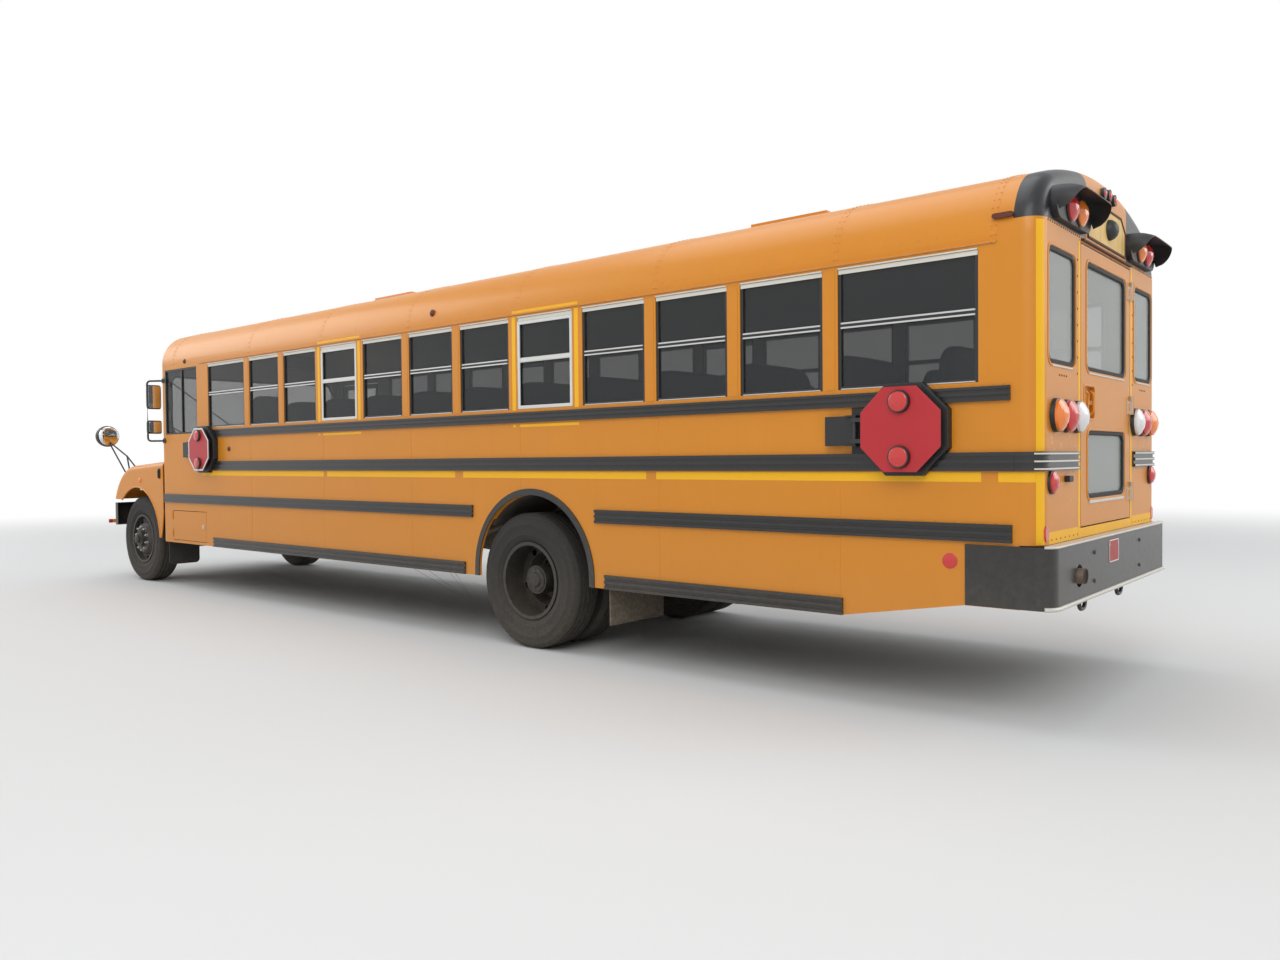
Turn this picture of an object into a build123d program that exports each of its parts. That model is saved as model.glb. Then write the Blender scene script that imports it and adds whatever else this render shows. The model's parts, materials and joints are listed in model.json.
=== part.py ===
# Long school bus with its engine ahead of the cab.
# A steel coach body on a ladder frame, a tilting nose, twin rear wheels.
# Millimetres. +X is forward, +Y is the driver's side, +Z is up.
# The origin is on the ground, in the middle of the overall length and width.
from build123d import *
import os
from math import atan2, cos, radians, sin, sqrt, tan

os.makedirs("parts", exist_ok=True)

# Overall plan: distances from the rear axle
WHEELBASE = 7010
BODY_TAIL = 3830
BODY_NOSE = 6250
REAR_REACH = 3990
FRONT_REACH = 7985
REAR_AXLE_X = (REAR_REACH - FRONT_REACH) / 2
FRONT_AXLE_X = REAR_AXLE_X + WHEELBASE
TAIL_X = REAR_AXLE_X - BODY_TAIL
NOSE_X = REAR_AXLE_X + BODY_NOSE
FRONT_BOW = 190

# Body section
SKIN_Y = 1207
WALL = 45
SKIRT_WALL = 20
SKIRT_Z = 530
FLOOR_Z = 1030
FLOOR_THICK = 45
SPRING_Z = 2600
ROOF_Z = 3100
EAVE_R = 370
END_R = 100
CAP_SEAM_Z = 2670
TAIL_WRAP = 110
REAR_CAP_SEAM = BODY_TAIL - 240
FRONT_CAP_SEAM = BODY_NOSE - 330
SEAT_GAP = 0.3
KNUCKLE_LONG = 28

# Side windows
WINDOW_SILL_Z = 1840
WINDOW_HEAD_Z = 2538
WINDOW_PITCH = 685
WINDOW_WIDTH = 585
WINDOW_ROW_START = -2583
WINDOW_ROW_COUNT = 10
FRAME_BAR = 20
FRAME_DEPTH = 28
FRAME_INSET = 6
SASH_Z = 2215
PANE = 6

# Wheel openings in the body sides
REAR_ARCH_R = 605
REAR_ARCH_SHIFT = -75
REAR_ARCH_Z = 580
ARCH_TRIM = 48
TAIL_RISE_FROM = -2715
TAIL_RISE_TO = -3430
TAIL_SKIRT_Z = 651

# Wheels and tyres
TYRE_R = 522
TYRE_W = 275
BEAD_R = 286
RIM_LIP_R = 299
FRONT_TRACK_Y = 1010
TWIN_OUTER_Y = 1047
TWIN_INNER_Y = 717
KINGPIN_Y = 850
HUB_R = 95
SPINDLE_R = 40
RUNNING_GAP = 0.5
DRUM_R = 190
TIE_ROD_BACK = 190
TIE_ROD_Z = TYRE_R - 78 - 36.3
GRILLE_BARS = 6

# Ladder frame
RAIL_OUT_Y = 432
RAIL_FLANGE = 75
RAIL_STEEL = 9
RAIL_TOP_Z = 930
RAIL_DEPTH = 250
RAIL_REAR = -3887
RAIL_FRONT = 7560
SILL_DEPTH = FLOOR_Z - FLOOR_THICK - RAIL_TOP_Z

# Entrance on the kerb side
DOOR_REAR = 5320
DOOR_FRONT = 6130
DOOR_BOTTOM_Z = 420
DOOR_TOP_Z = 2480
DOOR_GAP = 8
STEP_RISE = 305
STEP_RUN = 265
STEPWELL_IN_Y = -1160 + 2 * STEP_RUN
STEP_SHEET = 12

# Rear doorway
REAR_DOOR_HALF = 525
REAR_DOOR_LOW_Z = 1047
REAR_DOOR_TOP_Z = 2630
REAR_DOOR_GAP = 10

# Nose
NOSE_GAP = 18
HOOD_HINGE_X = FRONT_AXLE_X + 620
HOOD_HINGE_Z = 1020
HOOD_SKIN = 12
FENDER_Y = 1195
FRONT_ARCH_R = 640
HOOD_LOW_Z = 1000
FENDER_FOOT_Z = 560
WING_REAR_Z = 1475
WING_CREST_Z = 1425
BONNET_START = 213
BONNET_PAST = 40
WING_ROUND = 70


def at(from_rear_axle):
    """X of a point given by its distance ahead of the rear axle."""
    return REAR_AXLE_X + from_rear_axle


def save(builder, label):
    """Labels a finished piece and writes it as its own node."""
    builder.part.label = label
    export_step(builder.part, f"parts/{label}.step")


# Crown arc of the roof, tangent to both eave arcs
def crown_radius(half, spring_z, top_z, eave_r):
    """Radius of the arc that joins two eave arcs and touches top_z."""
    a = half - eave_r
    b = spring_z - top_z
    return (eave_r ** 2 - a ** 2 - b ** 2) / (2 * (eave_r + b))


def body_section(inset, low_z):
    """Closed section across the body: walls, eave arcs and crown arc."""
    half = SKIN_Y - inset
    eave = EAVE_R - inset
    top = ROOF_Z - inset
    big = crown_radius(half, SPRING_Z, top, eave)
    centre_z = top - big
    turn = atan2(SPRING_Z - centre_z, half - eave)
    join = (big * cos(turn), centre_z + big * sin(turn))
    mid = (half - eave + eave * cos(turn / 2), SPRING_Z + eave * sin(turn / 2))
    with BuildSketch(Plane.YZ.offset(TAIL_X + inset)) as section:
        with BuildLine():
            Line((-half, low_z), (half, low_z))
            Line((half, low_z), (half, SPRING_Z))
            ThreePointArc((half, SPRING_Z), mid, join)
            ThreePointArc(join, (0, top), (-join[0], join[1]))
            ThreePointArc((-join[0], join[1]), (-mid[0], mid[1]), (-half, SPRING_Z))
            Line((-half, SPRING_Z), (-half, low_z))
        make_face()
    return section.sketch


def envelope(inset, low_z):
    """The body as a solid, drawn in by inset, with rounded ends."""
    side = SKIN_Y - inset
    front = NOSE_X - inset
    tail = TAIL_X + inset
    with BuildPart() as solid:
        add(body_section(inset, low_z))
        extrude(amount=BODY_TAIL + BODY_NOSE + FRONT_BOW, dir=(1, 0, 0))
        with BuildSketch(Plane.XY.offset(low_z)):
            with BuildLine():
                Polyline((front, side), (tail, side), (tail, -side), (front, -side))
                ThreePointArc((front, -side), (front + FRONT_BOW, 0), (front, side))
            make_face()
        extrude(amount=ROOF_Z, mode=Mode.INTERSECT)
        ends = solid.faces().sort_by(Axis.X)
        fillet(ends[0].edges().sort_by(Axis.Z)[1:], END_R - inset)
        ends = solid.faces().filter_by(GeomType.CYLINDER).sort_by(Axis.X)
        fillet(ends[-1].edges().sort_by(Axis.Z)[1:], END_R - inset)
    return solid.part


OUTER = envelope(0, 0)
INNER = envelope(WALL, -10)
with BuildPart() as shell:
    add(OUTER)
    add(INNER, mode=Mode.SUBTRACT)
SHELL = shell.part

# Side windows: rear edge and front edge from the rear axle, both sides
ROW_WINDOWS = [
    (WINDOW_ROW_START + i * WINDOW_PITCH, WINDOW_ROW_START + i * WINDOW_PITCH + WINDOW_WIDTH)
    for i in range(WINDOW_ROW_COUNT)
]
END_WINDOWS = [(-3510, -2683), (4274, 5076)]
WINDOWS = ROW_WINDOWS + END_WINDOWS
DRIVER_WINDOW = (5340, 6140)
DRIVER_SILL_Z = 1786
DRIVER_BAR = 5722


def side_outline(side):
    """Side wall seen square on: skirt, rear wheel opening and windows."""
    arch_x = at(REAR_ARCH_SHIFT)
    with BuildSketch(Plane.XZ) as outline:
        with BuildLine():
            Polyline(
                (NOSE_X - END_R, SKIRT_Z),
                (NOSE_X - END_R, SPRING_Z),
                (TAIL_X + TAIL_WRAP, SPRING_Z),
                (TAIL_X + TAIL_WRAP, TAIL_SKIRT_Z),
                (at(TAIL_RISE_TO), TAIL_SKIRT_Z),
                (at(TAIL_RISE_FROM), SKIRT_Z),
                (NOSE_X - END_R, SKIRT_Z),
            )
        make_face()
        with Locations((arch_x, REAR_ARCH_Z)):
            Circle(REAR_ARCH_R, mode=Mode.SUBTRACT)
        with Locations((arch_x, REAR_ARCH_Z - 150)):
            Rectangle(2 * REAR_ARCH_R, 300, mode=Mode.SUBTRACT)
        for rear, front in WINDOWS:
            middle = at((rear + front) / 2)
            with Locations((middle, (WINDOW_SILL_Z + WINDOW_HEAD_Z) / 2)):
                Rectangle(front - rear, WINDOW_HEAD_Z - WINDOW_SILL_Z, mode=Mode.SUBTRACT)
        if side > 0:
            rear, front = DRIVER_WINDOW
            with Locations((at((rear + front) / 2), (DRIVER_SILL_Z + WINDOW_HEAD_Z) / 2)):
                Rectangle(front - rear, WINDOW_HEAD_Z - DRIVER_SILL_Z, mode=Mode.SUBTRACT)
            for x_rear, x_front, z_low, z_high in [BATTERY_HATCH]:
                with Locations((at((x_rear + x_front) / 2), (z_low + z_high) / 2)):
                    Rectangle(x_front - x_rear, z_high - z_low, mode=Mode.SUBTRACT)
        else:
            with Locations((at((DOOR_REAR + DOOR_FRONT) / 2), (DOOR_BOTTOM_Z + DOOR_TOP_Z) / 2)):
                Rectangle(DOOR_FRONT - DOOR_REAR, DOOR_TOP_Z - DOOR_BOTTOM_Z, mode=Mode.SUBTRACT)
            for x_rear, x_front, z_low, z_high in [FUEL_HATCH]:
                with Locations((at((x_rear + x_front) / 2), (z_low + z_high) / 2)):
                    Rectangle(x_front - x_rear, z_high - z_low, mode=Mode.SUBTRACT)
    return outline.sketch


# Hatches in the skirts: rear edge, front edge, low edge, high edge
BATTERY_HATCH = (5161, 5997, 560, 905)
FUEL_HATCH = (-2150, -1850, 660, 910)
HATCH_GAP = 6
HATCH_THICK = 18
DRIP_FROM = -3607
DRIP_TO = 5260
DRIP_Z = 2566
DRIP_PROUD = 12
HATCH_PIN_R = 6
HATCH_PIN_LONG = 60
HATCH_PIN_Y = SKIN_Y + 5
HATCH_PIN_BACK = HATCH_GAP + 4
ENTRANCE_PIN_R = 10
ENTRANCE_PIN_LONG = 80
ENTRANCE_PIN_Y = SKIN_Y + 6
ENTRANCE_PIN_BACK = DOOR_GAP + 6
ENTRANCE_PIN_HEIGHTS = (700, 1500, 2300)


def wall_knuckles(x_pin, y_pin, x_way, heights, pin_long, pin_r):
    """Half hinges on a wall: a knuckle over each pin and the plate that holds it."""
    side = 1 if y_pin > 0 else -1
    leaf_out = abs(y_pin) - 2 - SKIN_Y + pin_r / 2
    with BuildPart() as half:
        for z in heights:
            middle_z = z + pin_long / 2 + SEAT_GAP + KNUCKLE_LONG / 2
            with Locations((x_pin, y_pin, middle_z)):
                Cylinder(pin_r, KNUCKLE_LONG)
            with Locations((x_pin + x_way * 17, side * (SKIN_Y + leaf_out / 2), middle_z)):
                Box(34, leaf_out, KNUCKLE_LONG)
    return half.part


for side, label in [(1, "side_wall_left"), (-1, "side_wall_right")]:
    with BuildPart() as side_wall:
        add(SHELL)
        add(side_outline(side))
        extrude(amount=2 * SKIN_Y, dir=(0, side, 0), mode=Mode.INTERSECT)
        with Locations((0, side * (SKIN_Y - SKIRT_WALL - WALL), 0)):
            Box(
                2 * (BODY_NOSE + BODY_TAIL), 2 * WALL, 2 * (FLOOR_Z - FLOOR_THICK),
                mode=Mode.SUBTRACT,
            )
        x_rear, x_front, z_low, z_high = BATTERY_HATCH if side > 0 else FUEL_HATCH
        hatch_heights = (z_low + 70, z_high - 70)
        x_pin = at(x_front) - HATCH_PIN_BACK
        add(wall_knuckles(x_pin, side * HATCH_PIN_Y, 1, hatch_heights, HATCH_PIN_LONG, HATCH_PIN_R - 1.5))
        if side < 0:
            for x_pin, x_way in [
                (at(DOOR_FRONT) - ENTRANCE_PIN_BACK, 1),
                (at(DOOR_REAR) + ENTRANCE_PIN_BACK, -1),
            ]:
                add(wall_knuckles(
                    x_pin, -ENTRANCE_PIN_Y, x_way, ENTRANCE_PIN_HEIGHTS, ENTRANCE_PIN_LONG, ENTRANCE_PIN_R - 3,
                ))
        with Locations((at((DRIP_FROM + DRIP_TO) / 2), side * (SKIN_Y + DRIP_PROUD / 2), DRIP_Z)):
            Box(DRIP_TO - DRIP_FROM, DRIP_PROUD, 10)
    save(side_wall, label)


def slab(x_from, x_to, z_from, z_to):
    """Block across the body between two cross planes and two heights."""
    with BuildPart() as block:
        with Locations(((x_from + x_to) / 2, 0, (z_from + z_to) / 2)):
            Box(x_to - x_from, 3 * SKIN_Y, z_to - z_from)
    return block.part


# Roof between its two end caps
with BuildPart() as roof:
    add(SHELL)
    add(slab(at(-REAR_CAP_SEAM), at(FRONT_CAP_SEAM), SPRING_Z, ROOF_Z + WALL), mode=Mode.INTERSECT)
save(roof, "roof")

with BuildPart() as roof_caps:
    add(SHELL)
    add(slab(at(-REAR_CAP_SEAM), at(FRONT_CAP_SEAM), 0, ROOF_Z + WALL), mode=Mode.SUBTRACT)
    add(slab(TAIL_X - 1, NOSE_X + 2 * FRONT_BOW, 0, SPRING_Z), mode=Mode.SUBTRACT)
    add(slab(TAIL_X - 1, TAIL_X + TAIL_WRAP, 0, CAP_SEAM_Z), mode=Mode.SUBTRACT)
save(roof_caps, "roof_caps")

# Rear wall with its corner turns, doorway and two windows
REAR_WINDOW = (630, 1090, 1930, 2540)
REAR_WALL_LOW_Z = 985
WINDOW_CORNER_R = 55
HINGE_PIN_R = 9
HINGE_LONG = 90
REAR_HINGE_Y = -(REAR_DOOR_HALF + REAR_DOOR_GAP / 2)
REAR_HINGE_X = TAIL_X - 15
HINGE_HEIGHTS = (1200, 1750, 2480)
with BuildPart() as rear_wall:
    add(SHELL)
    add(slab(TAIL_X - 1, TAIL_X + TAIL_WRAP, REAR_WALL_LOW_Z, CAP_SEAM_Z), mode=Mode.INTERSECT)
    with BuildSketch(Plane.YZ.offset(TAIL_X - 1)):
        y_in, y_out, z_low, z_high = REAR_WINDOW
        with Locations(*[(s * (y_in + y_out) / 2, (z_low + z_high) / 2) for s in (-1, 1)]):
            RectangleRounded(y_out - y_in, z_high - z_low, WINDOW_CORNER_R)
        with Locations((0, (REAR_DOOR_LOW_Z + REAR_DOOR_TOP_Z) / 2)):
            Rectangle(
                2 * (REAR_DOOR_HALF + REAR_DOOR_GAP),
                REAR_DOOR_TOP_Z - REAR_DOOR_LOW_Z + 2 * REAR_DOOR_GAP,
            )
    extrude(amount=WALL + 2, mode=Mode.SUBTRACT)
    for z in HINGE_HEIGHTS:
        middle_z = z + HINGE_LONG / 2 + SEAT_GAP + KNUCKLE_LONG / 2
        with Locations((REAR_HINGE_X, REAR_HINGE_Y, middle_z)):
            Cylinder(HINGE_PIN_R, KNUCKLE_LONG)
        with Locations((TAIL_X - 3, REAR_HINGE_Y - 35, middle_z)):
            Box(6, 60, KNUCKLE_LONG)
        with Locations((TAIL_X - 10, REAR_HINGE_Y - 9, middle_z)):
            Box(9, 14, KNUCKLE_LONG)
save(rear_wall, "rear_wall")

# Front wall with the windscreen opening and the dash panel below it
SCREEN_HALF = 1075
SCREEN_LOW_Z = 1790
SCREEN_TOP_Z = 2500
SCREEN_CORNER_R = 90
COWL_LOW_Z = 985
POST_IN_Y = 1100


def screen_cut(inset):
    """Windscreen outline seen from the front, drawn in by inset."""
    with BuildPart() as prism:
        with BuildSketch(Plane.YZ.offset(NOSE_X - 2 * END_R)):
            with Locations((0, (SCREEN_LOW_Z + SCREEN_TOP_Z) / 2)):
                RectangleRounded(
                    2 * (SCREEN_HALF - inset),
                    SCREEN_TOP_Z - SCREEN_LOW_Z - 2 * inset,
                    SCREEN_CORNER_R - inset,
                )
        extrude(amount=3 * END_R + FRONT_BOW)
    return prism.part


with BuildPart() as front_wall:
    add(SHELL)
    add(slab(NOSE_X - END_R, NOSE_X + 2 * FRONT_BOW, SKIRT_Z, SPRING_Z), mode=Mode.INTERSECT)
    add(screen_cut(0), mode=Mode.SUBTRACT)
    with Locations((NOSE_X, 0, (SKIRT_Z + COWL_LOW_Z) / 2)):
        Box(4 * FRONT_BOW, 2 * POST_IN_Y, COWL_LOW_Z - SKIRT_Z, mode=Mode.SUBTRACT)
save(front_wall, "front_wall")

SCREEN_INSET = 18
with BuildPart() as windscreen:
    with BuildSketch(Plane.XY.offset(SCREEN_LOW_Z - 1)):
        with BuildLine():
            face_out = ThreePointArc(
                (NOSE_X - SCREEN_INSET, -SKIN_Y), (NOSE_X + FRONT_BOW - SCREEN_INSET, 0), (NOSE_X - SCREEN_INSET, SKIN_Y)
            )
            inner_x = NOSE_X - SCREEN_INSET - PANE
            face_in = ThreePointArc((inner_x, -SKIN_Y), (inner_x + FRONT_BOW, 0), (inner_x, SKIN_Y))
            Line(face_out @ 0, face_in @ 0)
            Line(face_out @ 1, face_in @ 1)
        make_face()
    extrude(amount=SCREEN_TOP_Z - SCREEN_LOW_Z + 2)
    add(screen_cut(0), mode=Mode.INTERSECT)
save(windscreen, "windscreen")

# Floor with cross sills, wheel boxes and a stepwell by the entrance
SILL_PITCH = 700
SILL_COUNT = 14
SILL_START = -3600
SILL_WIDTH = 50
WHEEL_BOX_IN_Y = 545
WHEEL_BOX_SHEET = 12
AISLE_HALF = 165
AISLE_MAT = 4
AISLE_FROM = -3650
AISLE_TO = 5000
inside_y = SKIN_Y - WALL
with BuildPart() as floor:
    add(INNER)
    add(slab(TAIL_X, NOSE_X + 2 * FRONT_BOW, FLOOR_Z - FLOOR_THICK, FLOOR_Z), mode=Mode.INTERSECT)
    for i in range(SILL_COUNT):
        with Locations((at(SILL_START + i * SILL_PITCH), 0, RAIL_TOP_Z + SILL_DEPTH / 2)):
            Box(SILL_WIDTH, 2 * inside_y, SILL_DEPTH)
    for side in (1, -1):
        middle_y = side * (WHEEL_BOX_IN_Y + inside_y) / 2
        with Locations(Location((at(REAR_ARCH_SHIFT), middle_y, REAR_ARCH_Z), (90, 0, 0))):
            Cylinder(REAR_ARCH_R + WHEEL_BOX_SHEET, inside_y - WHEEL_BOX_IN_Y, mode=Mode.SUBTRACT)
    with Locations((at((DOOR_REAR + DOOR_FRONT) / 2), (STEPWELL_IN_Y - inside_y) / 2, FLOOR_Z)):
        Box(DOOR_FRONT - DOOR_REAR + 2 * STEP_SHEET, inside_y + STEPWELL_IN_Y + 2 * STEP_SHEET, 400, mode=Mode.SUBTRACT)
    with Locations((at((AISLE_FROM + AISLE_TO) / 2), 0, FLOOR_Z + AISLE_MAT / 2)):
        Box(AISLE_TO - AISLE_FROM, 2 * AISLE_HALF, AISLE_MAT)
save(floor, "floor")

# Sheet boxes over the rear wheels, open below
with BuildPart() as wheel_boxes:
    for side in (1, -1):
        middle_y = side * (WHEEL_BOX_IN_Y + inside_y) / 2
        width = inside_y - WHEEL_BOX_IN_Y
        with Locations(Location((at(REAR_ARCH_SHIFT), middle_y, REAR_ARCH_Z), (90, 0, 0))):
            Cylinder(REAR_ARCH_R + WHEEL_BOX_SHEET, width)
        inner = Location((at(REAR_ARCH_SHIFT), middle_y + side * WHEEL_BOX_SHEET, REAR_ARCH_Z), (90, 0, 0))
        with Locations(inner):
            Cylinder(REAR_ARCH_R, width, mode=Mode.SUBTRACT)
    with Locations((at(REAR_ARCH_SHIFT), 0, (RAIL_TOP_Z - 600) / 2)):
        Box(3 * REAR_ARCH_R, 2 * SKIN_Y, RAIL_TOP_Z + 600, mode=Mode.SUBTRACT)
save(wheel_boxes, "wheel_boxes")

# Stepwell: two treads, their risers and a sheet at each end
with BuildPart() as stepwell:
    step_profile = [
        (-inside_y, FLOOR_Z - 2 * STEP_RISE),
        (-inside_y + STEP_RUN, FLOOR_Z - 2 * STEP_RISE),
        (-inside_y + STEP_RUN, FLOOR_Z - STEP_RISE),
        (-inside_y + 2 * STEP_RUN, FLOOR_Z - STEP_RISE),
        (-inside_y + 2 * STEP_RUN, FLOOR_Z),
    ]
    with BuildSketch(Plane.YZ.offset(at(DOOR_REAR))):
        with BuildLine():
            Polyline(*step_profile)
            Polyline(
                step_profile[-1],
                (step_profile[-1][0] + STEP_SHEET, step_profile[-1][1]),
                (step_profile[-1][0] + STEP_SHEET, FLOOR_Z - STEP_RISE - STEP_SHEET),
                (step_profile[1][0] + STEP_SHEET, FLOOR_Z - STEP_RISE - STEP_SHEET),
                (step_profile[1][0] + STEP_SHEET, FLOOR_Z - 2 * STEP_RISE - STEP_SHEET),
                (-inside_y, FLOOR_Z - 2 * STEP_RISE - STEP_SHEET),
                step_profile[0],
            )
        make_face()
    extrude(amount=DOOR_FRONT - DOOR_REAR)
    for x in (at(DOOR_REAR) - STEP_SHEET, at(DOOR_FRONT)):
        with BuildSketch(Plane.YZ.offset(x)):
            with BuildLine():
                Polyline(
                    (-inside_y, FLOOR_Z - 2 * STEP_RISE - STEP_SHEET),
                    (-inside_y + STEP_RUN + STEP_SHEET, FLOOR_Z - 2 * STEP_RISE - STEP_SHEET),
                    (-inside_y + STEP_RUN + STEP_SHEET, FLOOR_Z - STEP_RISE - STEP_SHEET),
                    (-inside_y + 2 * STEP_RUN + STEP_SHEET, FLOOR_Z - STEP_RISE - STEP_SHEET),
                    (-inside_y + 2 * STEP_RUN + STEP_SHEET, FLOOR_Z),
                    (-inside_y, FLOOR_Z),
                    close=True,
                )
            make_face()
        extrude(amount=STEP_SHEET)
save(stepwell, "stepwell")

# Rub rails: low edge, high edge, rear end, front end
RAILS = [
    (1737, 1815, -3678, 5000),
    (1370, 1469, -3700, 5000),
    (996, 1091, -3687, -740),
    (996, 1091, 600, 6190),
    (529, 629, -2711, -832),
    (529, 629, 700, 4988),
]
RAIL_PROUD = 18
RAIL_BASE = 8
RAIL_RIBS = 3
RAIL_END_Y = 600
RAIL_JOINT = 1


def rail_section(plane, z_low, z_high):
    """Ribbed rail section on a plane whose first direction points out of the wall."""
    rib = (z_high - z_low) / (2 * RAIL_RIBS - 1)
    with BuildSketch(plane) as section:
        with Locations((RAIL_BASE / 2, (z_low + z_high) / 2)):
            Rectangle(RAIL_BASE, z_high - z_low)
        with Locations(*[(RAIL_PROUD / 2, z_low + rib * (2 * i + 0.5)) for i in range(RAIL_RIBS)]):
            Rectangle(RAIL_PROUD, rib)
    return section.sketch


with BuildPart() as rub_rails:
    for side in (1, -1):
        for z_low, z_high, x_rear, x_front in RAILS:
            if side < 0:
                x_front = min(x_front, DOOR_REAR - 60)
            wall = Plane(origin=(at(x_front), side * SKIN_Y, 0), x_dir=(0, side, 0), z_dir=(side, 0, 0))
            add(rail_section(wall, z_low, z_high))
            extrude(amount=x_front - x_rear, dir=(-1, 0, 0))
        z_low, z_high, x_rear, _ = RAILS[1]
        corner_x = TAIL_X + END_R
        corner = Plane(origin=(corner_x, side * SKIN_Y, 0), x_dir=(0, side, 0), z_dir=(side, 0, 0))
        add(rail_section(corner, z_low, z_high))
        extrude(amount=at(x_rear) - corner_x - RAIL_JOINT, dir=(1, 0, 0))
        add(rail_section(corner, z_low, z_high))
        revolve(axis=Axis((corner_x, side * (SKIN_Y - END_R), 0), (0, 0, side)), revolution_arc=90)
        back = Plane(origin=(TAIL_X, side * (SKIN_Y - END_R), 0), x_dir=(-1, 0, 0), z_dir=(0, 1, 0))
        add(rail_section(back, z_low, z_high))
        extrude(amount=SKIN_Y - END_R - RAIL_END_Y, dir=(0, -side, 0))
    for side in (1, -1):
        with BuildSketch(Plane.XZ.offset(-side * SKIN_Y)):
            for r, mode in [(REAR_ARCH_R + ARCH_TRIM, Mode.ADD), (REAR_ARCH_R, Mode.SUBTRACT)]:
                with Locations((at(REAR_ARCH_SHIFT), REAR_ARCH_Z)):
                    Circle(r, mode=mode)
                with Locations((at(REAR_ARCH_SHIFT), (REAR_ARCH_Z + SKIRT_Z) / 2)):
                    Rectangle(2 * r, REAR_ARCH_Z - SKIRT_Z, mode=mode)
            with Locations((at(REAR_ARCH_SHIFT), SKIRT_Z - REAR_ARCH_R)):
                Rectangle(3 * REAR_ARCH_R, 2 * REAR_ARCH_R, mode=Mode.SUBTRACT)
        extrude(amount=RAIL_BASE, dir=(0, side, 0))
save(rub_rails, "rub_rails")

# Window frames and panes
FRAME_Y = SKIN_Y - FRAME_INSET - FRAME_DEPTH / 2


def window_frame(rear, front, sill_z, sash_z):
    """One sash set: outer ring and a bar across where the panes meet."""
    wide = front - rear
    with Locations((at((rear + front) / 2), (sill_z + WINDOW_HEAD_Z) / 2)):
        Rectangle(wide, WINDOW_HEAD_Z - sill_z)
        Rectangle(wide - 2 * FRAME_BAR, WINDOW_HEAD_Z - sill_z - 2 * FRAME_BAR, mode=Mode.SUBTRACT)
    if sash_z:
        with Locations((at((rear + front) / 2), sash_z)):
            Rectangle(wide, FRAME_BAR)


with BuildPart() as window_frames:
    for side in (1, -1):
        with BuildSketch(Plane.XZ.offset(-side * FRAME_Y)):
            for rear, front in WINDOWS:
                window_frame(rear, front, WINDOW_SILL_Z, SASH_Z)
            if side > 0:
                window_frame(*DRIVER_WINDOW, DRIVER_SILL_Z, 0)
                with Locations((at(DRIVER_BAR), (DRIVER_SILL_Z + WINDOW_HEAD_Z) / 2)):
                    Rectangle(FRAME_BAR, WINDOW_HEAD_Z - DRIVER_SILL_Z)
        extrude(amount=FRAME_DEPTH / 2, both=True)
save(window_frames, "window_frames")

with BuildPart() as window_glass:
    for side in (1, -1):
        with BuildSketch(Plane.XZ.offset(-side * FRAME_Y)):
            for rear, front in WINDOWS:
                for z_from, z_to in [
                    (WINDOW_SILL_Z + FRAME_BAR, SASH_Z - FRAME_BAR / 2),
                    (SASH_Z + FRAME_BAR / 2, WINDOW_HEAD_Z - FRAME_BAR),
                ]:
                    with Locations((at((rear + front) / 2), (z_from + z_to) / 2)):
                        Rectangle(front - rear - 2 * FRAME_BAR, z_to - z_from)
            if side > 0:
                for x_from, x_to in [
                    (DRIVER_WINDOW[0] + FRAME_BAR, DRIVER_BAR - FRAME_BAR / 2),
                    (DRIVER_BAR + FRAME_BAR / 2, DRIVER_WINDOW[1] - FRAME_BAR),
                ]:
                    with Locations((at((x_from + x_to) / 2), (DRIVER_SILL_Z + WINDOW_HEAD_Z) / 2)):
                        Rectangle(x_to - x_from, WINDOW_HEAD_Z - DRIVER_SILL_Z - 2 * FRAME_BAR)
        extrude(amount=PANE / 2, both=True)
    with BuildSketch(Plane.YZ.offset(TAIL_X + 15)):
        y_in, y_out, z_low, z_high = REAR_WINDOW
        with Locations(*[(s * (y_in + y_out) / 2, (z_low + z_high) / 2) for s in (-1, 1)]):
            RectangleRounded(y_out - y_in - 2 * SEAT_GAP, z_high - z_low - 2 * SEAT_GAP, WINDOW_CORNER_R)
    extrude(amount=PANE)
save(window_glass, "window_glass")

# Rear door, hinged on its kerb-side edge
DOOR_PANES = [(420, 1930, 2550), (400, 1200, 1590)]
with BuildPart() as rear_door:
    with Locations((TAIL_X + WALL / 2, 0, (REAR_DOOR_LOW_Z + REAR_DOOR_TOP_Z) / 2)):
        Box(WALL, 2 * REAR_DOOR_HALF, REAR_DOOR_TOP_Z - REAR_DOOR_LOW_Z)
    with BuildSketch(Plane.YZ.offset(TAIL_X - 1)):
        for half, z_low, z_high in DOOR_PANES:
            with Locations((0, (z_low + z_high) / 2)):
                RectangleRounded(2 * half, z_high - z_low, WINDOW_CORNER_R)
    extrude(amount=WALL + 2, mode=Mode.SUBTRACT)
    with Locations((TAIL_X, 365, 1750)):
        Box(44, 190, 180, mode=Mode.SUBTRACT)
    with Locations((TAIL_X + 10, 365, 1750)):
        Box(10, 190, 24)
    for z in HINGE_HEIGHTS:
        with Locations((TAIL_X - 3, REAR_HINGE_Y + 40, z)):
            Box(6, 70, HINGE_LONG)
        with Locations((REAR_HINGE_X, REAR_HINGE_Y, z)):
            Cylinder(HINGE_PIN_R, HINGE_LONG)
        with Locations((TAIL_X - 10, REAR_HINGE_Y + 8, z)):
            Box(8, 14, HINGE_LONG)
save(rear_door, "rear_door")

with BuildPart() as rear_door_glass:
    with BuildSketch(Plane.YZ.offset(TAIL_X + 15)):
        for half, z_low, z_high in DOOR_PANES:
            with Locations((0, (z_low + z_high) / 2)):
                RectangleRounded(2 * (half - SEAT_GAP), z_high - z_low - 2 * SEAT_GAP, WINDOW_CORNER_R)
    extrude(amount=PANE)
save(rear_door_glass, "rear_door_glass")

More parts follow.
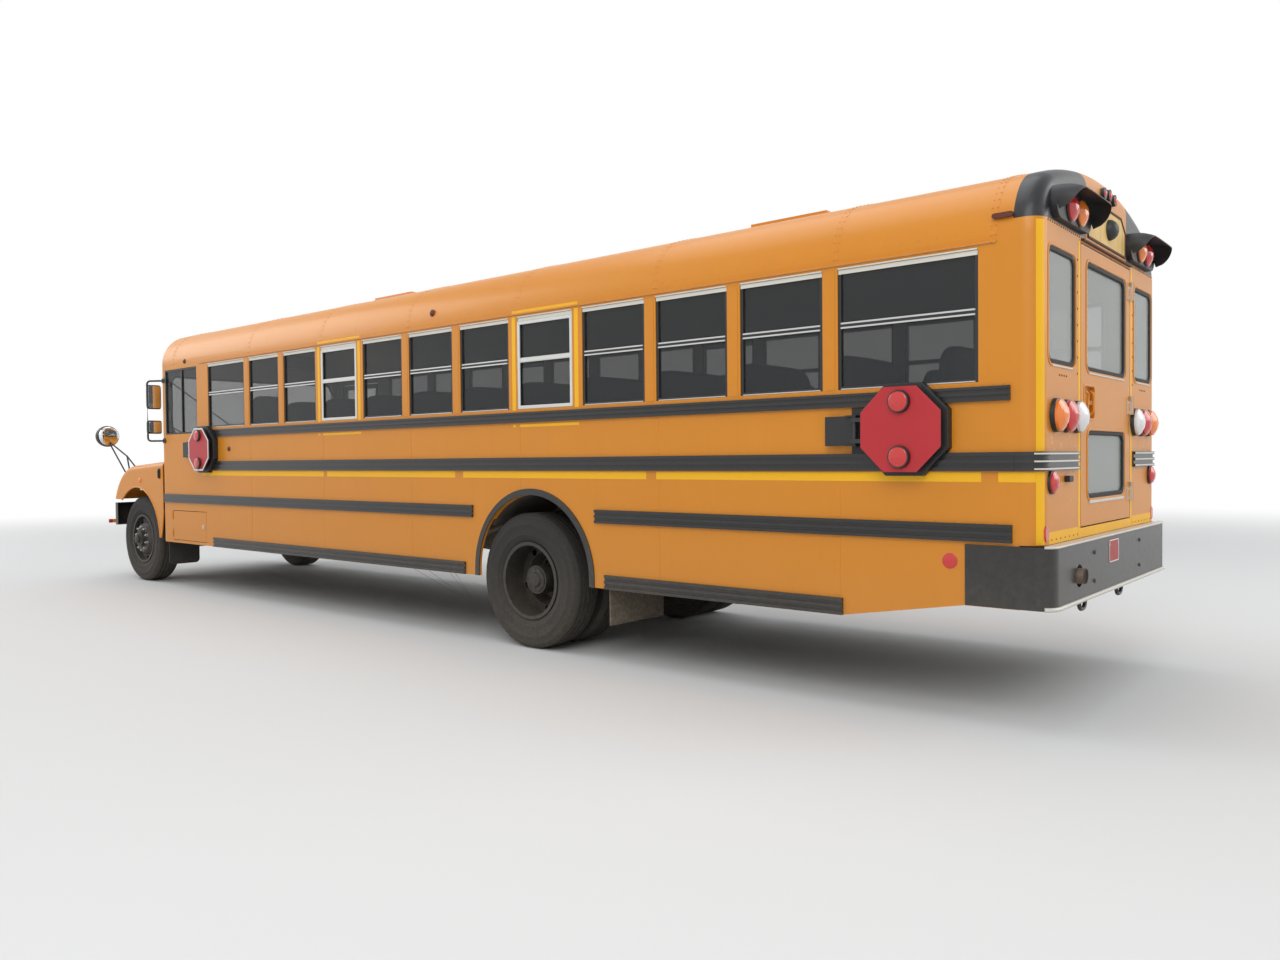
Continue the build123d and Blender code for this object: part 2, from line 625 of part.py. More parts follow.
# Entrance door: two leaves that swing outwards from the jambs
LEAF_THICK = 34
LEAF_FRAME = 60
LEAF_MID_RAIL = 1290
LEAF_MIDDLE = (DOOR_REAR + DOOR_FRONT) / 2
LEAF_Y = -(SKIN_Y - LEAF_THICK / 2 - 2)
DOOR_SILL_Z = FLOOR_Z - 2 * STEP_RISE - STEP_SHEET
LEAVES = [
    ("entrance_leaf_front", LEAF_MIDDLE + DOOR_GAP / 2, DOOR_FRONT - DOOR_GAP),
    ("entrance_leaf_rear", DOOR_REAR + DOOR_GAP, LEAF_MIDDLE - DOOR_GAP / 2),
]
for label, x_rear, x_front in LEAVES:
    middle = at((x_rear + x_front) / 2)
    wide = x_front - x_rear
    low_z = DOOR_SILL_Z + DOOR_GAP
    high_z = DOOR_TOP_Z - DOOR_GAP
    openings = [(low_z + 90, LEAF_MID_RAIL - 30), (LEAF_MID_RAIL + 30, high_z - LEAF_FRAME)]
    hinge_x = at(x_front) - 6 if "front" in label else at(x_rear) + 6
    with BuildPart() as leaf:
        with Locations((middle, LEAF_Y, (low_z + high_z) / 2)):
            Box(wide, LEAF_THICK, high_z - low_z)
        for z_from, z_to in openings:
            with Locations((middle, LEAF_Y, (z_from + z_to) / 2)):
                Box(wide - 2 * LEAF_FRAME, LEAF_THICK + 2, z_to - z_from, mode=Mode.SUBTRACT)
        for z in ENTRANCE_PIN_HEIGHTS:
            with Locations((hinge_x, -ENTRANCE_PIN_Y, z)):
                Cylinder(ENTRANCE_PIN_R, ENTRANCE_PIN_LONG)
    save(leaf, label)
    with BuildPart() as pane:
        for z_from, z_to in openings:
            with Locations((middle, LEAF_Y, (z_from + z_to) / 2)):
                Box(wide - 2 * LEAF_FRAME, PANE, z_to - z_from)
    save(pane, label.replace("leaf", "glass"))

# Hatch doors in the skirts: name, side, hatch, hinge at the front
for label, side, hatch in [("battery_door", 1, BATTERY_HATCH), ("fuel_door", -1, FUEL_HATCH)]:
    x_rear, x_front, z_low, z_high = hatch
    with BuildPart() as hatch_door:
        with Locations((at((x_rear + x_front) / 2), side * (SKIN_Y - HATCH_THICK / 2), (z_low + z_high) / 2)):
            Box(x_front - x_rear - 2 * HATCH_GAP, HATCH_THICK, z_high - z_low - 2 * HATCH_GAP)
        for z in (z_low + 70, z_high - 70):
            with Locations((at(x_front) - HATCH_PIN_BACK, side * HATCH_PIN_Y, z)):
                Cylinder(HATCH_PIN_R, HATCH_PIN_LONG)
    save(hatch_door, label)

# Passenger seats: twelve rows each side
SEAT_ROWS = 12
SEAT_PITCH = 690
SEAT_FIRST = -3330
SEAT_IN_Y = 185
SEAT_OUT_Y = inside_y - 12
CUSHION_TOP_Z = FLOOR_Z + 430
CUSHION_THICK = 110
CUSHION_DEPTH = 400
BACK_THICK = 95
BACK_TOP_Z = 2080
BACK_R = 110
for label, side in [("seats_left", 1), ("seats_right", -1)]:
    with BuildPart() as seats:
        middle_y = side * (SEAT_IN_Y + SEAT_OUT_Y) / 2
        wide = SEAT_OUT_Y - SEAT_IN_Y
        for i in range(SEAT_ROWS):
            back_x = at(SEAT_FIRST + i * SEAT_PITCH)
            low_z = CUSHION_TOP_Z - CUSHION_THICK
            with BuildSketch(Plane.YZ.offset(back_x)):
                with Locations((middle_y, (low_z + BACK_TOP_Z) / 2)):
                    RectangleRounded(wide, BACK_TOP_Z - low_z, BACK_R)
                with Locations((middle_y, low_z + BACK_R)):
                    Rectangle(wide, 2 * BACK_R)
            extrude(amount=BACK_THICK)
            with Locations((back_x + BACK_THICK + CUSHION_DEPTH / 2, middle_y, CUSHION_TOP_Z - CUSHION_THICK / 2)):
                Box(CUSHION_DEPTH, wide, CUSHION_THICK)
            for x in (back_x + BACK_THICK / 2, back_x + BACK_THICK + CUSHION_DEPTH - 60):
                with Locations((x, side * (SEAT_IN_Y + 60), (FLOOR_Z + CUSHION_TOP_Z - CUSHION_THICK) / 2)):
                    Box(30, 30, CUSHION_TOP_Z - CUSHION_THICK - FLOOR_Z)
    save(seats, label)

# Driver's place
DRIVER_Y = 480
DRIVER_X = 5330
with BuildPart() as driver_seat:
    with Locations((at(DRIVER_X), DRIVER_Y, FLOOR_Z + 150)):
        Box(300, 300, 300)
    with Locations((at(DRIVER_X), DRIVER_Y, FLOOR_Z + 360)):
        Box(480, 480, 120)
    with BuildSketch(Plane.YZ.offset(at(DRIVER_X) - 290)):
        with Locations((DRIVER_Y, FLOOR_Z + 750)):
            RectangleRounded(470, 900, 90)
    extrude(amount=110)
save(driver_seat, "driver_seat")

# Steering wheel on its column, turned with the front wheels
WHEEL_TILT = 30
STEER_WHEEL_R = 225
STEER_WHEEL_X = 5790
STEER_WHEEL_Z = 1800
column_plane = Plane(
    origin=(at(STEER_WHEEL_X), DRIVER_Y, STEER_WHEEL_Z),
    x_dir=(0, 1, 0),
    z_dir=(-sin(radians(WHEEL_TILT)), 0, cos(radians(WHEEL_TILT))),
)
RIM_TUBE_R = 16
with BuildPart() as steering_wheel:
    with Locations(column_plane.location):
        Torus(STEER_WHEEL_R - RIM_TUBE_R, RIM_TUBE_R)
    with BuildSketch(column_plane.offset(-10)):
        with PolarLocations(STEER_WHEEL_R / 2, 3):
            Rectangle(STEER_WHEEL_R - 20, 34)
    extrude(amount=14)
    with BuildSketch(column_plane.offset(-70)):
        Circle(52)
    extrude(amount=85)
save(steering_wheel, "steering_wheel")

# Dash panel with the steering column under it
DASH_DEPTH = 200
DASH_RIGHT_Y = 542
with BuildPart() as dashboard:
    with BuildSketch(Plane.XZ.offset(-(inside_y - 60))):
        with BuildLine():
            Polyline(
                (NOSE_X - WALL - 12, FLOOR_Z + 330),
                (NOSE_X - WALL - 12, SCREEN_LOW_Z - 40),
                (NOSE_X - WALL - DASH_DEPTH * 0.6, SCREEN_LOW_Z - 60),
                (NOSE_X - WALL - DASH_DEPTH, SCREEN_LOW_Z - 230),
                (NOSE_X - WALL - DASH_DEPTH * 0.5, FLOOR_Z + 330),
                close=True,
            )
        make_face()
    extrude(amount=inside_y - 60 + DASH_RIGHT_Y)
    with BuildSketch(column_plane.offset(-70 - SEAT_GAP)):
        Circle(38)
    extrude(amount=-331)
    with BuildSketch(column_plane.offset(-400)):
        Circle(26)
    extrude(amount=-460)
    with Locations((at(STEER_WHEEL_X) + 260, DRIVER_Y, FLOOR_Z + 470)):
        Box(140, 60, 90)
    with Locations((at(STEER_WHEEL_X) + 440, DRIVER_Y, FLOOR_Z + 10)):
        Box(180, 120, 20)
save(dashboard, "dashboard")

# Ladder frame: two channel rails and cross members
CROSS_PLACES = (-3700, -2750, -1800, -900, 900, 1900, 2900, 3900, 4900, 7505)
CROSS_LOW_Z = RAIL_TOP_Z - 95
HOOK_R = 38
HOOK_BAR_R = 11
HOOK_Z = 672
with BuildPart() as ladder_frame:
    for side in (1, -1):
        with BuildSketch(Plane.YZ.offset(at(RAIL_REAR))):
            with Locations((side * (RAIL_OUT_Y - RAIL_FLANGE / 2), RAIL_TOP_Z - RAIL_DEPTH / 2)):
                Rectangle(RAIL_FLANGE, RAIL_DEPTH)
            with Locations((side * (RAIL_OUT_Y - RAIL_FLANGE / 2 - RAIL_STEEL), RAIL_TOP_Z - RAIL_DEPTH / 2)):
                Rectangle(RAIL_FLANGE, RAIL_DEPTH - 2 * RAIL_STEEL, mode=Mode.SUBTRACT)
        extrude(amount=RAIL_FRONT - RAIL_REAR)
    for x in CROSS_PLACES:
        with Locations((at(x), 0, RAIL_TOP_Z - 60)):
            Box(70, 2 * (RAIL_OUT_Y - RAIL_STEEL), 70)
    for side in (1, -1):
        with Locations((at(RAIL_FRONT) - 60, side * (RAIL_OUT_Y + 8), RAIL_TOP_Z - 60)):
            Box(120, 16, 160)
        with BuildSketch(Plane.XZ.offset(-side * RAIL_OUT_Y)):
            with BuildLine():
                Polyline(
                    (at(RAIL_FRONT) - 120, RAIL_TOP_Z - 140),
                    (at(RAIL_FRONT), RAIL_TOP_Z - 140),
                    (HOOD_HINGE_X - 36, HOOD_HINGE_Z - 75),
                    (HOOD_HINGE_X - 18, HOOD_HINGE_Z - 12),
                    (HOOD_HINGE_X - 18, HOOD_HINGE_Z + 12),
                    (at(RAIL_FRONT) - 120, RAIL_TOP_Z),
                    close=True,
                )
            make_face()
            with Locations((HOOD_HINGE_X, HOOD_HINGE_Z)):
                Circle(24)
        extrude(amount=16, dir=(0, side, 0))
        with BuildSketch(Plane.XZ.offset(-side * (RAIL_OUT_Y + 16))):
            with Locations((HOOD_HINGE_X, HOOD_HINGE_Z)):
                Circle(11)
        extrude(amount=34, dir=(0, side, 0))
        with Locations(Location((at(RAIL_REAR) + 60, side * (RAIL_OUT_Y - RAIL_FLANGE / 2), HOOK_Z), (90, 0, 0))):
            Torus(HOOK_R, HOOK_BAR_R)
save(ladder_frame, "ladder_frame")

# Leaf springs as curved packs with eyes
SPRING_W = 76
LEAF_STEEL = 15


def leaf_pack(axle_x, side_y, mid_z, half_span, rise):
    """A pack of three leaves curving up to an eye at each end."""
    bend = (half_span ** 2 + rise ** 2) / (2 * rise)
    with BuildPart() as pack:
        with BuildSketch(Plane.XZ.offset(-side_y)):
            for i, share in enumerate((1.0, 0.72, 0.45)):
                reach = half_span * share
                drop = LEAF_STEEL * i
                end_z = mid_z - drop + bend - sqrt(bend ** 2 - reach ** 2)
                with BuildLine():
                    upper = ThreePointArc((axle_x - reach, end_z), (axle_x, mid_z - drop), (axle_x + reach, end_z))
                    lower = ThreePointArc(
                        (axle_x - reach, end_z - LEAF_STEEL),
                        (axle_x, mid_z - drop - LEAF_STEEL),
                        (axle_x + reach, end_z - LEAF_STEEL),
                    )
                    Line(upper @ 0, lower @ 0)
                    Line(upper @ 1, lower @ 1)
                make_face()
            with Locations((axle_x - half_span, mid_z + rise), (axle_x + half_span, mid_z + rise)):
                Circle(30)
        extrude(amount=SPRING_W / 2, both=True)
    return pack.part


FRONT_SPRING_Y = 430
REAR_SPRING_Y = 484
FRONT_SPRING_HALF = 560
REAR_SPRING_HALF = 700
BEAM_Z = 430
# Front axle: dropped beam, spring packs and hangers
with BuildPart() as front_axle:
    with BuildSketch(Plane.YZ.offset(FRONT_AXLE_X - 45)):
        with BuildLine():
            Polyline(
                (-KINGPIN_Y, TYRE_R + 45), (-KINGPIN_Y, TYRE_R - 45), (-KINGPIN_Y + 120, TYRE_R - 45),
                (-590, BEAM_Z - 55), (590, BEAM_Z - 55), (KINGPIN_Y - 120, TYRE_R - 45),
                (KINGPIN_Y, TYRE_R - 45), (KINGPIN_Y, TYRE_R + 45), (KINGPIN_Y - 90, TYRE_R + 45),
                (560, BEAM_Z + 55), (-560, BEAM_Z + 55), (-KINGPIN_Y + 90, TYRE_R + 45),
                close=True,
            )
        make_face()
    extrude(amount=90)
    for side in (1, -1):
        with Locations((FRONT_AXLE_X, side * KINGPIN_Y, TYRE_R)):
            Cylinder(48, 90)
            Cylinder(20 + RUNNING_GAP, 92, mode=Mode.SUBTRACT)
        add(leaf_pack(FRONT_AXLE_X, side * FRONT_SPRING_Y, BEAM_Z + 100, FRONT_SPRING_HALF, 90))
        with Locations((FRONT_AXLE_X, side * FRONT_SPRING_Y, BEAM_Z + 85)):
            Box(150, SPRING_W + 14, 60)
        for end in (-1, 1):
            with Locations((FRONT_AXLE_X + end * FRONT_SPRING_HALF, side * FRONT_SPRING_Y, RAIL_TOP_Z - RAIL_DEPTH - 40)):
                Box(60, 90, 80)
save(front_axle, "front_axle")

AXLE_TUBE_R = 68
HOUSING_R = 210
with BuildPart() as rear_axle:
    with Locations(Location((REAR_AXLE_X, 0, TYRE_R), (90, 0, 0))):
        Cylinder(AXLE_TUBE_R, 2 * 560)
        Cylinder(45, 2 * 905)
    with Locations((REAR_AXLE_X, 0, TYRE_R)):
        Sphere(HOUSING_R)
    with Locations(Location((REAR_AXLE_X + 200, 0, TYRE_R), (0, 90, 0))):
        Cone(120, 70, 260)
    for side in (1, -1):
        add(leaf_pack(REAR_AXLE_X, side * REAR_SPRING_Y, TYRE_R + 110, REAR_SPRING_HALF, 40))
        with Locations((REAR_AXLE_X, side * REAR_SPRING_Y, TYRE_R + 62)):
            Box(160, SPRING_W, 60)
        for end in (-1, 1):
            with Locations((REAR_AXLE_X + end * REAR_SPRING_HALF, side * (RAIL_OUT_Y + 40), RAIL_TOP_Z - 180)):
                Box(70, 80, 170)
save(rear_axle, "rear_axle")

# Engine, gearbox and drive shaft
MOUNT_Z = 790
ENGINE = (6530, 7290, 305, 640, 1330)
with BuildPart() as engine:
    x_rear, x_front, half, z_low, z_high = ENGINE
    with Locations((at((x_rear + x_front) / 2), 0, (z_low + z_high) / 2)):
        Box(x_front - x_rear, 2 * half, z_high - z_low)
    with Locations((at(x_front) + 45, 0, (z_low + z_high) / 2)):
        Box(90, 120, 120)
    with Locations((at((x_rear + x_front) / 2), 0, MOUNT_Z)):
        Box(90, 2 * (RAIL_OUT_Y - RAIL_STEEL), 60)
save(engine, "engine")

RADIATOR = (7380, 7450, 345, 720, 1380)
with BuildPart() as radiator:
    x_rear, x_front, half, z_low, z_high = RADIATOR
    with Locations((at((x_rear + x_front) / 2), 0, (z_low + z_high) / 2)):
        Box(x_front - x_rear, 2 * half, z_high - z_low)
    with Locations((at((x_rear + x_front) / 2), 0, MOUNT_Z)):
        Box(40, 2 * (RAIL_OUT_Y - RAIL_STEEL), 40)
save(radiator, "radiator")

SHAFT_R = 52
GEARBOX_Z = 735
with BuildPart() as driveline:
    with BuildSketch(Plane.YZ.offset(at(ENGINE[0]))):
        with Locations((0, GEARBOX_Z)):
            Circle(192)
    extrude(amount=-180)
    with BuildSketch(Plane.YZ.offset(at(ENGINE[0]) - 180)):
        with Locations((0, GEARBOX_Z)):
            Circle(185)
    with BuildSketch(Plane.YZ.offset(at(ENGINE[0]) - 950)):
        with Locations((0, GEARBOX_Z)):
            Circle(110)
    loft()
    hanger = (at(2900), GEARBOX_Z - 30)
    for start, end in [((at(ENGINE[0]) - 945, GEARBOX_Z), hanger), (hanger, (REAR_AXLE_X + 336, TYRE_R))]:
        length = sqrt((start[0] - end[0]) ** 2 + (start[1] - end[1]) ** 2)
        shaft_plane = Plane(
            origin=(start[0], 0, start[1]), x_dir=(0, 1, 0), z_dir=(end[0] - start[0], 0, end[1] - start[1])
        )
        with BuildSketch(shaft_plane):
            Circle(SHAFT_R)
        extrude(amount=length)
    with Locations((hanger[0], 0, (CROSS_LOW_Z + hanger[1] - 75) / 2)):
        Box(60, 150, CROSS_LOW_Z - hanger[1] + 75)
save(driveline, "driveline")

# Fuel tank between the rails behind the rear axle, with straps to the rails
with BuildPart() as fuel_tank:
    with Locations((at(-2270), 0, 700)):
        Box(760, 2 * 340, 330)
    fillet(fuel_tank.edges().filter_by(Axis.X), 60)
    with Locations((at(-2500), 0, MOUNT_Z), (at(-2040), 0, MOUNT_Z)):
        Box(60, 2 * (RAIL_OUT_Y - RAIL_STEEL), 50)
save(fuel_tank, "fuel_tank")

# Exhaust: muffler outside the left rail, tail pipe through the bumper
EXHAUST_Y = 780
EXHAUST_Z = 800
# Hangers from the floor sills: sill number, distance out, top of the pipe there
EXHAUST_HANGERS = [(1, 780, 842), (2, 780, 842), (8, 640, 782), (10, 640, 870), (11, 640, 795)]
with BuildPart() as exhaust:
    with Locations(Location((at(3200), 640, 740), (0, 90, 0))):
        Cylinder(130, 900)
    with Locations(Location((at(4300), 640, 740), (0, 90, 0))):
        Cylinder(55, 1400)
    with BuildLine() as pipe_line:
        FilletPolyline(
            (at(2760), 640, 740), (at(1400), 640, 740), (at(1000), 500, 885), (at(-1100), 500, 885),
            (at(-1600), EXHAUST_Y, EXHAUST_Z), (at(-3925), EXHAUST_Y, EXHAUST_Z),
            radius=150,
        )
    with BuildSketch(Plane(origin=(at(2760), 640, 740), z_dir=(-1, 0, 0))):
        Circle(42)
    sweep(path=pipe_line.wires()[0])
    for sill, y, pipe_top in EXHAUST_HANGERS:
        top_z = RAIL_TOP_Z - SEAT_GAP
        with Locations((at(SILL_START + sill * SILL_PITCH), y, (pipe_top - 20 + top_z) / 2)):
            Box(36, 60, top_z - pipe_top + 20)
save(exhaust, "exhaust")

# Bumpers
BUMPER_LOW_Z = 675
BUMPER_HIGH_Z = 957
BUMPER_FRONT = 7760
BUMPER_SWEEP = 120
BUMPER_HALF = 1200
BUMPER_STEEL = 8
BUMPER_DEPTH = 70


def bumper_plan(inset):
    """Front bumper from above: a shallow arc with square ends."""
    front = at(BUMPER_FRONT) - inset
    half = BUMPER_HALF - inset
    back = at(BUMPER_FRONT) - BUMPER_DEPTH - inset
    with BuildSketch() as plan:
        with BuildLine():
            face = ThreePointArc((front - BUMPER_SWEEP, -half), (front, 0), (front - BUMPER_SWEEP, half))
            rear = ThreePointArc((back - BUMPER_SWEEP, -half), (back, 0), (back - BUMPER_SWEEP, half))
            Line(face @ 0, rear @ 0)
            Line(face @ 1, rear @ 1)
        make_face()
    return plan.sketch


# Front bumper with the motor of the crossing gate at its kerb end
GATE_PIVOT_Y = -960
GATE_TIP_Y = 1215
GATE_Z = 715
GATE_X = BUMPER_FRONT + 50
GATE_PLATE_Z = 62
with BuildPart() as bumper_block:
    with BuildSketch(Plane.XY.offset(BUMPER_LOW_Z)):
        add(bumper_plan(0))
    extrude(amount=BUMPER_HIGH_Z - BUMPER_LOW_Z)

with BuildPart() as gate_motor:
    with Locations((at(BUMPER_FRONT) - 30, GATE_PIVOT_Y - 110, GATE_Z)):
        Box(170, 150, 150)
    for z in (GATE_Z - GATE_PLATE_Z, GATE_Z + GATE_PLATE_Z):
        with Locations((at(GATE_X) - 60, GATE_PIVOT_Y, z)):
            Box(160, 90, 8)
    with Locations((at(BUMPER_FRONT) - 110, GATE_PIVOT_Y, GATE_Z)):
        Box(60, 600, 400, mode=Mode.SUBTRACT)
    add(bumper_block.part, mode=Mode.SUBTRACT)

with BuildPart() as front_bumper:
    with BuildSketch(Plane.XY.offset(BUMPER_LOW_Z)):
        add(bumper_plan(0))
    extrude(amount=BUMPER_HIGH_Z - BUMPER_LOW_Z)
    with BuildSketch(Plane.XY.offset(BUMPER_LOW_Z + BUMPER_STEEL)):
        add(bumper_plan(BUMPER_STEEL))
    extrude(amount=BUMPER_HIGH_Z - BUMPER_LOW_Z - 2 * BUMPER_STEEL, mode=Mode.SUBTRACT)
    for side in (1, -1):
        with Locations((at((RAIL_FRONT + BUMPER_FRONT - 14) / 2) + SEAT_GAP, side * (RAIL_OUT_Y - 28), RAIL_TOP_Z - 125)):
            Box(BUMPER_FRONT - RAIL_FRONT - 14, 48, 180)
    add(gate_motor.part)
save(front_bumper, "front_bumper")

# Rear bumper that wraps onto the body sides
BUMPER_TURN = 90
REAR_BUMPER = (3895, 3440, 655, 980)
PLATE_Y = 100
PLATE_Z = 925
PLATE_SPAN = 178
PLATE_HOLE_R = 3.5
with BuildPart() as rear_bumper:
    back, wrap, z_low, z_high = REAR_BUMPER
    with BuildSketch(Plane.XY.offset(z_low)):
        with BuildLine():
            side_out = SKIN_Y + 12
            side_in = side_out - BUMPER_STEEL
            Polyline((at(-wrap), side_out), (at(-wrap), side_in))
            FilletPolyline(
                (at(-wrap), side_in), (at(-back) + BUMPER_STEEL, side_in),
                (at(-back) + BUMPER_STEEL, -side_in), (at(-wrap), -side_in), radius=BUMPER_TURN - BUMPER_STEEL,
            )
            Polyline((at(-wrap), -side_in), (at(-wrap), -side_out))
            FilletPolyline(
                (at(-wrap), -side_out), (at(-back), -side_out), (at(-back), side_out), (at(-wrap), side_out),
                radius=BUMPER_TURN,
            )
        make_face()
    extrude(amount=z_high - z_low)
    with Locations((at(-(back + BODY_TAIL) / 2) - 1, 0, z_high - BUMPER_STEEL / 2)):
        Box(back - BODY_TAIL - 2, 2 * (SKIN_Y - END_R), BUMPER_STEEL)
    with Locations(Location((at(-back), EXHAUST_Y, EXHAUST_Z), (0, 90, 0))):
        Cylinder(62, 60, mode=Mode.SUBTRACT)
    for y in (PLATE_Y - PLATE_SPAN / 2, PLATE_Y + PLATE_SPAN / 2):
        with Locations(Location((at(-back), y, PLATE_Z), (0, 90, 0))):
            Cylinder(PLATE_HOLE_R, 40, mode=Mode.SUBTRACT)
save(rear_bumper, "rear_bumper")

# Mud flaps behind the rear wheels
FLAP_LOW_Z = 265
with BuildPart() as mud_flaps:
    for side in (1, -1):
        with Locations((at(-850), side * 880, (FLAP_LOW_Z + FLOOR_Z - FLOOR_THICK) / 2)):
            Box(12, 600, FLOOR_Z - FLOOR_THICK - FLAP_LOW_Z)
save(mud_flaps, "mud_flaps")

# Lamps on the body: distance out, height, radius
TAIL_LAMPS = [(985, 1660, 84), (805, 1660, 84), (625, 1660, 84), (1045, 1310, 58)]
LENS_DEPTH = 28

# Warning lamp pods at the four upper corners
POD_IN = 430
POD_OUT = 1050
POD_LOW_Z = 2685
POD_TOP_Z = 2860
POD_REACH = REAR_REACH - BODY_TAIL
WARNING_LAMPS = (820, 650)
WARNING_R = 72
POD_SHEET = 8
POD_R = 80
POD_BACK = 30
POD_LIP = 40
POD_ROOT = 120
FRONT_POD = 140
FRONT_POD_REACH = 150


def pod(x_face, facing, side, reach):
    """Back box with a scoop over its two lamps."""
    middle = side * (POD_IN + POD_OUT) / 2
    wide = POD_OUT - POD_IN
    high = POD_TOP_Z - POD_LOW_Z
    with BuildPart() as scoop:
        with BuildSketch(Plane.YZ.offset(x_face - facing * POD_ROOT)):
            with Locations((middle, (POD_LOW_Z + POD_TOP_Z) / 2)):
                RectangleRounded(wide, high, POD_R)
        extrude(amount=facing * (reach + POD_ROOT))
        with BuildSketch(Plane.YZ.offset(x_face + facing * POD_BACK)):
            with Locations((middle, (POD_LOW_Z + POD_TOP_Z) / 2)):
                RectangleRounded(wide - 2 * POD_SHEET, high - 2 * POD_SHEET, POD_R - POD_SHEET)
        extrude(amount=facing * reach, mode=Mode.SUBTRACT)
        with BuildSketch(Plane.XZ.offset(-middle)):
            lobe = reach + 1 - POD_BACK
            drop = POD_TOP_Z - POD_LIP - (POD_LOW_Z - 1)
            with BuildLine():
                under = Polyline(
                    (x_face + facing * POD_BACK, POD_LOW_Z - 1),
                    (x_face + facing * (reach + 1), POD_LOW_Z - 1),
                    (x_face + facing * (reach + 1), POD_TOP_Z - POD_LIP),
                )
                ThreePointArc(
                    under @ 1,
                    (x_face + facing * (POD_BACK + 0.68 * lobe), POD_LOW_Z - 1 + 0.32 * drop),
                    under @ 0,
                )
            make_face()
        extrude(amount=wide / 2 + 1, both=True, mode=Mode.SUBTRACT)
        add(OUTER, mode=Mode.SUBTRACT)
    return scoop.part


with BuildPart() as warning_pods:
    for side in (1, -1):
        add(pod(TAIL_X, -1, side, POD_REACH))
        add(pod(NOSE_X + FRONT_POD, 1, side, FRONT_POD_REACH))
save(warning_pods, "warning_pods")

with BuildPart() as lamps:
    with BuildSketch(Plane.YZ.offset(TAIL_X)):
        for y, z, r in TAIL_LAMPS:
            with Locations((y, z), (-y, z)):
                Circle(r)
        with Locations((-110, 2990), (0, 3000), (110, 2990)):
            Circle(28)
    extrude(amount=-LENS_DEPTH)
    for face, way in [(TAIL_X - POD_BACK, -1), (NOSE_X + FRONT_POD + POD_BACK, 1)]:
        with BuildSketch(Plane.YZ.offset(face)):
            for y in WARNING_LAMPS:
                with Locations((y, (POD_LOW_Z + POD_TOP_Z) / 2), (-y, (POD_LOW_Z + POD_TOP_Z) / 2)):
                    Circle(WARNING_R)
        extrude(amount=way * 20)
save(lamps, "lamps")

# Rear-view mirrors on loop brackets
MIRROR_X = 6330
MIRROR_Y = 1255
MIRROR_HALF = 85
MIRROR_TUBE_R = 11
MIRROR_FOOT_X = 6166
MIRROR_TOP_Z = 2420
MIRROR_LOW_Z = 1715
with BuildPart() as side_mirrors:
    for side in (1, -1):
        with BuildLine() as loop:
            FilletPolyline(
                (at(MIRROR_FOOT_X), side * (SKIN_Y + 10), MIRROR_TOP_Z),
                (at(MIRROR_X), side * (MIRROR_Y + MIRROR_HALF - MIRROR_TUBE_R), MIRROR_TOP_Z),
                (at(MIRROR_X), side * (MIRROR_Y + MIRROR_HALF - MIRROR_TUBE_R), MIRROR_LOW_Z),
                (at(MIRROR_FOOT_X), side * (SKIN_Y + 10), MIRROR_LOW_Z),
                radius=45,
            )
        with BuildSketch(Plane(origin=loop.wires()[0] @ 0, z_dir=loop.wires()[0] % 0)):
            Circle(MIRROR_TUBE_R)
        sweep(path=loop.wires()[0])
        for z in (MIRROR_TOP_Z, MIRROR_LOW_Z):
            with Locations((at(MIRROR_FOOT_X), side * (SKIN_Y + 6), z)):
                Box(56, 12, 56)
        with Locations((at(MIRROR_X), side * MIRROR_Y, 2235)):
            Box(50, 2 * MIRROR_HALF, 290)
        with Locations((at(MIRROR_X), side * MIRROR_Y, 1880)):
            Box(60, 2 * MIRROR_HALF, 160)
save(side_mirrors, "side_mirrors")

# Stop signs on swing arms: centre, pivot, centre height
STOP_SIGNS = [("stop_sign_front", 5120, 5405), ("stop_sign_rear", -3110, -2820)]
STOP_Z = 1600
STOP_HALF = 235
STOP_PLATE_Y = 1300
STOP_PIVOT_Y = SKIN_Y + 60
HOUSING = (180, 46, 170)
STOP_EAR_Z = 83
STOP_LAMP_UP = 152
STOP_LAMP_R = 55
STOP_LAMP_DEPTH = 26
for label, centre, pivot in STOP_SIGNS:
    with BuildPart() as stop_sign:
        with BuildSketch(Plane.XZ.offset(-STOP_PLATE_Y)):
            with Locations((at(centre), STOP_Z)):
                RegularPolygon(STOP_HALF, 8, major_radius=False, rotation=22.5)
        extrude(amount=4, both=True)
        with BuildSketch(Plane.XZ.offset(-STOP_PLATE_Y)):
            with Locations((at(centre), STOP_Z + STOP_LAMP_UP), (at(centre), STOP_Z - STOP_LAMP_UP)):
                Circle(STOP_LAMP_R)
        extrude(amount=STOP_LAMP_DEPTH, both=True)
        for z in (STOP_Z - 60, STOP_Z + 60):
            with Locations((at((centre + pivot) / 2), STOP_PLATE_Y - 12, z)):
                Box(abs(pivot - centre), 16, 24)
            with Locations((at(pivot), (STOP_PIVOT_Y + STOP_PLATE_Y - 4) / 2, z)):
                Box(24, STOP_PLATE_Y - 4 - STOP_PIVOT_Y, 24)
        with Locations((at(pivot), STOP_PIVOT_Y, STOP_Z)):
            Cylinder(12, 2 * (STOP_EAR_Z - 5 - SEAT_GAP))
    save(stop_sign, label)

with BuildPart() as stop_housings:
    for label, centre, pivot in STOP_SIGNS:
        long, deep, high = HOUSING
        with Locations((at(pivot) + long / 2 + 18, SKIN_Y + deep / 2, STOP_Z)):
            Box(long, deep, high)
        for z in (STOP_Z - STOP_EAR_Z, STOP_Z + STOP_EAR_Z):
            with Locations((at(pivot) + 20, SKIN_Y + 38, z)):
                Box(70, 76, 10)
save(stop_housings, "stop_housings")

# Roof hatches
HATCH_RISE = 55
with BuildPart() as roof_hatches:
    for x in (-1800, 2900):
        with Locations((at(x), 0, ROOF_Z)):
            Box(620, 620, 2 * HATCH_RISE)
    add(OUTER, mode=Mode.SUBTRACT)
save(roof_hatches, "roof_hatches")


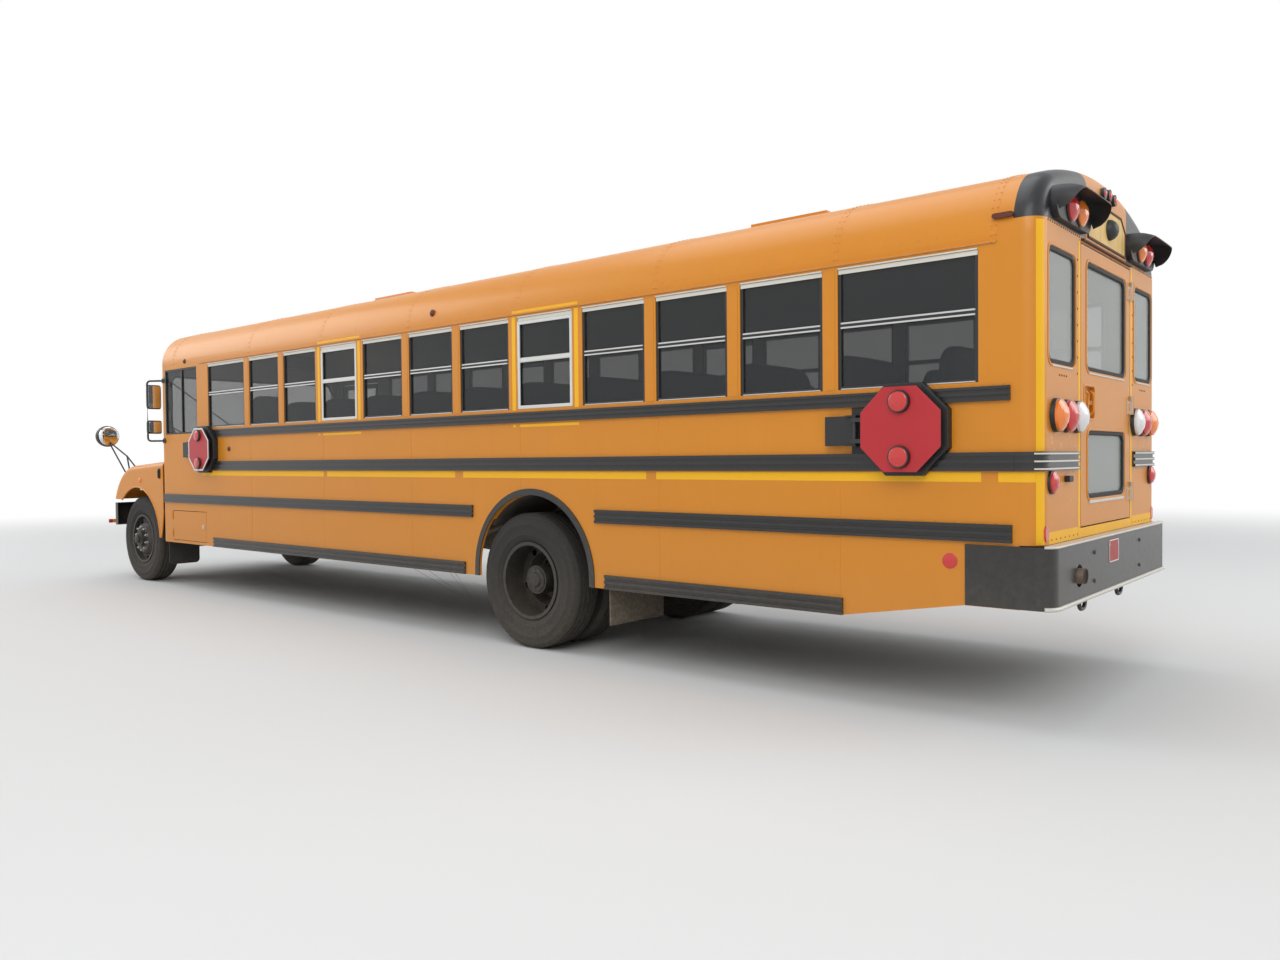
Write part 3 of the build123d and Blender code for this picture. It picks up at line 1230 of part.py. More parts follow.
# Openings in the nose, with the lamps as inner edge, height, width and height
GRILLE_HALF = 400
GRILLE_LOW_Z = 1090
GRILLE_TOP_Z = 1390
NOSE_FACE_X = 7680
HEADLAMPS = (640, 1180, 250, 150)
EAR_GAP = 6


# Nose: bonnet and wings in one shell, hinged low at the front
def wing_profile(inset):
    """Wings from the side: rear edge turned about the hinge, crest, nose."""
    past = 400 * (inset > 0)
    front_past = BONNET_PAST * (inset > 0)
    rear_r = HOOD_HINGE_X - (NOSE_X + NOSE_GAP) + BONNET_PAST * (inset > 0)
    foot_dz = HOOD_HINGE_Z - FENDER_FOOT_Z + past
    foot = (HOOD_HINGE_X - sqrt(rear_r ** 2 - foot_dz ** 2), HOOD_HINGE_Z - foot_dz)
    with BuildSketch(Plane.XZ.offset(-(FENDER_Y - inset))) as wing:
        with BuildLine():
            rear_low = ThreePointArc(
                foot,
                (HOOD_HINGE_X - sqrt(rear_r ** 2 - (foot_dz / 2) ** 2), HOOD_HINGE_Z - foot_dz / 2),
                (HOOD_HINGE_X - rear_r, HOOD_HINGE_Z),
            )
            rear_high = Line(rear_low @ 1, (HOOD_HINGE_X - rear_r, WING_REAR_Z - inset))
            crest = Line(rear_high @ 1, (at(7150), WING_CREST_Z - inset))
            brow = TangentArc(crest @ 1, (at(7670) - inset, 1080), tangent=crest % 1)
            front = Line(brow @ 1, (at(7680) - inset, HOOD_LOW_Z - front_past))
            low = Line(front @ 1, (at(7480), HOOD_LOW_Z - front_past))
            Line(low @ 1, foot)
        make_face()
    return wing.sketch


def bonnet_section(x, half, low_z, high_z, inset):
    """Bonnet across the bus at x: two sides, two corner arcs, a top arc."""
    with BuildSketch(Plane.YZ.offset(x)) as section:
        with BuildLine():
            side_l = Line((-half + inset, low_z), (-half + 60 + inset, high_z - 150))
            crown_l = ThreePointArc(side_l @ 1, (-half + 150, high_z - 50 - inset), (-half + 290, high_z - 15 - inset))
            top = ThreePointArc(crown_l @ 1, (0, high_z - inset), (half - 290, high_z - 15 - inset))
            crown_r = ThreePointArc(top @ 1, (half - 150, high_z - 50 - inset), (half - 60 - inset, high_z - 150))
            side_r = Line(crown_r @ 1, (half - inset, low_z))
            Line(side_r @ 1, side_l @ 0)
        make_face()
    return section.sketch


def nose_form(inset):
    """Nose as a solid, drawn in by inset and run on past its open sides."""
    past = 3 * BONNET_PAST if inset else 0
    with BuildPart() as form:
        add(wing_profile(inset))
        extrude(amount=2 * (FENDER_Y - inset), dir=(0, -1, 0))
        for side in (Axis.Y, -Axis.Y):
            outer_face = form.faces().sort_by(side)[-1]
            fillet(outer_face.edges().sort_by(Axis.Z)[-2:], WING_ROUND - inset)
    with BuildPart() as top:
        add(bonnet_section(NOSE_X + NOSE_GAP - past, 900, 1100, 1745, inset))
        add(bonnet_section(at(7640) - inset, 700, 1100, 1480, inset))
        loft()
    return form.part + top.part


NOSE_OUTER = nose_form(0)

with BuildPart() as hood:
    add(NOSE_OUTER)
    add(nose_form(HOOD_SKIN), mode=Mode.SUBTRACT)
    with BuildSketch(Plane.XZ.offset(-1.5 * FENDER_Y)):
        with Locations((FRONT_AXLE_X, TYRE_R)):
            Circle(FRONT_ARCH_R)
    extrude(amount=3 * FENDER_Y, mode=Mode.SUBTRACT)
    with BuildSketch(Plane.XY):
        with BuildLine():
            edge = ThreePointArc(
                (NOSE_X + NOSE_GAP, -SKIN_Y), (NOSE_X + FRONT_BOW + NOSE_GAP, 0), (NOSE_X + NOSE_GAP, SKIN_Y)
            )
            Polyline(edge @ 1, (NOSE_X - 300, SKIN_Y), (NOSE_X - 300, -SKIN_Y), edge @ 0)
        make_face()
    extrude(amount=2 * ROOF_Z, mode=Mode.SUBTRACT)
    with Locations((at(NOSE_FACE_X), 0, (GRILLE_LOW_Z + GRILLE_TOP_Z) / 2)):
        Box(400, 2 * GRILLE_HALF, GRILLE_TOP_Z - GRILLE_LOW_Z, mode=Mode.SUBTRACT)
    for side in (1, -1):
        y, z, wide, high = HEADLAMPS
        with Locations((at(NOSE_FACE_X), side * (y + wide / 2), z)):
            Box(400, wide, high, mode=Mode.SUBTRACT)
        with BuildSketch(Plane.XZ.offset(-side * (RAIL_OUT_Y + 16 + EAR_GAP))):
            with Locations((HOOD_HINGE_X, HOOD_HINGE_Z)):
                Circle(24)
            with Locations((HOOD_HINGE_X + 17, HOOD_HINGE_Z + 10)):
                Rectangle(30, 44)
            with Locations((HOOD_HINGE_X, HOOD_HINGE_Z)):
                Circle(11 + RUNNING_GAP, mode=Mode.SUBTRACT)
        extrude(amount=20, dir=(0, side, 0))
save(hood, "hood")

# Grille, headlamps and mirrors that ride on the nose

# Tyres: outline from bead to tread, as radius and distance from the middle
TREAD_HALF = 112
SHOULDER_R = 500
BULGE_R = 415
BEAD_HALF = 88


def tyre_at(x, y):
    """One tyre, turned about its axle line."""
    half = TYRE_W / 2
    with BuildPart() as tyre:
        with BuildSketch(Plane.XY):
            with BuildLine():
                bead = Line((x + BEAD_R, y - BEAD_HALF), (x + BEAD_R, y + BEAD_HALF))
                wall_out = ThreePointArc(bead @ 1, (x + BULGE_R, y + half), (x + SHOULDER_R, y + TREAD_HALF + 8))
                shoulder_out = Line(wall_out @ 1, (x + TYRE_R, y + TREAD_HALF - 14))
                tread = Line(shoulder_out @ 1, (x + TYRE_R, y - TREAD_HALF + 14))
                shoulder_in = Line(tread @ 1, (x + SHOULDER_R, y - TREAD_HALF - 8))
                ThreePointArc(shoulder_in @ 1, (x + BULGE_R, y - half), bead @ 0)
            make_face()
        revolve(axis=Axis((x, y, 0), (0, 1, 0)))
    return tyre.part.moved(Location((0, 0, TYRE_R)))


HAND_HOLES = 5
HAND_HOLE_R = 27


def rim_at(x, y, side, web, face):
    """One steel wheel: barrel, lips and a disc that runs from web, in the barrel, to its mounting face."""
    seat = BEAD_R - SEAT_GAP
    with BuildPart() as rim:
        with BuildSketch(Plane.XY):
            with BuildLine():
                Polyline(
                    (x + seat, y - side * 99.7), (x + seat, y + side * 99.7),
                    (x + RIM_LIP_R, y + side * 106), (x + RIM_LIP_R, y + side * 118),
                    (x + seat - 14, y + side * 118), (x + seat - 14, y - side * 118),
                    (x + RIM_LIP_R, y - side * 118), (x + RIM_LIP_R, y - side * 106),
                    close=True,
                )
            make_face()
            with BuildLine():
                Polyline(
                    (x + seat - 8, y + side * web), (x + 205, y + side * web),
                    (x + 165, y + side * face), (x, y + side * face), (x, y + side * (face + 11)),
                    (x + 168, y + side * (face + 11)), (x + 208, y + side * (web + 11)),
                    (x + seat - 8, y + side * (web + 11)),
                    close=True,
                )
            make_face()
        revolve(axis=Axis((x, y, 0), (0, 1, 0)))
        with BuildSketch(Plane(origin=(x, y + side * (web - 20), 0), x_dir=(1, 0, 0), z_dir=(0, side, 0))):
            with PolarLocations(240, HAND_HOLES, start_angle=18):
                Circle(HAND_HOLE_R)
        extrude(amount=60, mode=Mode.SUBTRACT)
    return rim.part.moved(Location((0, 0, TYRE_R)))


for side, word in [(1, "left"), (-1, "right")]:
    front_y = side * FRONT_TRACK_Y
    with BuildPart() as front_tyre:
        add(tyre_at(FRONT_AXLE_X, front_y))
    save(front_tyre, f"front_tyre_{word}")

    with BuildPart() as front_rim:
        add(rim_at(FRONT_AXLE_X, front_y, side, 55, 112))
        with Locations(Location((FRONT_AXLE_X, front_y + side * 100, TYRE_R), (90, 0, 0))):
            Cylinder(HUB_R, 130)
        with Locations(Location((FRONT_AXLE_X, front_y + side * 15, TYRE_R), (90, 0, 0))):
            Cylinder(DRUM_R, 120)
        with Locations(Location((FRONT_AXLE_X, front_y - side * 30, TYRE_R), (90, 0, 0))):
            Cylinder(SPINDLE_R + RUNNING_GAP, 220, mode=Mode.SUBTRACT)
    save(front_rim, f"front_rim_{word}")

    with BuildPart() as rear_tyres:
        for y in (TWIN_OUTER_Y, TWIN_INNER_Y):
            add(tyre_at(REAR_AXLE_X, side * y))
    save(rear_tyres, f"rear_tyres_{word}")

    with BuildPart() as rear_rims:
        add(rim_at(REAR_AXLE_X, side * TWIN_OUTER_Y, side, -84, -165))
        add(rim_at(REAR_AXLE_X, side * TWIN_INNER_Y, side, 72, 155))
        with Locations(Location((REAR_AXLE_X, side * 960, TYRE_R), (90, 0, 0))):
            Cylinder(HUB_R + 15, 260)
        with Locations(Location((REAR_AXLE_X, side * 718, TYRE_R), (90, 0, 0))):
            Cylinder(DRUM_R, 196)
        with Locations(Location((REAR_AXLE_X, side * 770, TYRE_R), (90, 0, 0))):
            Cylinder(45 + RUNNING_GAP, 320, mode=Mode.SUBTRACT)
    save(rear_rims, f"rear_rims_{word}")

    # Steering knuckle: yoke on the kingpin, spindle and steering arm
    with BuildPart() as knuckle:
        with Locations((FRONT_AXLE_X, side * KINGPIN_Y, TYRE_R)):
            Cylinder(20, 180)
        for lift in (-1, 1):
            with Locations((FRONT_AXLE_X, side * (KINGPIN_Y + 28), TYRE_R + lift * 72)):
                Box(90, 150, 40)
        with Locations((FRONT_AXLE_X, side * (KINGPIN_Y + 80), TYRE_R)):
            Box(90, 50, 184)
        with Locations(Location((FRONT_AXLE_X, side * (KINGPIN_Y + 135), TYRE_R), (90, 0, 0))):
            Cylinder(SPINDLE_R, 150)
        with Locations((FRONT_AXLE_X - TIE_ROD_BACK / 2, side * KINGPIN_Y, TYRE_R - 78)):
            Box(TIE_ROD_BACK, 60, 28)
        with Locations((FRONT_AXLE_X - TIE_ROD_BACK, side * KINGPIN_Y, TYRE_R - 78)):
            Cylinder(32, 28)
    save(knuckle, f"knuckle_{word}")

# Tie rod between the steering arms
with BuildPart() as tie_rod:
    with Locations(Location((FRONT_AXLE_X - TIE_ROD_BACK, 0, TIE_ROD_Z), (90, 0, 0))):
        Cylinder(18, 2 * KINGPIN_Y)
    for side in (1, -1):
        with Locations((FRONT_AXLE_X - TIE_ROD_BACK, side * KINGPIN_Y, TIE_ROD_Z)):
            Cylinder(28, 44)
save(tie_rod, "tie_rod")

GRILLE_X = 7620
with BuildPart() as grille:
    with Locations((at(GRILLE_X), 0, (GRILLE_LOW_Z + GRILLE_TOP_Z) / 2)):
        Box(30, 2 * (GRILLE_HALF - SEAT_GAP), GRILLE_TOP_Z - GRILLE_LOW_Z - 2 * SEAT_GAP)
        Box(32, 2 * GRILLE_HALF - 50, GRILLE_TOP_Z - GRILLE_LOW_Z - 50, mode=Mode.SUBTRACT)
    bar_step = (GRILLE_TOP_Z - GRILLE_LOW_Z) / GRILLE_BARS
    for i in range(1, GRILLE_BARS):
        with Locations((at(GRILLE_X), 0, GRILLE_LOW_Z + i * bar_step)):
            Box(20, 2 * GRILLE_HALF - 40, 16)
save(grille, "grille")

LENS_INSET = 3
LAMP_DEPTH = 70
NOSE_SOLID = nose_form(LENS_INSET)
with BuildPart() as headlamps:
    add(NOSE_SOLID)
    with BuildPart(mode=Mode.PRIVATE) as windows:
        for side in (1, -1):
            y, z, wide, high = HEADLAMPS
            with Locations((at(NOSE_FACE_X) - 120, side * (y + wide / 2), z)):
                Box(240, wide - 2 * SEAT_GAP, high - 2 * SEAT_GAP)
    add(windows.part, mode=Mode.INTERSECT)
save(headlamps, "headlamps")

# Round mirrors on tripods over the wings
BALL_R = 135
BALL_X = FRONT_REACH - BALL_R
BALL_Y = 1200
BALL_Z = 1805
with BuildPart() as wing_mirrors:
    for side in (1, -1):
        with Locations((at(BALL_X), side * BALL_Y, BALL_Z)):
            Sphere(BALL_R)
            with Locations((-BALL_R * 0.35, 0, 0)):
                Box(2 * BALL_R, 3 * BALL_R, 3 * BALL_R, align=(Align.MAX, Align.CENTER, Align.CENTER), mode=Mode.SUBTRACT)
        head = (at(BALL_X) - 30, side * BALL_Y, BALL_Z - 60)
        elbow = (at(7480), side * 1110, 1545)
        for start, end in [
            (head, (at(7500), side * 1090, 1270)),
            (head, elbow),
            (elbow, (at(7440), side * 1090, 1300)),
            (elbow, (at(7230), side * 1090, 1380)),
        ]:
            run = tuple(b - a for a, b in zip(start, end))
            length = sqrt(sum(v * v for v in run))
            with BuildSketch(Plane(origin=start, z_dir=run)):
                Circle(9)
            extrude(amount=length)
        with Locations(elbow):
            Sphere(12)
    add(NOSE_OUTER, mode=Mode.SUBTRACT)
save(wing_mirrors, "wing_mirrors")

# Crossing gate: a long bar that swings out from the kerb end of the bumper
with BuildPart() as crossing_gate:
    with Locations((at(GATE_X), (GATE_PIVOT_Y + GATE_TIP_Y) / 2, GATE_Z)):
        Box(22, GATE_TIP_Y - GATE_PIVOT_Y, 45)
    with Locations((at(GATE_X), GATE_PIVOT_Y, GATE_Z)):
        Cylinder(18, 2 * (GATE_PLATE_Z - 4 - SEAT_GAP))
save(crossing_gate, "crossing_gate")
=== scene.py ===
"""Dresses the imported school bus: paint, glass, lamps, tyres, seats, trim and studio."""
from __future__ import annotations

import json
import logging
import math
from dataclasses import dataclass
from enum import Enum
from typing import Iterable, Sequence

import bmesh
import bpy
import numpy as np
from mathutils import Matrix, Vector

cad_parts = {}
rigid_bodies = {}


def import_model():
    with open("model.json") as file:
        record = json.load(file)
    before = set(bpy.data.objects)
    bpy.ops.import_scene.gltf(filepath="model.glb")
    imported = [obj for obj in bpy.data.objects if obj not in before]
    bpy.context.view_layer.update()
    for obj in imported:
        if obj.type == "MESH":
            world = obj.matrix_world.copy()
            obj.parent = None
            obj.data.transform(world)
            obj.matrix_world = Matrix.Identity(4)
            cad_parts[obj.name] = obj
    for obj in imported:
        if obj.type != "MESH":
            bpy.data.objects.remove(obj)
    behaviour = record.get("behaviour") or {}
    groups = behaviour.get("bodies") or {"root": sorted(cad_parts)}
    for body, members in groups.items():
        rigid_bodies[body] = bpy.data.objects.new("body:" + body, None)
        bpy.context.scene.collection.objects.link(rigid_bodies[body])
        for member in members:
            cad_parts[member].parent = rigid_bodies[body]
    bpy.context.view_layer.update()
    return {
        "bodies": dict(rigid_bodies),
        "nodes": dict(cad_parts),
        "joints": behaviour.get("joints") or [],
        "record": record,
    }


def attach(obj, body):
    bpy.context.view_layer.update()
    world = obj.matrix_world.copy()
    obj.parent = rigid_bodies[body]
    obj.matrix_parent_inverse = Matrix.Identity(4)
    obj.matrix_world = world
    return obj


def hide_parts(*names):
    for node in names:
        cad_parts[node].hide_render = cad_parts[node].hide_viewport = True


log = logging.getLogger("bus")

Vec = Sequence[float]
Pair = tuple[float, float]
Triple = tuple[float, float, float]
Quad = tuple[float, float, float, float]
Pairs = Sequence[Pair]
Plane = tuple[Vec, Vec]
Box = tuple[Vec, Vec]

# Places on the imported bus, in metres
REAR_AXLE = -1.9975
FRONT_AXLE = REAR_AXLE + 7.010
HUB_Z = 0.522
SKIN = 1.207
TAIL = REAR_AXLE - 3.830
NOSE = REAR_AXLE + 6.250
TAIL_R = 0.100
EAVE_R = 0.370
SPRING_Z = 2.600
ROOF_Z = 3.100
SEAMS = (-2.670, -1.310, 0.060, 1.430, 2.800, 4.170)

# Planes to draw in: seen from behind, and seen from above
REAR: Plane = ((0, -1, 0), (0, 0, 1))
LEVEL: Plane = ((1, 0, 0), (0, 1, 0))
SIDES = ((1, "left"), (-1, "right"))


def along(distance: float) -> float:
    """X of a point given by its distance ahead of the rear axle, in metres."""
    return REAR_AXLE + distance


def side_plane(side: int) -> Plane:
    """Plane of a side wall whose outside is on side."""
    return (-side, 0, 0), (0, 0, 1)


@dataclass
class Shape:
    """Points and faces on their way into a mesh."""

    points: np.ndarray
    faces: list[list[int]]

    def mirrored(self) -> Shape:
        """The same shape on the other side of the bus, its faces turned to point outwards."""
        return Shape(self.points * np.array([1.0, -1.0, 1.0]), [f[::-1] for f in self.faces])


def join(shapes: Iterable[Shape]) -> Shape:
    """Puts several shapes into one, with their faces renumbered.

    Args:
        shapes: the shapes, in order.

    Returns:
        One shape that holds them all.
    """
    shapes = list(shapes)
    starts = np.cumsum([0] + [len(s.points) for s in shapes])
    faces = [[i + int(start) for i in f] for s, start in zip(shapes, starts) for f in s.faces]
    return Shape(np.concatenate([s.points for s in shapes]), faces)


def both(shape: Shape) -> Shape:
    """The shape and its mirror image."""
    return join([shape, shape.mirrored()])


def grid(points: np.ndarray, wrap_u: bool = False, wrap_v: bool = False) -> Shape:
    """Surface over a grid of points.

    Args:
        points: array (m, n, 3); the face normals follow u cross v.
        wrap_u: closes the first direction.
        wrap_v: closes the second direction.

    Returns:
        The quads between neighbouring rows and columns.
    """
    m, n = points.shape[:2]
    i = np.arange(m if wrap_u else m - 1)[:, None]
    j = np.arange(n if wrap_v else n - 1)[None, :]
    i2, j2 = (i + 1) % m, (j + 1) % n
    quads = np.stack([i * n + j, i2 * n + j, i2 * n + j2, i * n + j2], axis=-1).reshape(-1, 4)
    return Shape(points.reshape(-1, 3), quads.tolist())


def capped(rings: np.ndarray) -> Shape:
    """Tube through rings of points, closed at both ends.

    Args:
        rings: array (m, n, 3) of m rings with n points each.

    Returns:
        The closed tube.
    """
    count, ring = rings.shape[:2]
    wall, first = grid(rings, wrap_v=True), list(range(ring))
    return Shape(wall.points, wall.faces + [first[::-1], [i + ring * (count - 1) for i in first]])


def blocks(boxes: Sequence[Box]) -> Shape:
    """Boxes that lie square to the axes.

    Args:
        boxes: the lowest and the highest corner of each.

    Returns:
        All boxes as one shape.
    """
    lo, hi = (np.array([box[end] for box in boxes], float) for end in (0, 1))
    pick = np.array([[x, y, z] for x in (0, 1) for y in (0, 1) for z in (0, 1)])
    corners = np.where(pick[None] == 1, hi[:, None], lo[:, None])
    quads = np.array([[0, 1, 3, 2], [4, 6, 7, 5], [0, 4, 5, 1], [2, 3, 7, 6], [0, 2, 6, 4], [1, 5, 7, 3]])
    faces = (quads[None] + 8 * np.arange(len(lo))[:, None, None]).reshape(-1, 4)
    return Shape(corners.reshape(-1, 3), faces.tolist())


def lathe(profile: Pairs, centre: Vec, axis: str = "y", steps: int = 48, closed: bool = False) -> Shape:
    """Turns a profile about an axis.

    Each profile pair is a radius r and a distance s along the axis. The point at angle t is
    centre plus r cos t and r sin t in the plane across the axis and s along it.

    Args:
        profile: pairs (r, s), in order from one side to the other.
        centre: a point of the axis.
        axis: x, y or z.
        steps: points round the circle.
        closed: True where the profile's end meets its start.

    Returns:
        The turned surface, facing away from the axis where s falls along the profile.
    """
    r, s = np.array(profile, float).T
    turn = np.linspace(0, 2 * math.pi, steps, endpoint=False)
    a, b = r[:, None] * np.cos(turn), r[:, None] * np.sin(turn)
    c = np.repeat(s[:, None], steps, axis=1)
    order = {"x": (c, a, b), "y": (b, c, a), "z": (a, b, c)}[axis]
    return grid(np.stack(order, axis=-1) + np.asarray(centre, float), wrap_u=closed, wrap_v=True)


def turned(profile: Pairs, centre: Vec, axis: str, way: int, steps: int = 32) -> Shape:
    """Cap or nut: pairs of radius and height, turned about an axis and standing up along way."""
    return lathe([(r, way * h) for r, h in profile], centre, axis, steps)


def lens(centre: Vec, axis: str, way: int, radius: float, height: float, steps: int = 32) -> Shape:
    """Lamp lens: a flat rim, then a dome that falls with the square of the radius, with moulded rings.

    Args:
        centre: middle of its foot.
        axis: the axis it stands along.
        way: 1 or -1, the way it stands up.
        radius: outer radius.
        height: top of the dome.
        steps: points round the circle.

    Returns:
        The closed lens.
    """
    dome = [(radius * r, height * (0.35 + 0.65 * (1 - r * r)) + (0.0015 if k % 3 == 1 else 0.0))
            for k, r in enumerate(np.linspace(1.0, 0.0, 9))]
    rim = [(0.0, -0.001), (radius, -0.001), (radius, height * 0.3)]
    return turned(rim + dome, centre, axis, way, steps)


def bezel(centre: Vec, axis: str, way: int, inner: float, outer: float, height: float, steps: int = 32) -> Shape:
    """Ring round a lens: foot, chamfer, top and inner lip, closed on itself.

    Args:
        centre: middle of its foot.
        axis: the axis it stands along.
        way: 1 or -1, the way it stands up.
        inner: inner radius.
        outer: outer radius.
        height: how far it stands up.
        steps: points round the circle.

    Returns:
        The closed ring.
    """
    profile = [(outer, 0.0), (outer, height * 0.6), (outer - (outer - inner) * 0.3, height), (inner, height),
               (inner, 0.0)]
    return lathe([(r, way * h) for r, h in profile], centre, axis, steps, closed=True)


def tube(path: Sequence[Vec], radius: float, sides: int = 12, closed: bool = False) -> Shape:
    """Round bar along a path, its rings square to the path's direction.

    Args:
        path: points of the centre line.
        radius: outer radius.
        sides: points round each ring.
        closed: True for a loop.

    Returns:
        The tube with its ends capped.
    """
    p = np.array(path, float)
    ahead = np.roll(p, -1, axis=0) - np.roll(p, 1, axis=0) if closed else np.gradient(p, axis=0)
    ahead /= np.linalg.norm(ahead, axis=1, keepdims=True)
    up = np.array([0.0, 0.0, 1.0]) if abs(ahead[:, 2]).mean() < 0.8 else np.array([1.0, 0.0, 0.0])
    side = np.cross(ahead, up)
    side /= np.linalg.norm(side, axis=1, keepdims=True)
    top = np.cross(side, ahead)
    turn = np.linspace(0, 2 * math.pi, sides, endpoint=False)
    ring = side[:, None] * np.cos(turn)[None, :, None] + top[:, None] * np.sin(turn)[None, :, None]
    rings = p[:, None] + radius * ring
    body = grid(rings, wrap_u=True, wrap_v=True) if closed else capped(rings)
    return Shape(body.points, [f[::-1] for f in body.faces])


def arc_path(points: Sequence[Vec], radius: float, steps: int = 6) -> np.ndarray:
    """Centre line of a bent bar.

    Args:
        points: its ends and corners.
        radius: how far from each corner the bend starts, a quadratic curve.
        steps: points of each bend.

    Returns:
        The points, array (n, 3).
    """
    p = [np.asarray(q, float) for q in points]
    out = [p[0]]
    for a, b, c in zip(p, p[1:], p[2:]):
        u, v = (a - b) / np.linalg.norm(a - b), (c - b) / np.linalg.norm(c - b)
        t = np.linspace(0, 1, steps)[:, None]
        out.extend((1 - t) ** 2 * (b + u * radius) + 2 * t * (1 - t) * b + t ** 2 * (b + v * radius))
    return np.array(out + [p[-1]])


def slab(outline: Pairs, origin: Vec, plane: Plane, depth: float) -> Shape:
    """Flat plate: an outline in a plane, thickened square to it.

    Args:
        outline: its corners, anticlockwise.
        origin: the plane's zero.
        plane: the plane's directions u and v.
        depth: thickness along u cross v.

    Returns:
        The closed plate.
    """
    flat, (u, v) = np.array(outline, float), np.array(plane, float)
    base = np.asarray(origin, float) + flat[:, :1] * u + flat[:, 1:] * v
    n = len(flat)
    walls = [[i, (i + 1) % n, (i + 1) % n + n, i + n] for i in range(n)]
    ends = [list(range(n))[::-1], [i + n for i in range(n)]]
    return Shape(np.concatenate([base, base + np.cross(u, v) * depth]), ends + walls)


def rounded(wide: float, high: float, radius: float, steps: int = 6) -> np.ndarray:
    """Outline of a rectangle about the origin with rounded corners, anticlockwise.

    Args:
        wide: width.
        high: height.
        radius: of the corners.
        steps: points of each corner.

    Returns:
        The points, array (n, 2).
    """
    turn = np.linspace(0, math.pi / 2, steps)
    corner = np.stack([np.cos(turn), np.sin(turn)], axis=-1) * radius
    x, y = wide / 2 - radius, high / 2 - radius
    quarters = []
    for k, centre in enumerate([(x, y), (-x, y), (-x, -y), (x, -y)]):
        c, s = math.cos(k * math.pi / 2), math.sin(k * math.pi / 2)
        quarters.append(corner @ np.array([[c, s], [-s, c]]) + np.array(centre))
    return np.concatenate(quarters)


def hoop(outline: np.ndarray, origin: Vec, plane: Plane, width: float, proud: float, sunk: float = 0.0) -> Shape:
    """Rubber or metal strip round an outline: a flat-topped bead carried along it.

    Args:
        outline: closed line in the plane, anticlockwise.
        origin: the plane's zero.
        plane: the plane's directions u and v.
        width: how far the bead spreads outwards and inwards together.
        proud: its height along u cross v.
        sunk: how far its feet reach below the plane.

    Returns:
        A closed ring of five runs: foot, shoulder, top, shoulder, foot.
    """
    ahead = np.roll(outline, -1, axis=0) - np.roll(outline, 1, axis=0)
    ahead /= np.linalg.norm(ahead, axis=1, keepdims=True)
    out = np.stack([ahead[:, 1], -ahead[:, 0]], axis=-1)
    section = [(0.5, -sunk), (0.5, proud * 0.6), (0.3, proud), (-0.3, proud), (-0.5, proud * 0.6), (-0.5, -sunk)]
    u, v = np.array(plane, float)
    rings = []
    for share, lift in section:
        flat = outline + out * share * width
        rings.append(np.asarray(origin, float) + flat[:, :1] * u + flat[:, 1:] * v + lift * np.cross(u, v))
    return grid(np.array(rings).transpose(1, 0, 2), wrap_u=True, wrap_v=True)


def rivets(places: np.ndarray, normals: np.ndarray, radius: float, height: float, sides: int = 6,
           shoulder: Pair = (0.6, 0.85), aside: Vec = (1.0, 0.0, 0.0)) -> Shape:
    """Domed rivets, each square to its own normal: a ring, a smaller ring and a crown.

    Args:
        places: middle of each foot, array (n, 3).
        normals: the way each one faces, array (n, 3).
        radius: of the foot.
        height: of the crown.
        sides: points round each ring.
        shoulder: the smaller ring's share of radius and height.
        aside: the first point of a ring lies square to this direction.

    Returns:
        All rivets as one shape.
    """
    w = normals / np.linalg.norm(normals, axis=1, keepdims=True)
    u = np.cross(w, aside)
    u = np.where(np.linalg.norm(u, axis=1, keepdims=True) > 0.1, u, np.cross(w, [0.0, 0.0, 1.0]))
    u /= np.linalg.norm(u, axis=1, keepdims=True)
    v = np.cross(w, u)
    turn = np.linspace(0, 2 * math.pi, sides, endpoint=False)
    ring = np.cos(turn)[None, :, None] * u[:, None] + np.sin(turn)[None, :, None] * v[:, None]
    base, up = places[:, None], w[:, None] * height
    points = np.concatenate([base + ring * radius, base + ring * radius * shoulder[0] + up * shoulder[1],
                             base + up], axis=1)
    one = [[i, (i + 1) % sides, (i + 1) % sides + sides, i + sides] for i in range(sides)]
    one += [[i + sides, (i + 1) % sides + sides, 2 * sides] for i in range(sides)]
    one.append(list(range(sides))[::-1])
    size = 2 * sides + 1
    return Shape(points.reshape(-1, 3), [[i + size * k for i in f] for k in range(len(places)) for f in one])


def heads(places: Sequence[Vec], out: Vec, radius: float, height: float, sides: int = 8) -> Shape:
    """Rivet or bolt heads that all face out.

    Args:
        places: middle of each foot.
        out: the way they face.
        radius: of the foot.
        height: of the crown.
        sides: points round each ring.

    Returns:
        All heads as one shape.
    """
    places = np.array(places, float)
    normals = np.tile(np.asarray(out, float), (len(places), 1))
    return rivets(places, normals, radius, height, sides, (0.66, 0.8), (0.0, 0.0, 1.0))


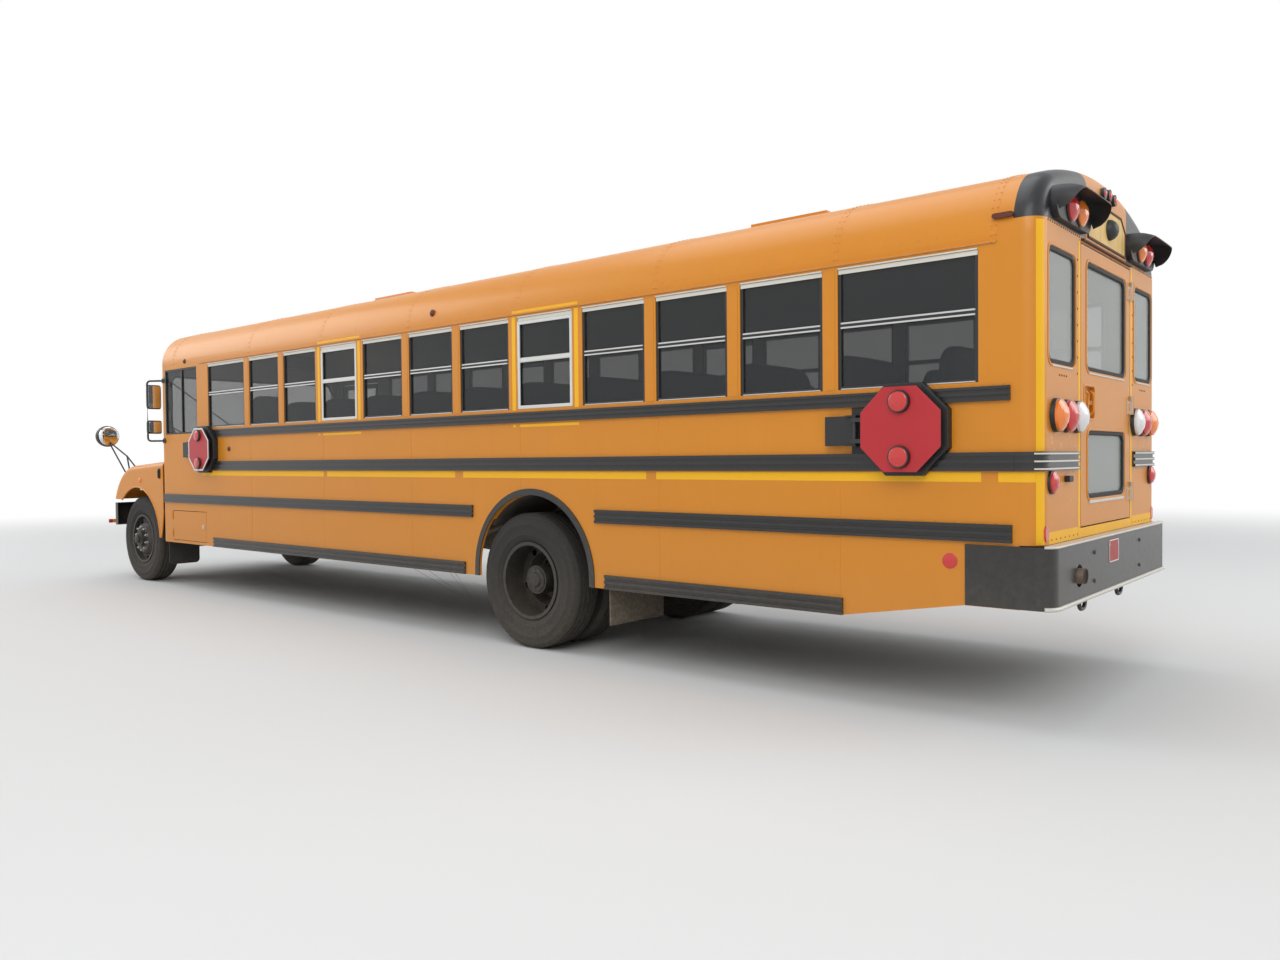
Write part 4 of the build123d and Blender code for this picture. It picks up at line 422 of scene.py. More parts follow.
def cushion(centre: Vec, size: Vec, flat_power: float = 5.0, edge_power: float = 3.2, around: int = 32,
            over: int = 14) -> Shape:
    """Crowned pad whose face lies across X.

    Its face outline is a superellipse in Y and Z of power flat_power, and its thickness runs to
    the seam by a superellipse of power edge_power, with a small pinch for the sewn edge.

    Args:
        centre: middle of the pad.
        size: thickness, width and height.
        flat_power: squareness of the outline.
        edge_power: squareness of the edge.
        around: points round the outline.
        over: points from face to face.

    Returns:
        The closed pad.
    """
    u = np.linspace(0, 2 * math.pi, around, endpoint=False)[None, :]
    v = np.linspace(-math.pi / 2, math.pi / 2, over)[:, None]

    def bent(w: np.ndarray, power: float) -> np.ndarray:
        """Signed power of a sine or cosine."""
        return np.sign(w) * np.abs(w) ** (2.0 / power)

    spread = np.abs(np.cos(v)) ** (2.0 / edge_power)
    pinch = 1.0 - 0.016 * np.exp(-(v / 0.16) ** 2)
    x = np.repeat(bent(np.sin(v), edge_power), around, axis=1) * size[0] / 2
    y = spread * pinch * bent(np.cos(u), flat_power) * size[1] / 2
    z = spread * pinch * bent(np.sin(u), flat_power) * size[2] / 2
    return grid(np.stack([x, y, z], axis=-1) + np.asarray(centre, float), wrap_v=True)


def roof_line(count: int, lift: float) -> tuple[np.ndarray, np.ndarray]:
    """Outline of the roof across the bus, from the driver's side to the kerb side.

    Two eave arcs of EAVE_R about the points at half width less EAVE_R and a crown arc between
    them. Points are spread evenly by length.

    Args:
        count: how many points.
        lift: distance outside the skin.

    Returns:
        Points (count, 2) as y and z, and their outward normals.
    """
    a, b = SKIN - EAVE_R, SPRING_Z - ROOF_Z
    crown = (EAVE_R ** 2 - a ** 2 - b ** 2) / (2 * (EAVE_R + b))
    low = ROOF_Z - crown
    turn = math.atan2(SPRING_Z - low, a)
    eave, top = EAVE_R * turn, crown * (math.pi - 2 * turn)
    d = np.linspace(0, 2 * eave + top, count)
    angle = np.where(d < eave, d / EAVE_R, np.where(d < eave + top, turn + (d - eave) / crown,
                                                    math.pi - turn + (d - eave - top) / EAVE_R))
    normal = np.stack([np.cos(angle), np.sin(angle)], axis=-1)
    on_eave = (d < eave) | (d > eave + top)
    radius = np.where(on_eave, EAVE_R, crown) + lift
    centre = np.stack([np.where(d < eave, a, np.where(d > eave + top, -a, 0.0)),
                       np.where(on_eave, SPRING_Z, low)], axis=-1)
    return centre + radius[:, None] * normal, normal


@dataclass(frozen=True)
class Finish:
    """One surface of the bus and how worn it is."""

    name: str
    colour: Triple
    roughness: float = 0.5
    metallic: float = 0.0
    coat: float = 0.0
    dust: float = 0.15
    dust_top: float = 1.1
    mottle: float = 0.06
    grain_size: float = 0.004
    grain_depth: float = 0.0
    streaks: float = 0.0
    lining: Triple | None = None
    black_corners: bool = False
    alpha: float = 1.0
    glow: float = 0.0


def yellow(name: str, mottle: float, streaks: float, **more: object) -> Finish:
    """The bus paint under a name, with its own mottle and streaks."""
    return Finish(name, (0.70, 0.250, 0.008), 0.40, coat=0.10, dust=0.14, dust_top=1.3, mottle=mottle,
                  grain_size=0.02, grain_depth=0.0004, streaks=streaks, **more)


LINING = (0.60, 0.60, 0.55)


class Coat(Enum):
    """Every finish on the bus."""

    BODY = yellow("bus_yellow", 0.10, 0.06, lining=LINING)
    CAP = yellow("bus_yellow_cap", 0.12, 0.10, lining=LINING, black_corners=True)
    PANEL = yellow("bus_yellow_panel", 0.10, 0.06)
    ENAMEL = Finish("black_enamel", (0.012, 0.012, 0.013), 0.34, coat=0.2, dust=0.20, dust_top=1.2, mottle=0.3)
    MOULDED = Finish("moulded_black", (0.016, 0.017, 0.019), 0.48, dust=0.10, mottle=0.3, grain_size=0.002,
                     grain_depth=0.0002)
    CHASSIS = Finish("chassis_black", (0.030, 0.028, 0.026), 0.72, dust=0.55, dust_top=1.6, mottle=0.4,
                     grain_size=0.01, grain_depth=0.0006)
    WHEEL = Finish("wheel_black", (0.014, 0.014, 0.015), 0.50, dust=0.16, dust_top=1.6, mottle=0.4)
    TYRE = Finish("tyre_rubber", (0.020, 0.020, 0.020), 0.84, dust=0.13, dust_top=1.3, mottle=0.5,
                  grain_size=0.006, grain_depth=0.0008)
    RUBBER = Finish("gasket_rubber", (0.014, 0.014, 0.014), 0.7, dust=0.12, mottle=0.3)
    FLAP = Finish("flap_rubber", (0.018, 0.018, 0.018), 0.8, dust=0.5, dust_top=1.5, mottle=0.4,
                  grain_size=0.01, grain_depth=0.0008)
    ALUMINIUM = Finish("mill_aluminium", (0.62, 0.62, 0.60), 0.38, metallic=0.85, dust=0.06, mottle=0.12)
    FRAME_BLACK = Finish("sash_black", (0.020, 0.020, 0.022), 0.45, dust=0.06, mottle=0.2)
    WHITE = Finish("white_enamel", (0.74, 0.74, 0.71), 0.4, dust=0.10, mottle=0.08)
    STEEL = Finish("bright_steel", (0.55, 0.54, 0.52), 0.3, metallic=1.0, dust=0.08, mottle=0.15)
    EXHAUST = Finish("hot_steel", (0.23, 0.18, 0.14), 0.6, metallic=0.7, dust=0.35, dust_top=1.4, mottle=0.5)
    GLASS = Finish("tinted_glass", (0.030, 0.032, 0.034), 0.03, dust=0.02, mottle=0.0, alpha=0.50)
    CLEAR = Finish("clear_glass", (0.60, 0.63, 0.60), 0.03, dust=0.03, mottle=0.0, alpha=0.42)
    SCREEN = Finish("screen_glass", (0.30, 0.34, 0.34), 0.03, dust=0.03, mottle=0.0, alpha=0.24)
    # Dark rust brown: rust on the drip moulding and the tail pipe lip, also used for the sign frame; on the tail
    # rivets the same brown is painted shade, the dark dots of their shadows.
    RUST_AND_SHADE = Finish("rust_and_shade_brown", (0.10, 0.038, 0.020), 0.75, dust=0.10, mottle=0.7, grain_depth=0.0005)
    BARE_STEEL = Finish("worn_edge_steel", (0.66, 0.64, 0.58), 0.42, metallic=0.35, dust=0.10, mottle=0.35)
    SIGN_PLACE = Finish("faded_sign_place", (0.78, 0.52, 0.17), 0.55, dust=0.10, mottle=0.55,
                        grain_size=0.02, grain_depth=0.0004, streaks=0.9)
    PLATE_RED = Finish("blank_plate_red", (0.42, 0.050, 0.045), 0.5, dust=0.10, mottle=0.3)
    PALE_TRIM = Finish("pale_trim", (0.74, 0.70, 0.62), 0.5, dust=0.08, mottle=0.2)
    # The red lens glow suits the lamps; on the side and tail reflectors, which are no lamps, it is painted light.
    RED_LENS = Finish("red_lens", (0.55, 0.020, 0.018), 0.16, coat=0.6, dust=0.05, mottle=0.1, glow=0.10)
    AMBER_LENS = Finish("amber_lens", (0.82, 0.20, 0.015), 0.16, coat=0.6, dust=0.05, mottle=0.1, glow=0.10)
    # Near black for the mouth of the tail pipe: painted shade of its hollow bore.
    BORE = Finish("painted_bore_shade", (0.006, 0.006, 0.006), 0.9, dust=0.0, mottle=0.0)
    DARK_MARKER = Finish("dark_marker", (0.11, 0.018, 0.014), 0.30, dust=0.10, mottle=0.1)
    HEADLAMP = Finish("headlamp_cover", (0.75, 0.78, 0.80), 0.05, dust=0.02, mottle=0.0, alpha=0.22)
    WHITE_LENS = Finish("clear_lens", (0.80, 0.80, 0.79), 0.14, coat=0.6, dust=0.05, mottle=0.05)
    SIGN_RED = Finish("sign_red", (0.50, 0.022, 0.030), 0.42, dust=0.05, mottle=0.12)
    SIGN_WHITE = Finish("sign_white", (0.78, 0.78, 0.76), 0.42, dust=0.04, mottle=0.05)
    # The tape's glow is painted light: the tape glows though it is no lamp.
    TAPE = Finish("bright_tape", (0.90, 0.47, 0.006), 0.5, dust=0.05, mottle=0.10, glow=0.06)
    VINYL = Finish("seat_vinyl", (0.022, 0.030, 0.046), 0.46, dust=0.05, mottle=0.3, grain_depth=0.0006)
    FLOOR = Finish("floor_rubber", (0.030, 0.030, 0.030), 0.7, dust=0.5, dust_top=1.9, mottle=0.4)
    PLASTIC = Finish("grey_plastic", (0.055, 0.055, 0.058), 0.6, dust=0.05, mottle=0.2, grain_size=0.002,
                     grain_depth=0.0003)
    MIRROR = Finish("mirror_face", (0.80, 0.82, 0.83), 0.04, metallic=1.0, dust=0.02, mottle=0.02)
    IRON = Finish("engine_iron", (0.05, 0.048, 0.046), 0.6, metallic=0.4, dust=0.3, dust_top=1.8, mottle=0.5)
    GATE = Finish("gate_amber", (0.80, 0.26, 0.016), 0.35, dust=0.06, mottle=0.1)


COAT_NODES: dict[Coat, tuple[str, ...]] = {
    Coat.BODY: ("front_wall", "rear_door", "rear_wall", "roof", "side_wall_left", "side_wall_right"),
    Coat.CAP: ("roof_caps",),
    Coat.PANEL: ("battery_door", "fuel_door", "hood", "roof_hatches"),
    Coat.ENAMEL: ("entrance_leaf_front", "entrance_leaf_rear", "front_bumper", "grille", "rear_bumper",
                  "rub_rails", "stop_sign_front", "stop_sign_rear"),
    Coat.MOULDED: ("side_mirrors", "stop_housings", "warning_pods", "wing_mirrors"),
    Coat.CHASSIS: ("driveline", "front_axle", "fuel_tank", "knuckle_left", "knuckle_right", "ladder_frame",
                   "rear_axle", "tie_rod"),
    Coat.WHEEL: ("front_rim_left", "front_rim_right", "rear_rims_left", "rear_rims_right"),
    Coat.TYRE: ("front_tyre_left", "front_tyre_right", "rear_tyres_left", "rear_tyres_right"),
    Coat.FLAP: ("mud_flaps",),
    Coat.IRON: ("engine", "radiator"),
    Coat.EXHAUST: ("exhaust",),
    Coat.FLOOR: ("floor", "stepwell", "wheel_boxes"),
    Coat.PLASTIC: ("dashboard", "steering_wheel"),
    Coat.VINYL: ("driver_seat", "seats_left", "seats_right"),
    Coat.GLASS: ("window_glass",),
    Coat.CLEAR: ("rear_door_glass",),
    Coat.SCREEN: ("entrance_glass_front", "entrance_glass_rear", "windscreen"),
    Coat.FRAME_BLACK: ("window_frames",),
    Coat.GATE: ("crossing_gate",),
    Coat.RED_LENS: ("lamps",),
    Coat.WHITE_LENS: ("headlamps",),
}


class Wiring:
    """Adds nodes to a node tree, with their values and links set in one call."""

    def __init__(self, tree: bpy.types.NodeTree) -> None:
        """Keeps the tree that the nodes go into."""
        self.tree = tree

    def feed(self, node: bpy.types.Node, sockets: dict[str | int, object]) -> None:
        """Sets or links some inputs of a node.

        Args:
            node: the node.
            sockets: inputs by name or number, each with its value or the output that feeds it.
        """
        for key, value in sockets.items():
            if isinstance(value, bpy.types.NodeSocket):
                self.tree.links.new(value, node.inputs[key])
            else:
                node.inputs[key].default_value = value

    def add(self, kind: str, sockets: dict[str | int, object] | None = None, **settings: object) -> bpy.types.Node:
        """Adds one node.

        Args:
            kind: its type.
            sockets: inputs by name or number, each with its value or the output that feeds it.
            settings: the node's own properties, which are set first.

        Returns:
            The new node.
        """
        node = self.tree.nodes.new(kind)
        for name, value in settings.items():
            setattr(node, name, value)
        self.feed(node, sockets or {})
        return node

    def calc(self, kind: str, a: object, b: object, clamp: bool = False) -> bpy.types.NodeSocket:
        """One Math node over two outputs or numbers."""
        return self.add("ShaderNodeMath", {0: a, 1: b}, operation=kind, use_clamp=clamp).outputs[0]

    def mix(self, factor: object, a: object, b: object) -> bpy.types.NodeSocket:
        """Colour a where factor is nought and b where it is one."""
        sockets = {"Factor": factor, "A": a, "B": b}
        return self.add("ShaderNodeMix", sockets, data_type="RGBA").outputs["Result"]

    def noise(self, place: bpy.types.NodeSocket, scale: float, detail: float, rough: float = 0.5
              ) -> bpy.types.NodeSocket:
        """Value of a noise texture at place."""
        sockets = {"Vector": place, "Scale": scale, "Detail": detail, "Roughness": rough}
        return self.add("ShaderNodeTexNoise", sockets).outputs["Fac"]

    def place(self) -> tuple[bpy.types.NodeSocket, bpy.types.bpy_prop_collection]:
        """Object coordinates, and the same split into X, Y and Z."""
        spot = self.add("ShaderNodeTexCoord").outputs["Object"]
        return spot, self.add("ShaderNodeSeparateXYZ", {0: spot}).outputs


class Paintshop:
    """Makes the materials and the node groups they share."""

    dust_colour = (0.29, 0.235, 0.17, 1.0)
    pod_black = (0.012, 0.013, 0.016, 1.0)
    pod_corner = (REAR_AXLE - 3.690, 0.43, 2.671)
    cabin_end = 0.6
    cabin_middle = 1.82

    def __init__(self) -> None:
        """Builds the shared groups once."""
        self.made: dict[str, bpy.types.Material] = {}
        self.grime = self._grime_group()
        self.lining = self._lining_group()

    @staticmethod
    def _group(name: str, inputs: dict[str, object], outputs: dict[str, str]) -> Wiring:
        """New shader group.

        Args:
            name: the group's name.
            inputs: its inputs with their defaults, a colour where the default is a tuple.
            outputs: its outputs with their kinds.

        Returns:
            The wiring of the new group.
        """
        tree = bpy.data.node_groups.new(name, "ShaderNodeTree")
        for label, default in inputs.items():
            kind = "NodeSocketColor" if isinstance(default, tuple) else "NodeSocketFloat"
            tree.interface.new_socket(label, in_out="INPUT", socket_type=kind).default_value = default
        for label, kind in outputs.items():
            tree.interface.new_socket(label, in_out="OUTPUT", socket_type=kind)
        return Wiring(tree)

    def _grime_group(self) -> bpy.types.NodeTree:
        """Dust low down, blotches all over and rain streaks, from Object coordinates.

        Dust is (1.5 (1 - z / top) ^ 1.6 + 0.12) dust (speck + cloud), kept between nought and one.

        Returns:
            The group.
        """
        wire = self._group("road_grime", {
            "Colour": (1, 1, 1, 1), "Dust": 0.2, "Dust top": 1.1, "Mottle": 0.1, "Streaks": 0.0,
            "Base roughness": 0.5}, {"Colour": "NodeSocketColor", "Roughness": "NodeSocketFloat"})
        calc, given = wire.calc, wire.add("NodeGroupInput").outputs
        place, axes = wire.place()
        cloud, fine = wire.noise(place, 2.3, 8.0, 0.62), wire.noise(place, 34.0, 5.0)
        stretch = wire.add("ShaderNodeMapping", {"Vector": place, "Scale": (9.0, 9.0, 0.7)})
        rain = wire.noise(stretch.outputs["Vector"], 3.0, 4.0)
        low = calc("POWER", calc("SUBTRACT", 1.0, calc("DIVIDE", axes["Z"], given["Dust top"]), True), 1.6)
        speck = calc("MULTIPLY", calc("SUBTRACT", fine, 0.25), 1.6, True)
        lie = calc("MULTIPLY", calc("ADD", calc("MULTIPLY", low, 1.5), 0.12), given["Dust"])
        dusty = calc("MULTIPLY", lie, calc("ADD", speck, cloud), True)
        run = calc("MULTIPLY", calc("MULTIPLY", calc("SUBTRACT", rain, 0.52), 3.0, True), given["Streaks"])
        shade = calc("ADD", calc("MULTIPLY", calc("SUBTRACT", cloud, 0.5), given["Mottle"]), 1.0)
        shade = calc("SUBTRACT", shade, calc("MULTIPLY", run, 0.5))
        tone = wire.add("ShaderNodeVectorMath", {0: given["Colour"], "Scale": shade}, operation="SCALE")
        rough = calc("ADD", given["Base roughness"], calc("MULTIPLY", dusty, 0.45))
        rough = calc("ADD", rough, calc("MULTIPLY", calc("SUBTRACT", fine, 0.5), 0.08), True)
        wire.add("NodeGroupOutput", {"Colour": wire.mix(dusty, tone.outputs[0], self.dust_colour),
                                     "Roughness": rough})
        return wire.tree

    def _lining_group(self) -> bpy.types.NodeTree:
        """One where a wall of the cabin faces outwards, nought where it faces the seats.

        The mask compares the surface normal with the line from the middle of the cabin.

        Returns:
            The group.
        """
        wire = self._group("outer_side", {}, {"Mask": "NodeSocketFloat"})
        place, axes = wire.place()
        ends = {"Value": axes["X"], "Min": TAIL + self.cabin_end, "Max": NOSE - self.cabin_end}
        axis = wire.add("ShaderNodeCombineXYZ", {"X": wire.add("ShaderNodeClamp", ends).outputs[0],
                                                 "Z": self.cabin_middle})
        arm = wire.add("ShaderNodeVectorMath", {0: place, 1: axis.outputs[0]}, operation="SUBTRACT")
        facing = wire.add("ShaderNodeTexCoord").outputs["Normal"]
        dot = wire.add("ShaderNodeVectorMath", {0: arm.outputs[0], 1: facing}, operation="DOT_PRODUCT")
        wire.add("NodeGroupOutput", {"Mask": wire.calc("GREATER_THAN", dot.outputs["Value"], -0.06)})
        return wire.tree

    def _corner_paint(self, wire: Wiring, colour: tuple[float, ...]) -> bpy.types.NodeSocket:
        """Black behind the rear lamp pods, told apart by Object coordinates.

        A point is black where it lies behind, further out than and above pod_corner.

        Args:
            wire: the material's wiring.
            colour: the colour elsewhere.

        Returns:
            The output with both colours.
        """
        axes, (x, y, z) = wire.place()[1], self.pod_corner
        out = wire.add("ShaderNodeMath", {0: axes["Y"]}, operation="ABSOLUTE").outputs[0]
        behind, beside = wire.calc("LESS_THAN", axes["X"], x), wire.calc("GREATER_THAN", out, y)
        above = wire.calc("GREATER_THAN", axes["Z"], z)
        where = wire.calc("MULTIPLY", wire.calc("MULTIPLY", behind, beside), above)
        return wire.mix(where, colour, self.pod_black)

    def get(self, finish: Finish) -> bpy.types.Material:
        """The material for a finish, made the first time it is asked for.

        Args:
            finish: the finish.

        Returns:
            Its material.
        """
        if finish.name not in self.made:
            self.made[finish.name] = self._make(finish)
        return self.made[finish.name]

    def _make(self, finish: Finish) -> bpy.types.Material:
        """Principled material with the grime group, a fine grain and, on cabin walls, the lining.

        Args:
            finish: the finish.

        Returns:
            The new material.
        """
        material = bpy.data.materials.new(finish.name)
        material.use_nodes = True
        material.diffuse_color = (*finish.colour, finish.alpha)
        wire, skin = Wiring(material.node_tree), material.node_tree.nodes["Principled BSDF"]
        colour: object = (*finish.colour, 1.0)
        if finish.black_corners:
            colour = self._corner_paint(wire, colour)
        if finish.lining:
            mask = wire.add("ShaderNodeGroup", node_tree=self.lining).outputs["Mask"]
            colour = wire.mix(mask, (*finish.lining, 1.0), colour)
        grime = wire.add("ShaderNodeGroup", {
            "Colour": colour, "Dust": finish.dust, "Dust top": finish.dust_top, "Mottle": finish.mottle,
            "Streaks": finish.streaks, "Base roughness": finish.roughness}, node_tree=self.grime).outputs
        wire.feed(skin, {"Base Color": grime["Colour"], "Roughness": grime["Roughness"],
                         "Metallic": finish.metallic, "Coat Weight": finish.coat, "Coat Roughness": 0.12,
                         "Alpha": finish.alpha})
        # Emission: lamp lenses glow as lamps; on the tape and the red reflectors, which are no lamps, the glow is
        # painted light.
        if finish.glow:
            wire.feed(skin, {"Emission Strength": finish.glow, "Emission Color": grime["Colour"]})
        if finish.grain_depth:
            place = wire.add("ShaderNodeTexCoord").outputs["Object"]
            bump = wire.add("ShaderNodeBump", {"Height": wire.noise(place, 1.0 / finish.grain_size, 3.0),
                                               "Strength": 0.5, "Distance": finish.grain_depth})
            wire.feed(skin, {"Normal": bump.outputs["Normal"]})
        return material

    def dress(self, nodes: dict[str, bpy.types.Object]) -> None:
        """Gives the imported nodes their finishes.

        Args:
            nodes: the frame's nodes by name.
        """
        for coat, names in COAT_NODES.items():
            for name in names:
                nodes[name].data.materials.clear()
                nodes[name].data.materials.append(self.get(coat.value))


@dataclass
class Dress:
    """A sub-assembly whose pieces ride on the bus."""

    shop: Paintshop

    def fit(self, name: str, shape: Shape | Iterable[Shape], coat: Coat, body: str = "body", *,
            smooth: bool = True, bevel: float = 0.0, slot: str | None = None, sharp: float = 35.0
            ) -> bpy.types.Object:
        """Makes a piece and lets it ride on a body.

        Args:
            name: the piece's name.
            shape: its shape, or several that become one.
            coat: its finish.
            body: the body it moves with.
            smooth: True for soft shading up to the sharp angle.
            bevel: width of the rounded edges, in metres.
            slot: not used.
            sharp: the angle, in degrees, from which an edge stays sharp.

        Returns:
            The new object.
        """
        shape = shape if isinstance(shape, Shape) else join(shape)
        mesh = bpy.data.meshes.new(name)
        mesh.from_pydata(shape.points.tolist(), [], shape.faces)
        mesh.validate()
        weld = bmesh.new()
        weld.from_mesh(mesh)
        bmesh.ops.remove_doubles(weld, verts=weld.verts, dist=1e-5)
        bmesh.ops.recalc_face_normals(weld, faces=weld.faces)
        weld.to_mesh(mesh)
        weld.free()
        mesh.update()
        piece = bpy.data.objects.new(name, mesh)
        bpy.context.scene.collection.objects.link(piece)
        mesh.materials.append(self.shop.get(coat.value))
        if smooth:
            mesh.polygons.foreach_set("use_smooth", np.ones(len(mesh.polygons), bool))
            mesh.set_sharp_from_angle(angle=math.radians(sharp))
        if bevel:
            edge = piece.modifiers.new("edge", "BEVEL")
            edge.width = bevel
            edge.segments = 2
            edge.limit_method = "ANGLE"
            edge.angle_limit = math.radians(40)
        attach(piece, body)
        log.info("%s rides on %s with %d faces", name, body, len(mesh.polygons))
        return piece


@dataclass
class SideTrim(Dress):
    """Reflective tape, window strips and riveted seams along both body sides."""

    tape: Pair = (1.312, 1.364)
    tape_thick: float = 0.0010
    runs: Pairs = ((2.780, 5.240), (0.822, 2.720), (-1.219, 0.720), (-3.524, -1.307), (-3.7303, -3.614))
    windows: Pairs = tuple((-2.583 + 0.685 * i, -1.998 + 0.685 * i) for i in range(10)) + (
        (-3.510, -2.683), (4.274, 5.076))
    exits: Pairs = ((-0.528, 0.057), (2.212, 2.797))
    sill: float = 1.840
    head: float = 2.538
    sash: float = 2.215
    frame_face: float = SKIN - 0.006
    arch: Triple = (-0.075, 0.580, 0.660)
    bands: Pairs = ((1.105, 1.300), (1.482, 1.725), (0.645, 0.985))
    rivet: Pair = (0.0058, 0.0024)
    rivet_rows: tuple[Quad, ...] = (
        (1.824, -3.64, 5.20, 0.055), (2.556, -3.58, 5.24, 0.070), (2.632, -3.58, 5.60, 0.10),
        (1.472, -3.60, 5.20, 0.11), (1.098, 0.62, 5.20, 0.11), (1.098, -3.60, -0.78, 0.11))

    def build(self) -> None:
        """Fits the trim, each piece for both sides at once."""
        for name, plates, coat, bevel in (
                ("side_tape", self._tape(), Coat.TAPE, 0.0), ("exit_tape", self._exit_tape(), Coat.TAPE, 0.0),
                ("window_headers", self._headers(), Coat.PALE_TRIM, 0.0008),
                ("window_sashes", self._sashes(), Coat.ALUMINIUM, 0.0006),
                ("exit_frames", self._exit_frames(), Coat.WHITE, 0.0010),
                ("pillar_joints", self._pillars(), Coat.PANEL, 0.0006)):
            self.fit(name, both(blocks(plates)), coat, smooth=False, bevel=bevel)
        self.fit("side_rivets", both(self._rivets()), Coat.PANEL)
        self.fit("panel_laps", both(blocks(self._laps())), Coat.PANEL, smooth=False, bevel=0.0004)
        self.fit("side_markers", both(self._markers()), Coat.DARK_MARKER)
        # Red reflectors in the glowing red lens coat: the glow is painted light, as they are no lamps.
        reflector = turned([(0.0, -0.001), (0.042, -0.001), (0.042, 0.003), (0.038, 0.005), (0.0, 0.006)],
                           (along(-3.353), SKIN, 0.885), "y", 1)
        self.fit("side_reflectors", both(reflector), Coat.RED_LENS)

    @staticmethod
    def _strip(x0: float, x1: float, z0: float, z1: float, proud: float, face: float = SKIN) -> Box:
        """Corners of a thin plate on the wall, between two distances from the rear axle."""
        return (along(x0), face - 0.0005, z0), (along(x1), face + proud, z1)

    def _tape(self) -> list[Box]:
        """Stripe under the second rail, in the lengths that the panels have."""
        return [self._strip(a, b, *self.tape, self.tape_thick) for a, b in self.runs]

    def _exit_tape(self) -> list[Box]:
        """Bars over and under the push-out windows and strips on the pillars beside them.

        Returns:
            Corners of each bar.
        """
        out = []
        for a, b in self.exits:
            low, high = self.sill - 0.01, self.head + 0.01
            out += [self._strip(*ends, self.tape_thick) for ends in (
                (a - 0.058, b + 0.058, 2.572, 2.594), (a - 0.062, b + 0.056, 1.702, 1.722),
                (a - 0.060, a - 0.060 + 0.038, low, high), (b + 0.022, b + 0.022 + 0.038, low, high))]
        return out

    def _headers(self) -> list[Box]:
        """Pale strip along the head of every window, and its lip on the wall.

        Returns:
            Corners of each strip.
        """
        return [self._strip(a + 0.004, b - 0.004, self.head + low, self.head + high, proud, face)
                for low, high, proud, face in ((-0.028, -0.002, 0.0035, self.frame_face),
                                               (-0.0005, 0.008, 0.006, SKIN))
                for a, b in self.windows]

    def _sashes(self) -> list[Box]:
        """Two thin bars where the panes meet and one along the foot of each lower pane.

        Returns:
            Corners of each bar.
        """
        return [self._strip(a + 0.018, b - 0.018, low, high, proud, self.frame_face) for a, b in self.windows
                for low, high, proud in ((self.sash + 0.006, self.sash + 0.016, 0.003),
                                         (self.sash - 0.020, self.sash - 0.010, 0.004),
                                         (self.sill + 0.002, self.sill + 0.008, 0.003))]

    def _exit_frames(self) -> list[Box]:
        """White frame round each push-out window with its bar across the middle.

        Returns:
            Corners of each bar.
        """
        low, high, wide, gap = self.sill + 0.001, self.head - 0.030, 0.024, 0.002
        plates = []
        for a, b in self.exits:
            left, right = a + gap, b - gap
            plates += [self._strip(*ends, self.frame_face) for ends in (
                (left, right, low, low + wide, 0.0075), (left, right, high - wide, high, 0.0075),
                (left, a + 0.026, low + wide, high - wide, 0.0075),
                (b - 0.026, right, low + wide, high - wide, 0.0075),
                (a + 0.026, b - 0.026, self.sash - 0.012, self.sash + 0.006, 0.006))]
        return plates

    def _pillars(self) -> list[Box]:
        """Pressed cap on each pillar between two windows of the row, but for those beside an exit.

        Returns:
            Corners of each cap.
        """
        ends, plates = sorted(self.windows), []
        for (_, b), (c, _) in zip(ends, ends[1:]):
            if 0.05 < c - b < 0.2 and not any(abs(b - e) < 0.01 or abs(c - a) < 0.01 for a, e in self.exits):
                plates.append(self._strip(b + 0.018, c - 0.018, self.sill, self.head, 0.0022))
        return plates

    def _rivets(self) -> Shape:
        """All rivets of one side: along the rails and the eave, and up each panel seam.

        They lie on the wall or on the eave arc above it, and keep off the rear arch.

        Returns:
            The rivets.
        """
        rows = []
        for z, x0, x1, pitch in self.rivet_rows:
            x = np.arange(x0, x1, pitch)
            rows.append(np.stack([along(0) + x, np.zeros_like(x), np.full_like(x, z)], axis=-1))
        for seam in SEAMS:
            for low, high in self.bands:
                if low < 1.0 and -0.75 < seam < 0.65:
                    continue
                z = np.arange(low + 0.012, high - 0.005, 0.045)
                for shift in (-0.012, 0.012):
                    rows.append(np.stack([np.full_like(z, along(seam + shift)), np.zeros_like(z), z], axis=-1))
        places, (ahead, height, reach) = np.concatenate(rows), self.arch
        places = places[np.hypot(places[:, 0] - along(ahead), places[:, 2] - height) > reach]
        slope = np.arcsin(np.clip(places[:, 2] - SPRING_Z, 0.0, None) / EAVE_R)
        places[:, 1] = SKIN - EAVE_R * (1 - np.cos(slope)) - 0.0003
        normals = np.stack([np.zeros_like(slope), np.cos(slope), np.sin(slope)], axis=-1)
        return rivets(places, normals, *self.rivet)

    def _laps(self) -> list[Box]:
        """Edge of each panel where it laps over its neighbour.

        Returns:
            Corners of each edge.
        """
        plates, (ahead, height, reach) = [], self.arch
        for seam in SEAMS:
            for low, high in self.bands:
                start = max(low, height + reach) if abs(seam - ahead) < reach else low
                if start < high:
                    plates.append(self._strip(seam - 0.024, seam + 0.024, start, high, 0.0012))
        return plates

    @staticmethod
    def _markers() -> Shape:
        """Small dark lamps: over the windows, between the rails and a long one at the end of the eave.

        Returns:
            The lenses of one side.
        """
        long_lens = slab(rounded(0.110, 0.026, 0.012), (along(-3.640), SKIN - 0.010, 2.694), side_plane(1), 0.022)
        lamps = [lens((along(x), SKIN - sunk, z), "y", 1, r, high, 20) for x, z, sunk, r, high in (
            (1.10, 2.685, 0.012, 0.030, 0.026), (4.62, 1.600, 0.0, 0.026, 0.016), (5.62, 2.610, 0.0, 0.026, 0.018))]
        return join([long_lens] + lamps)


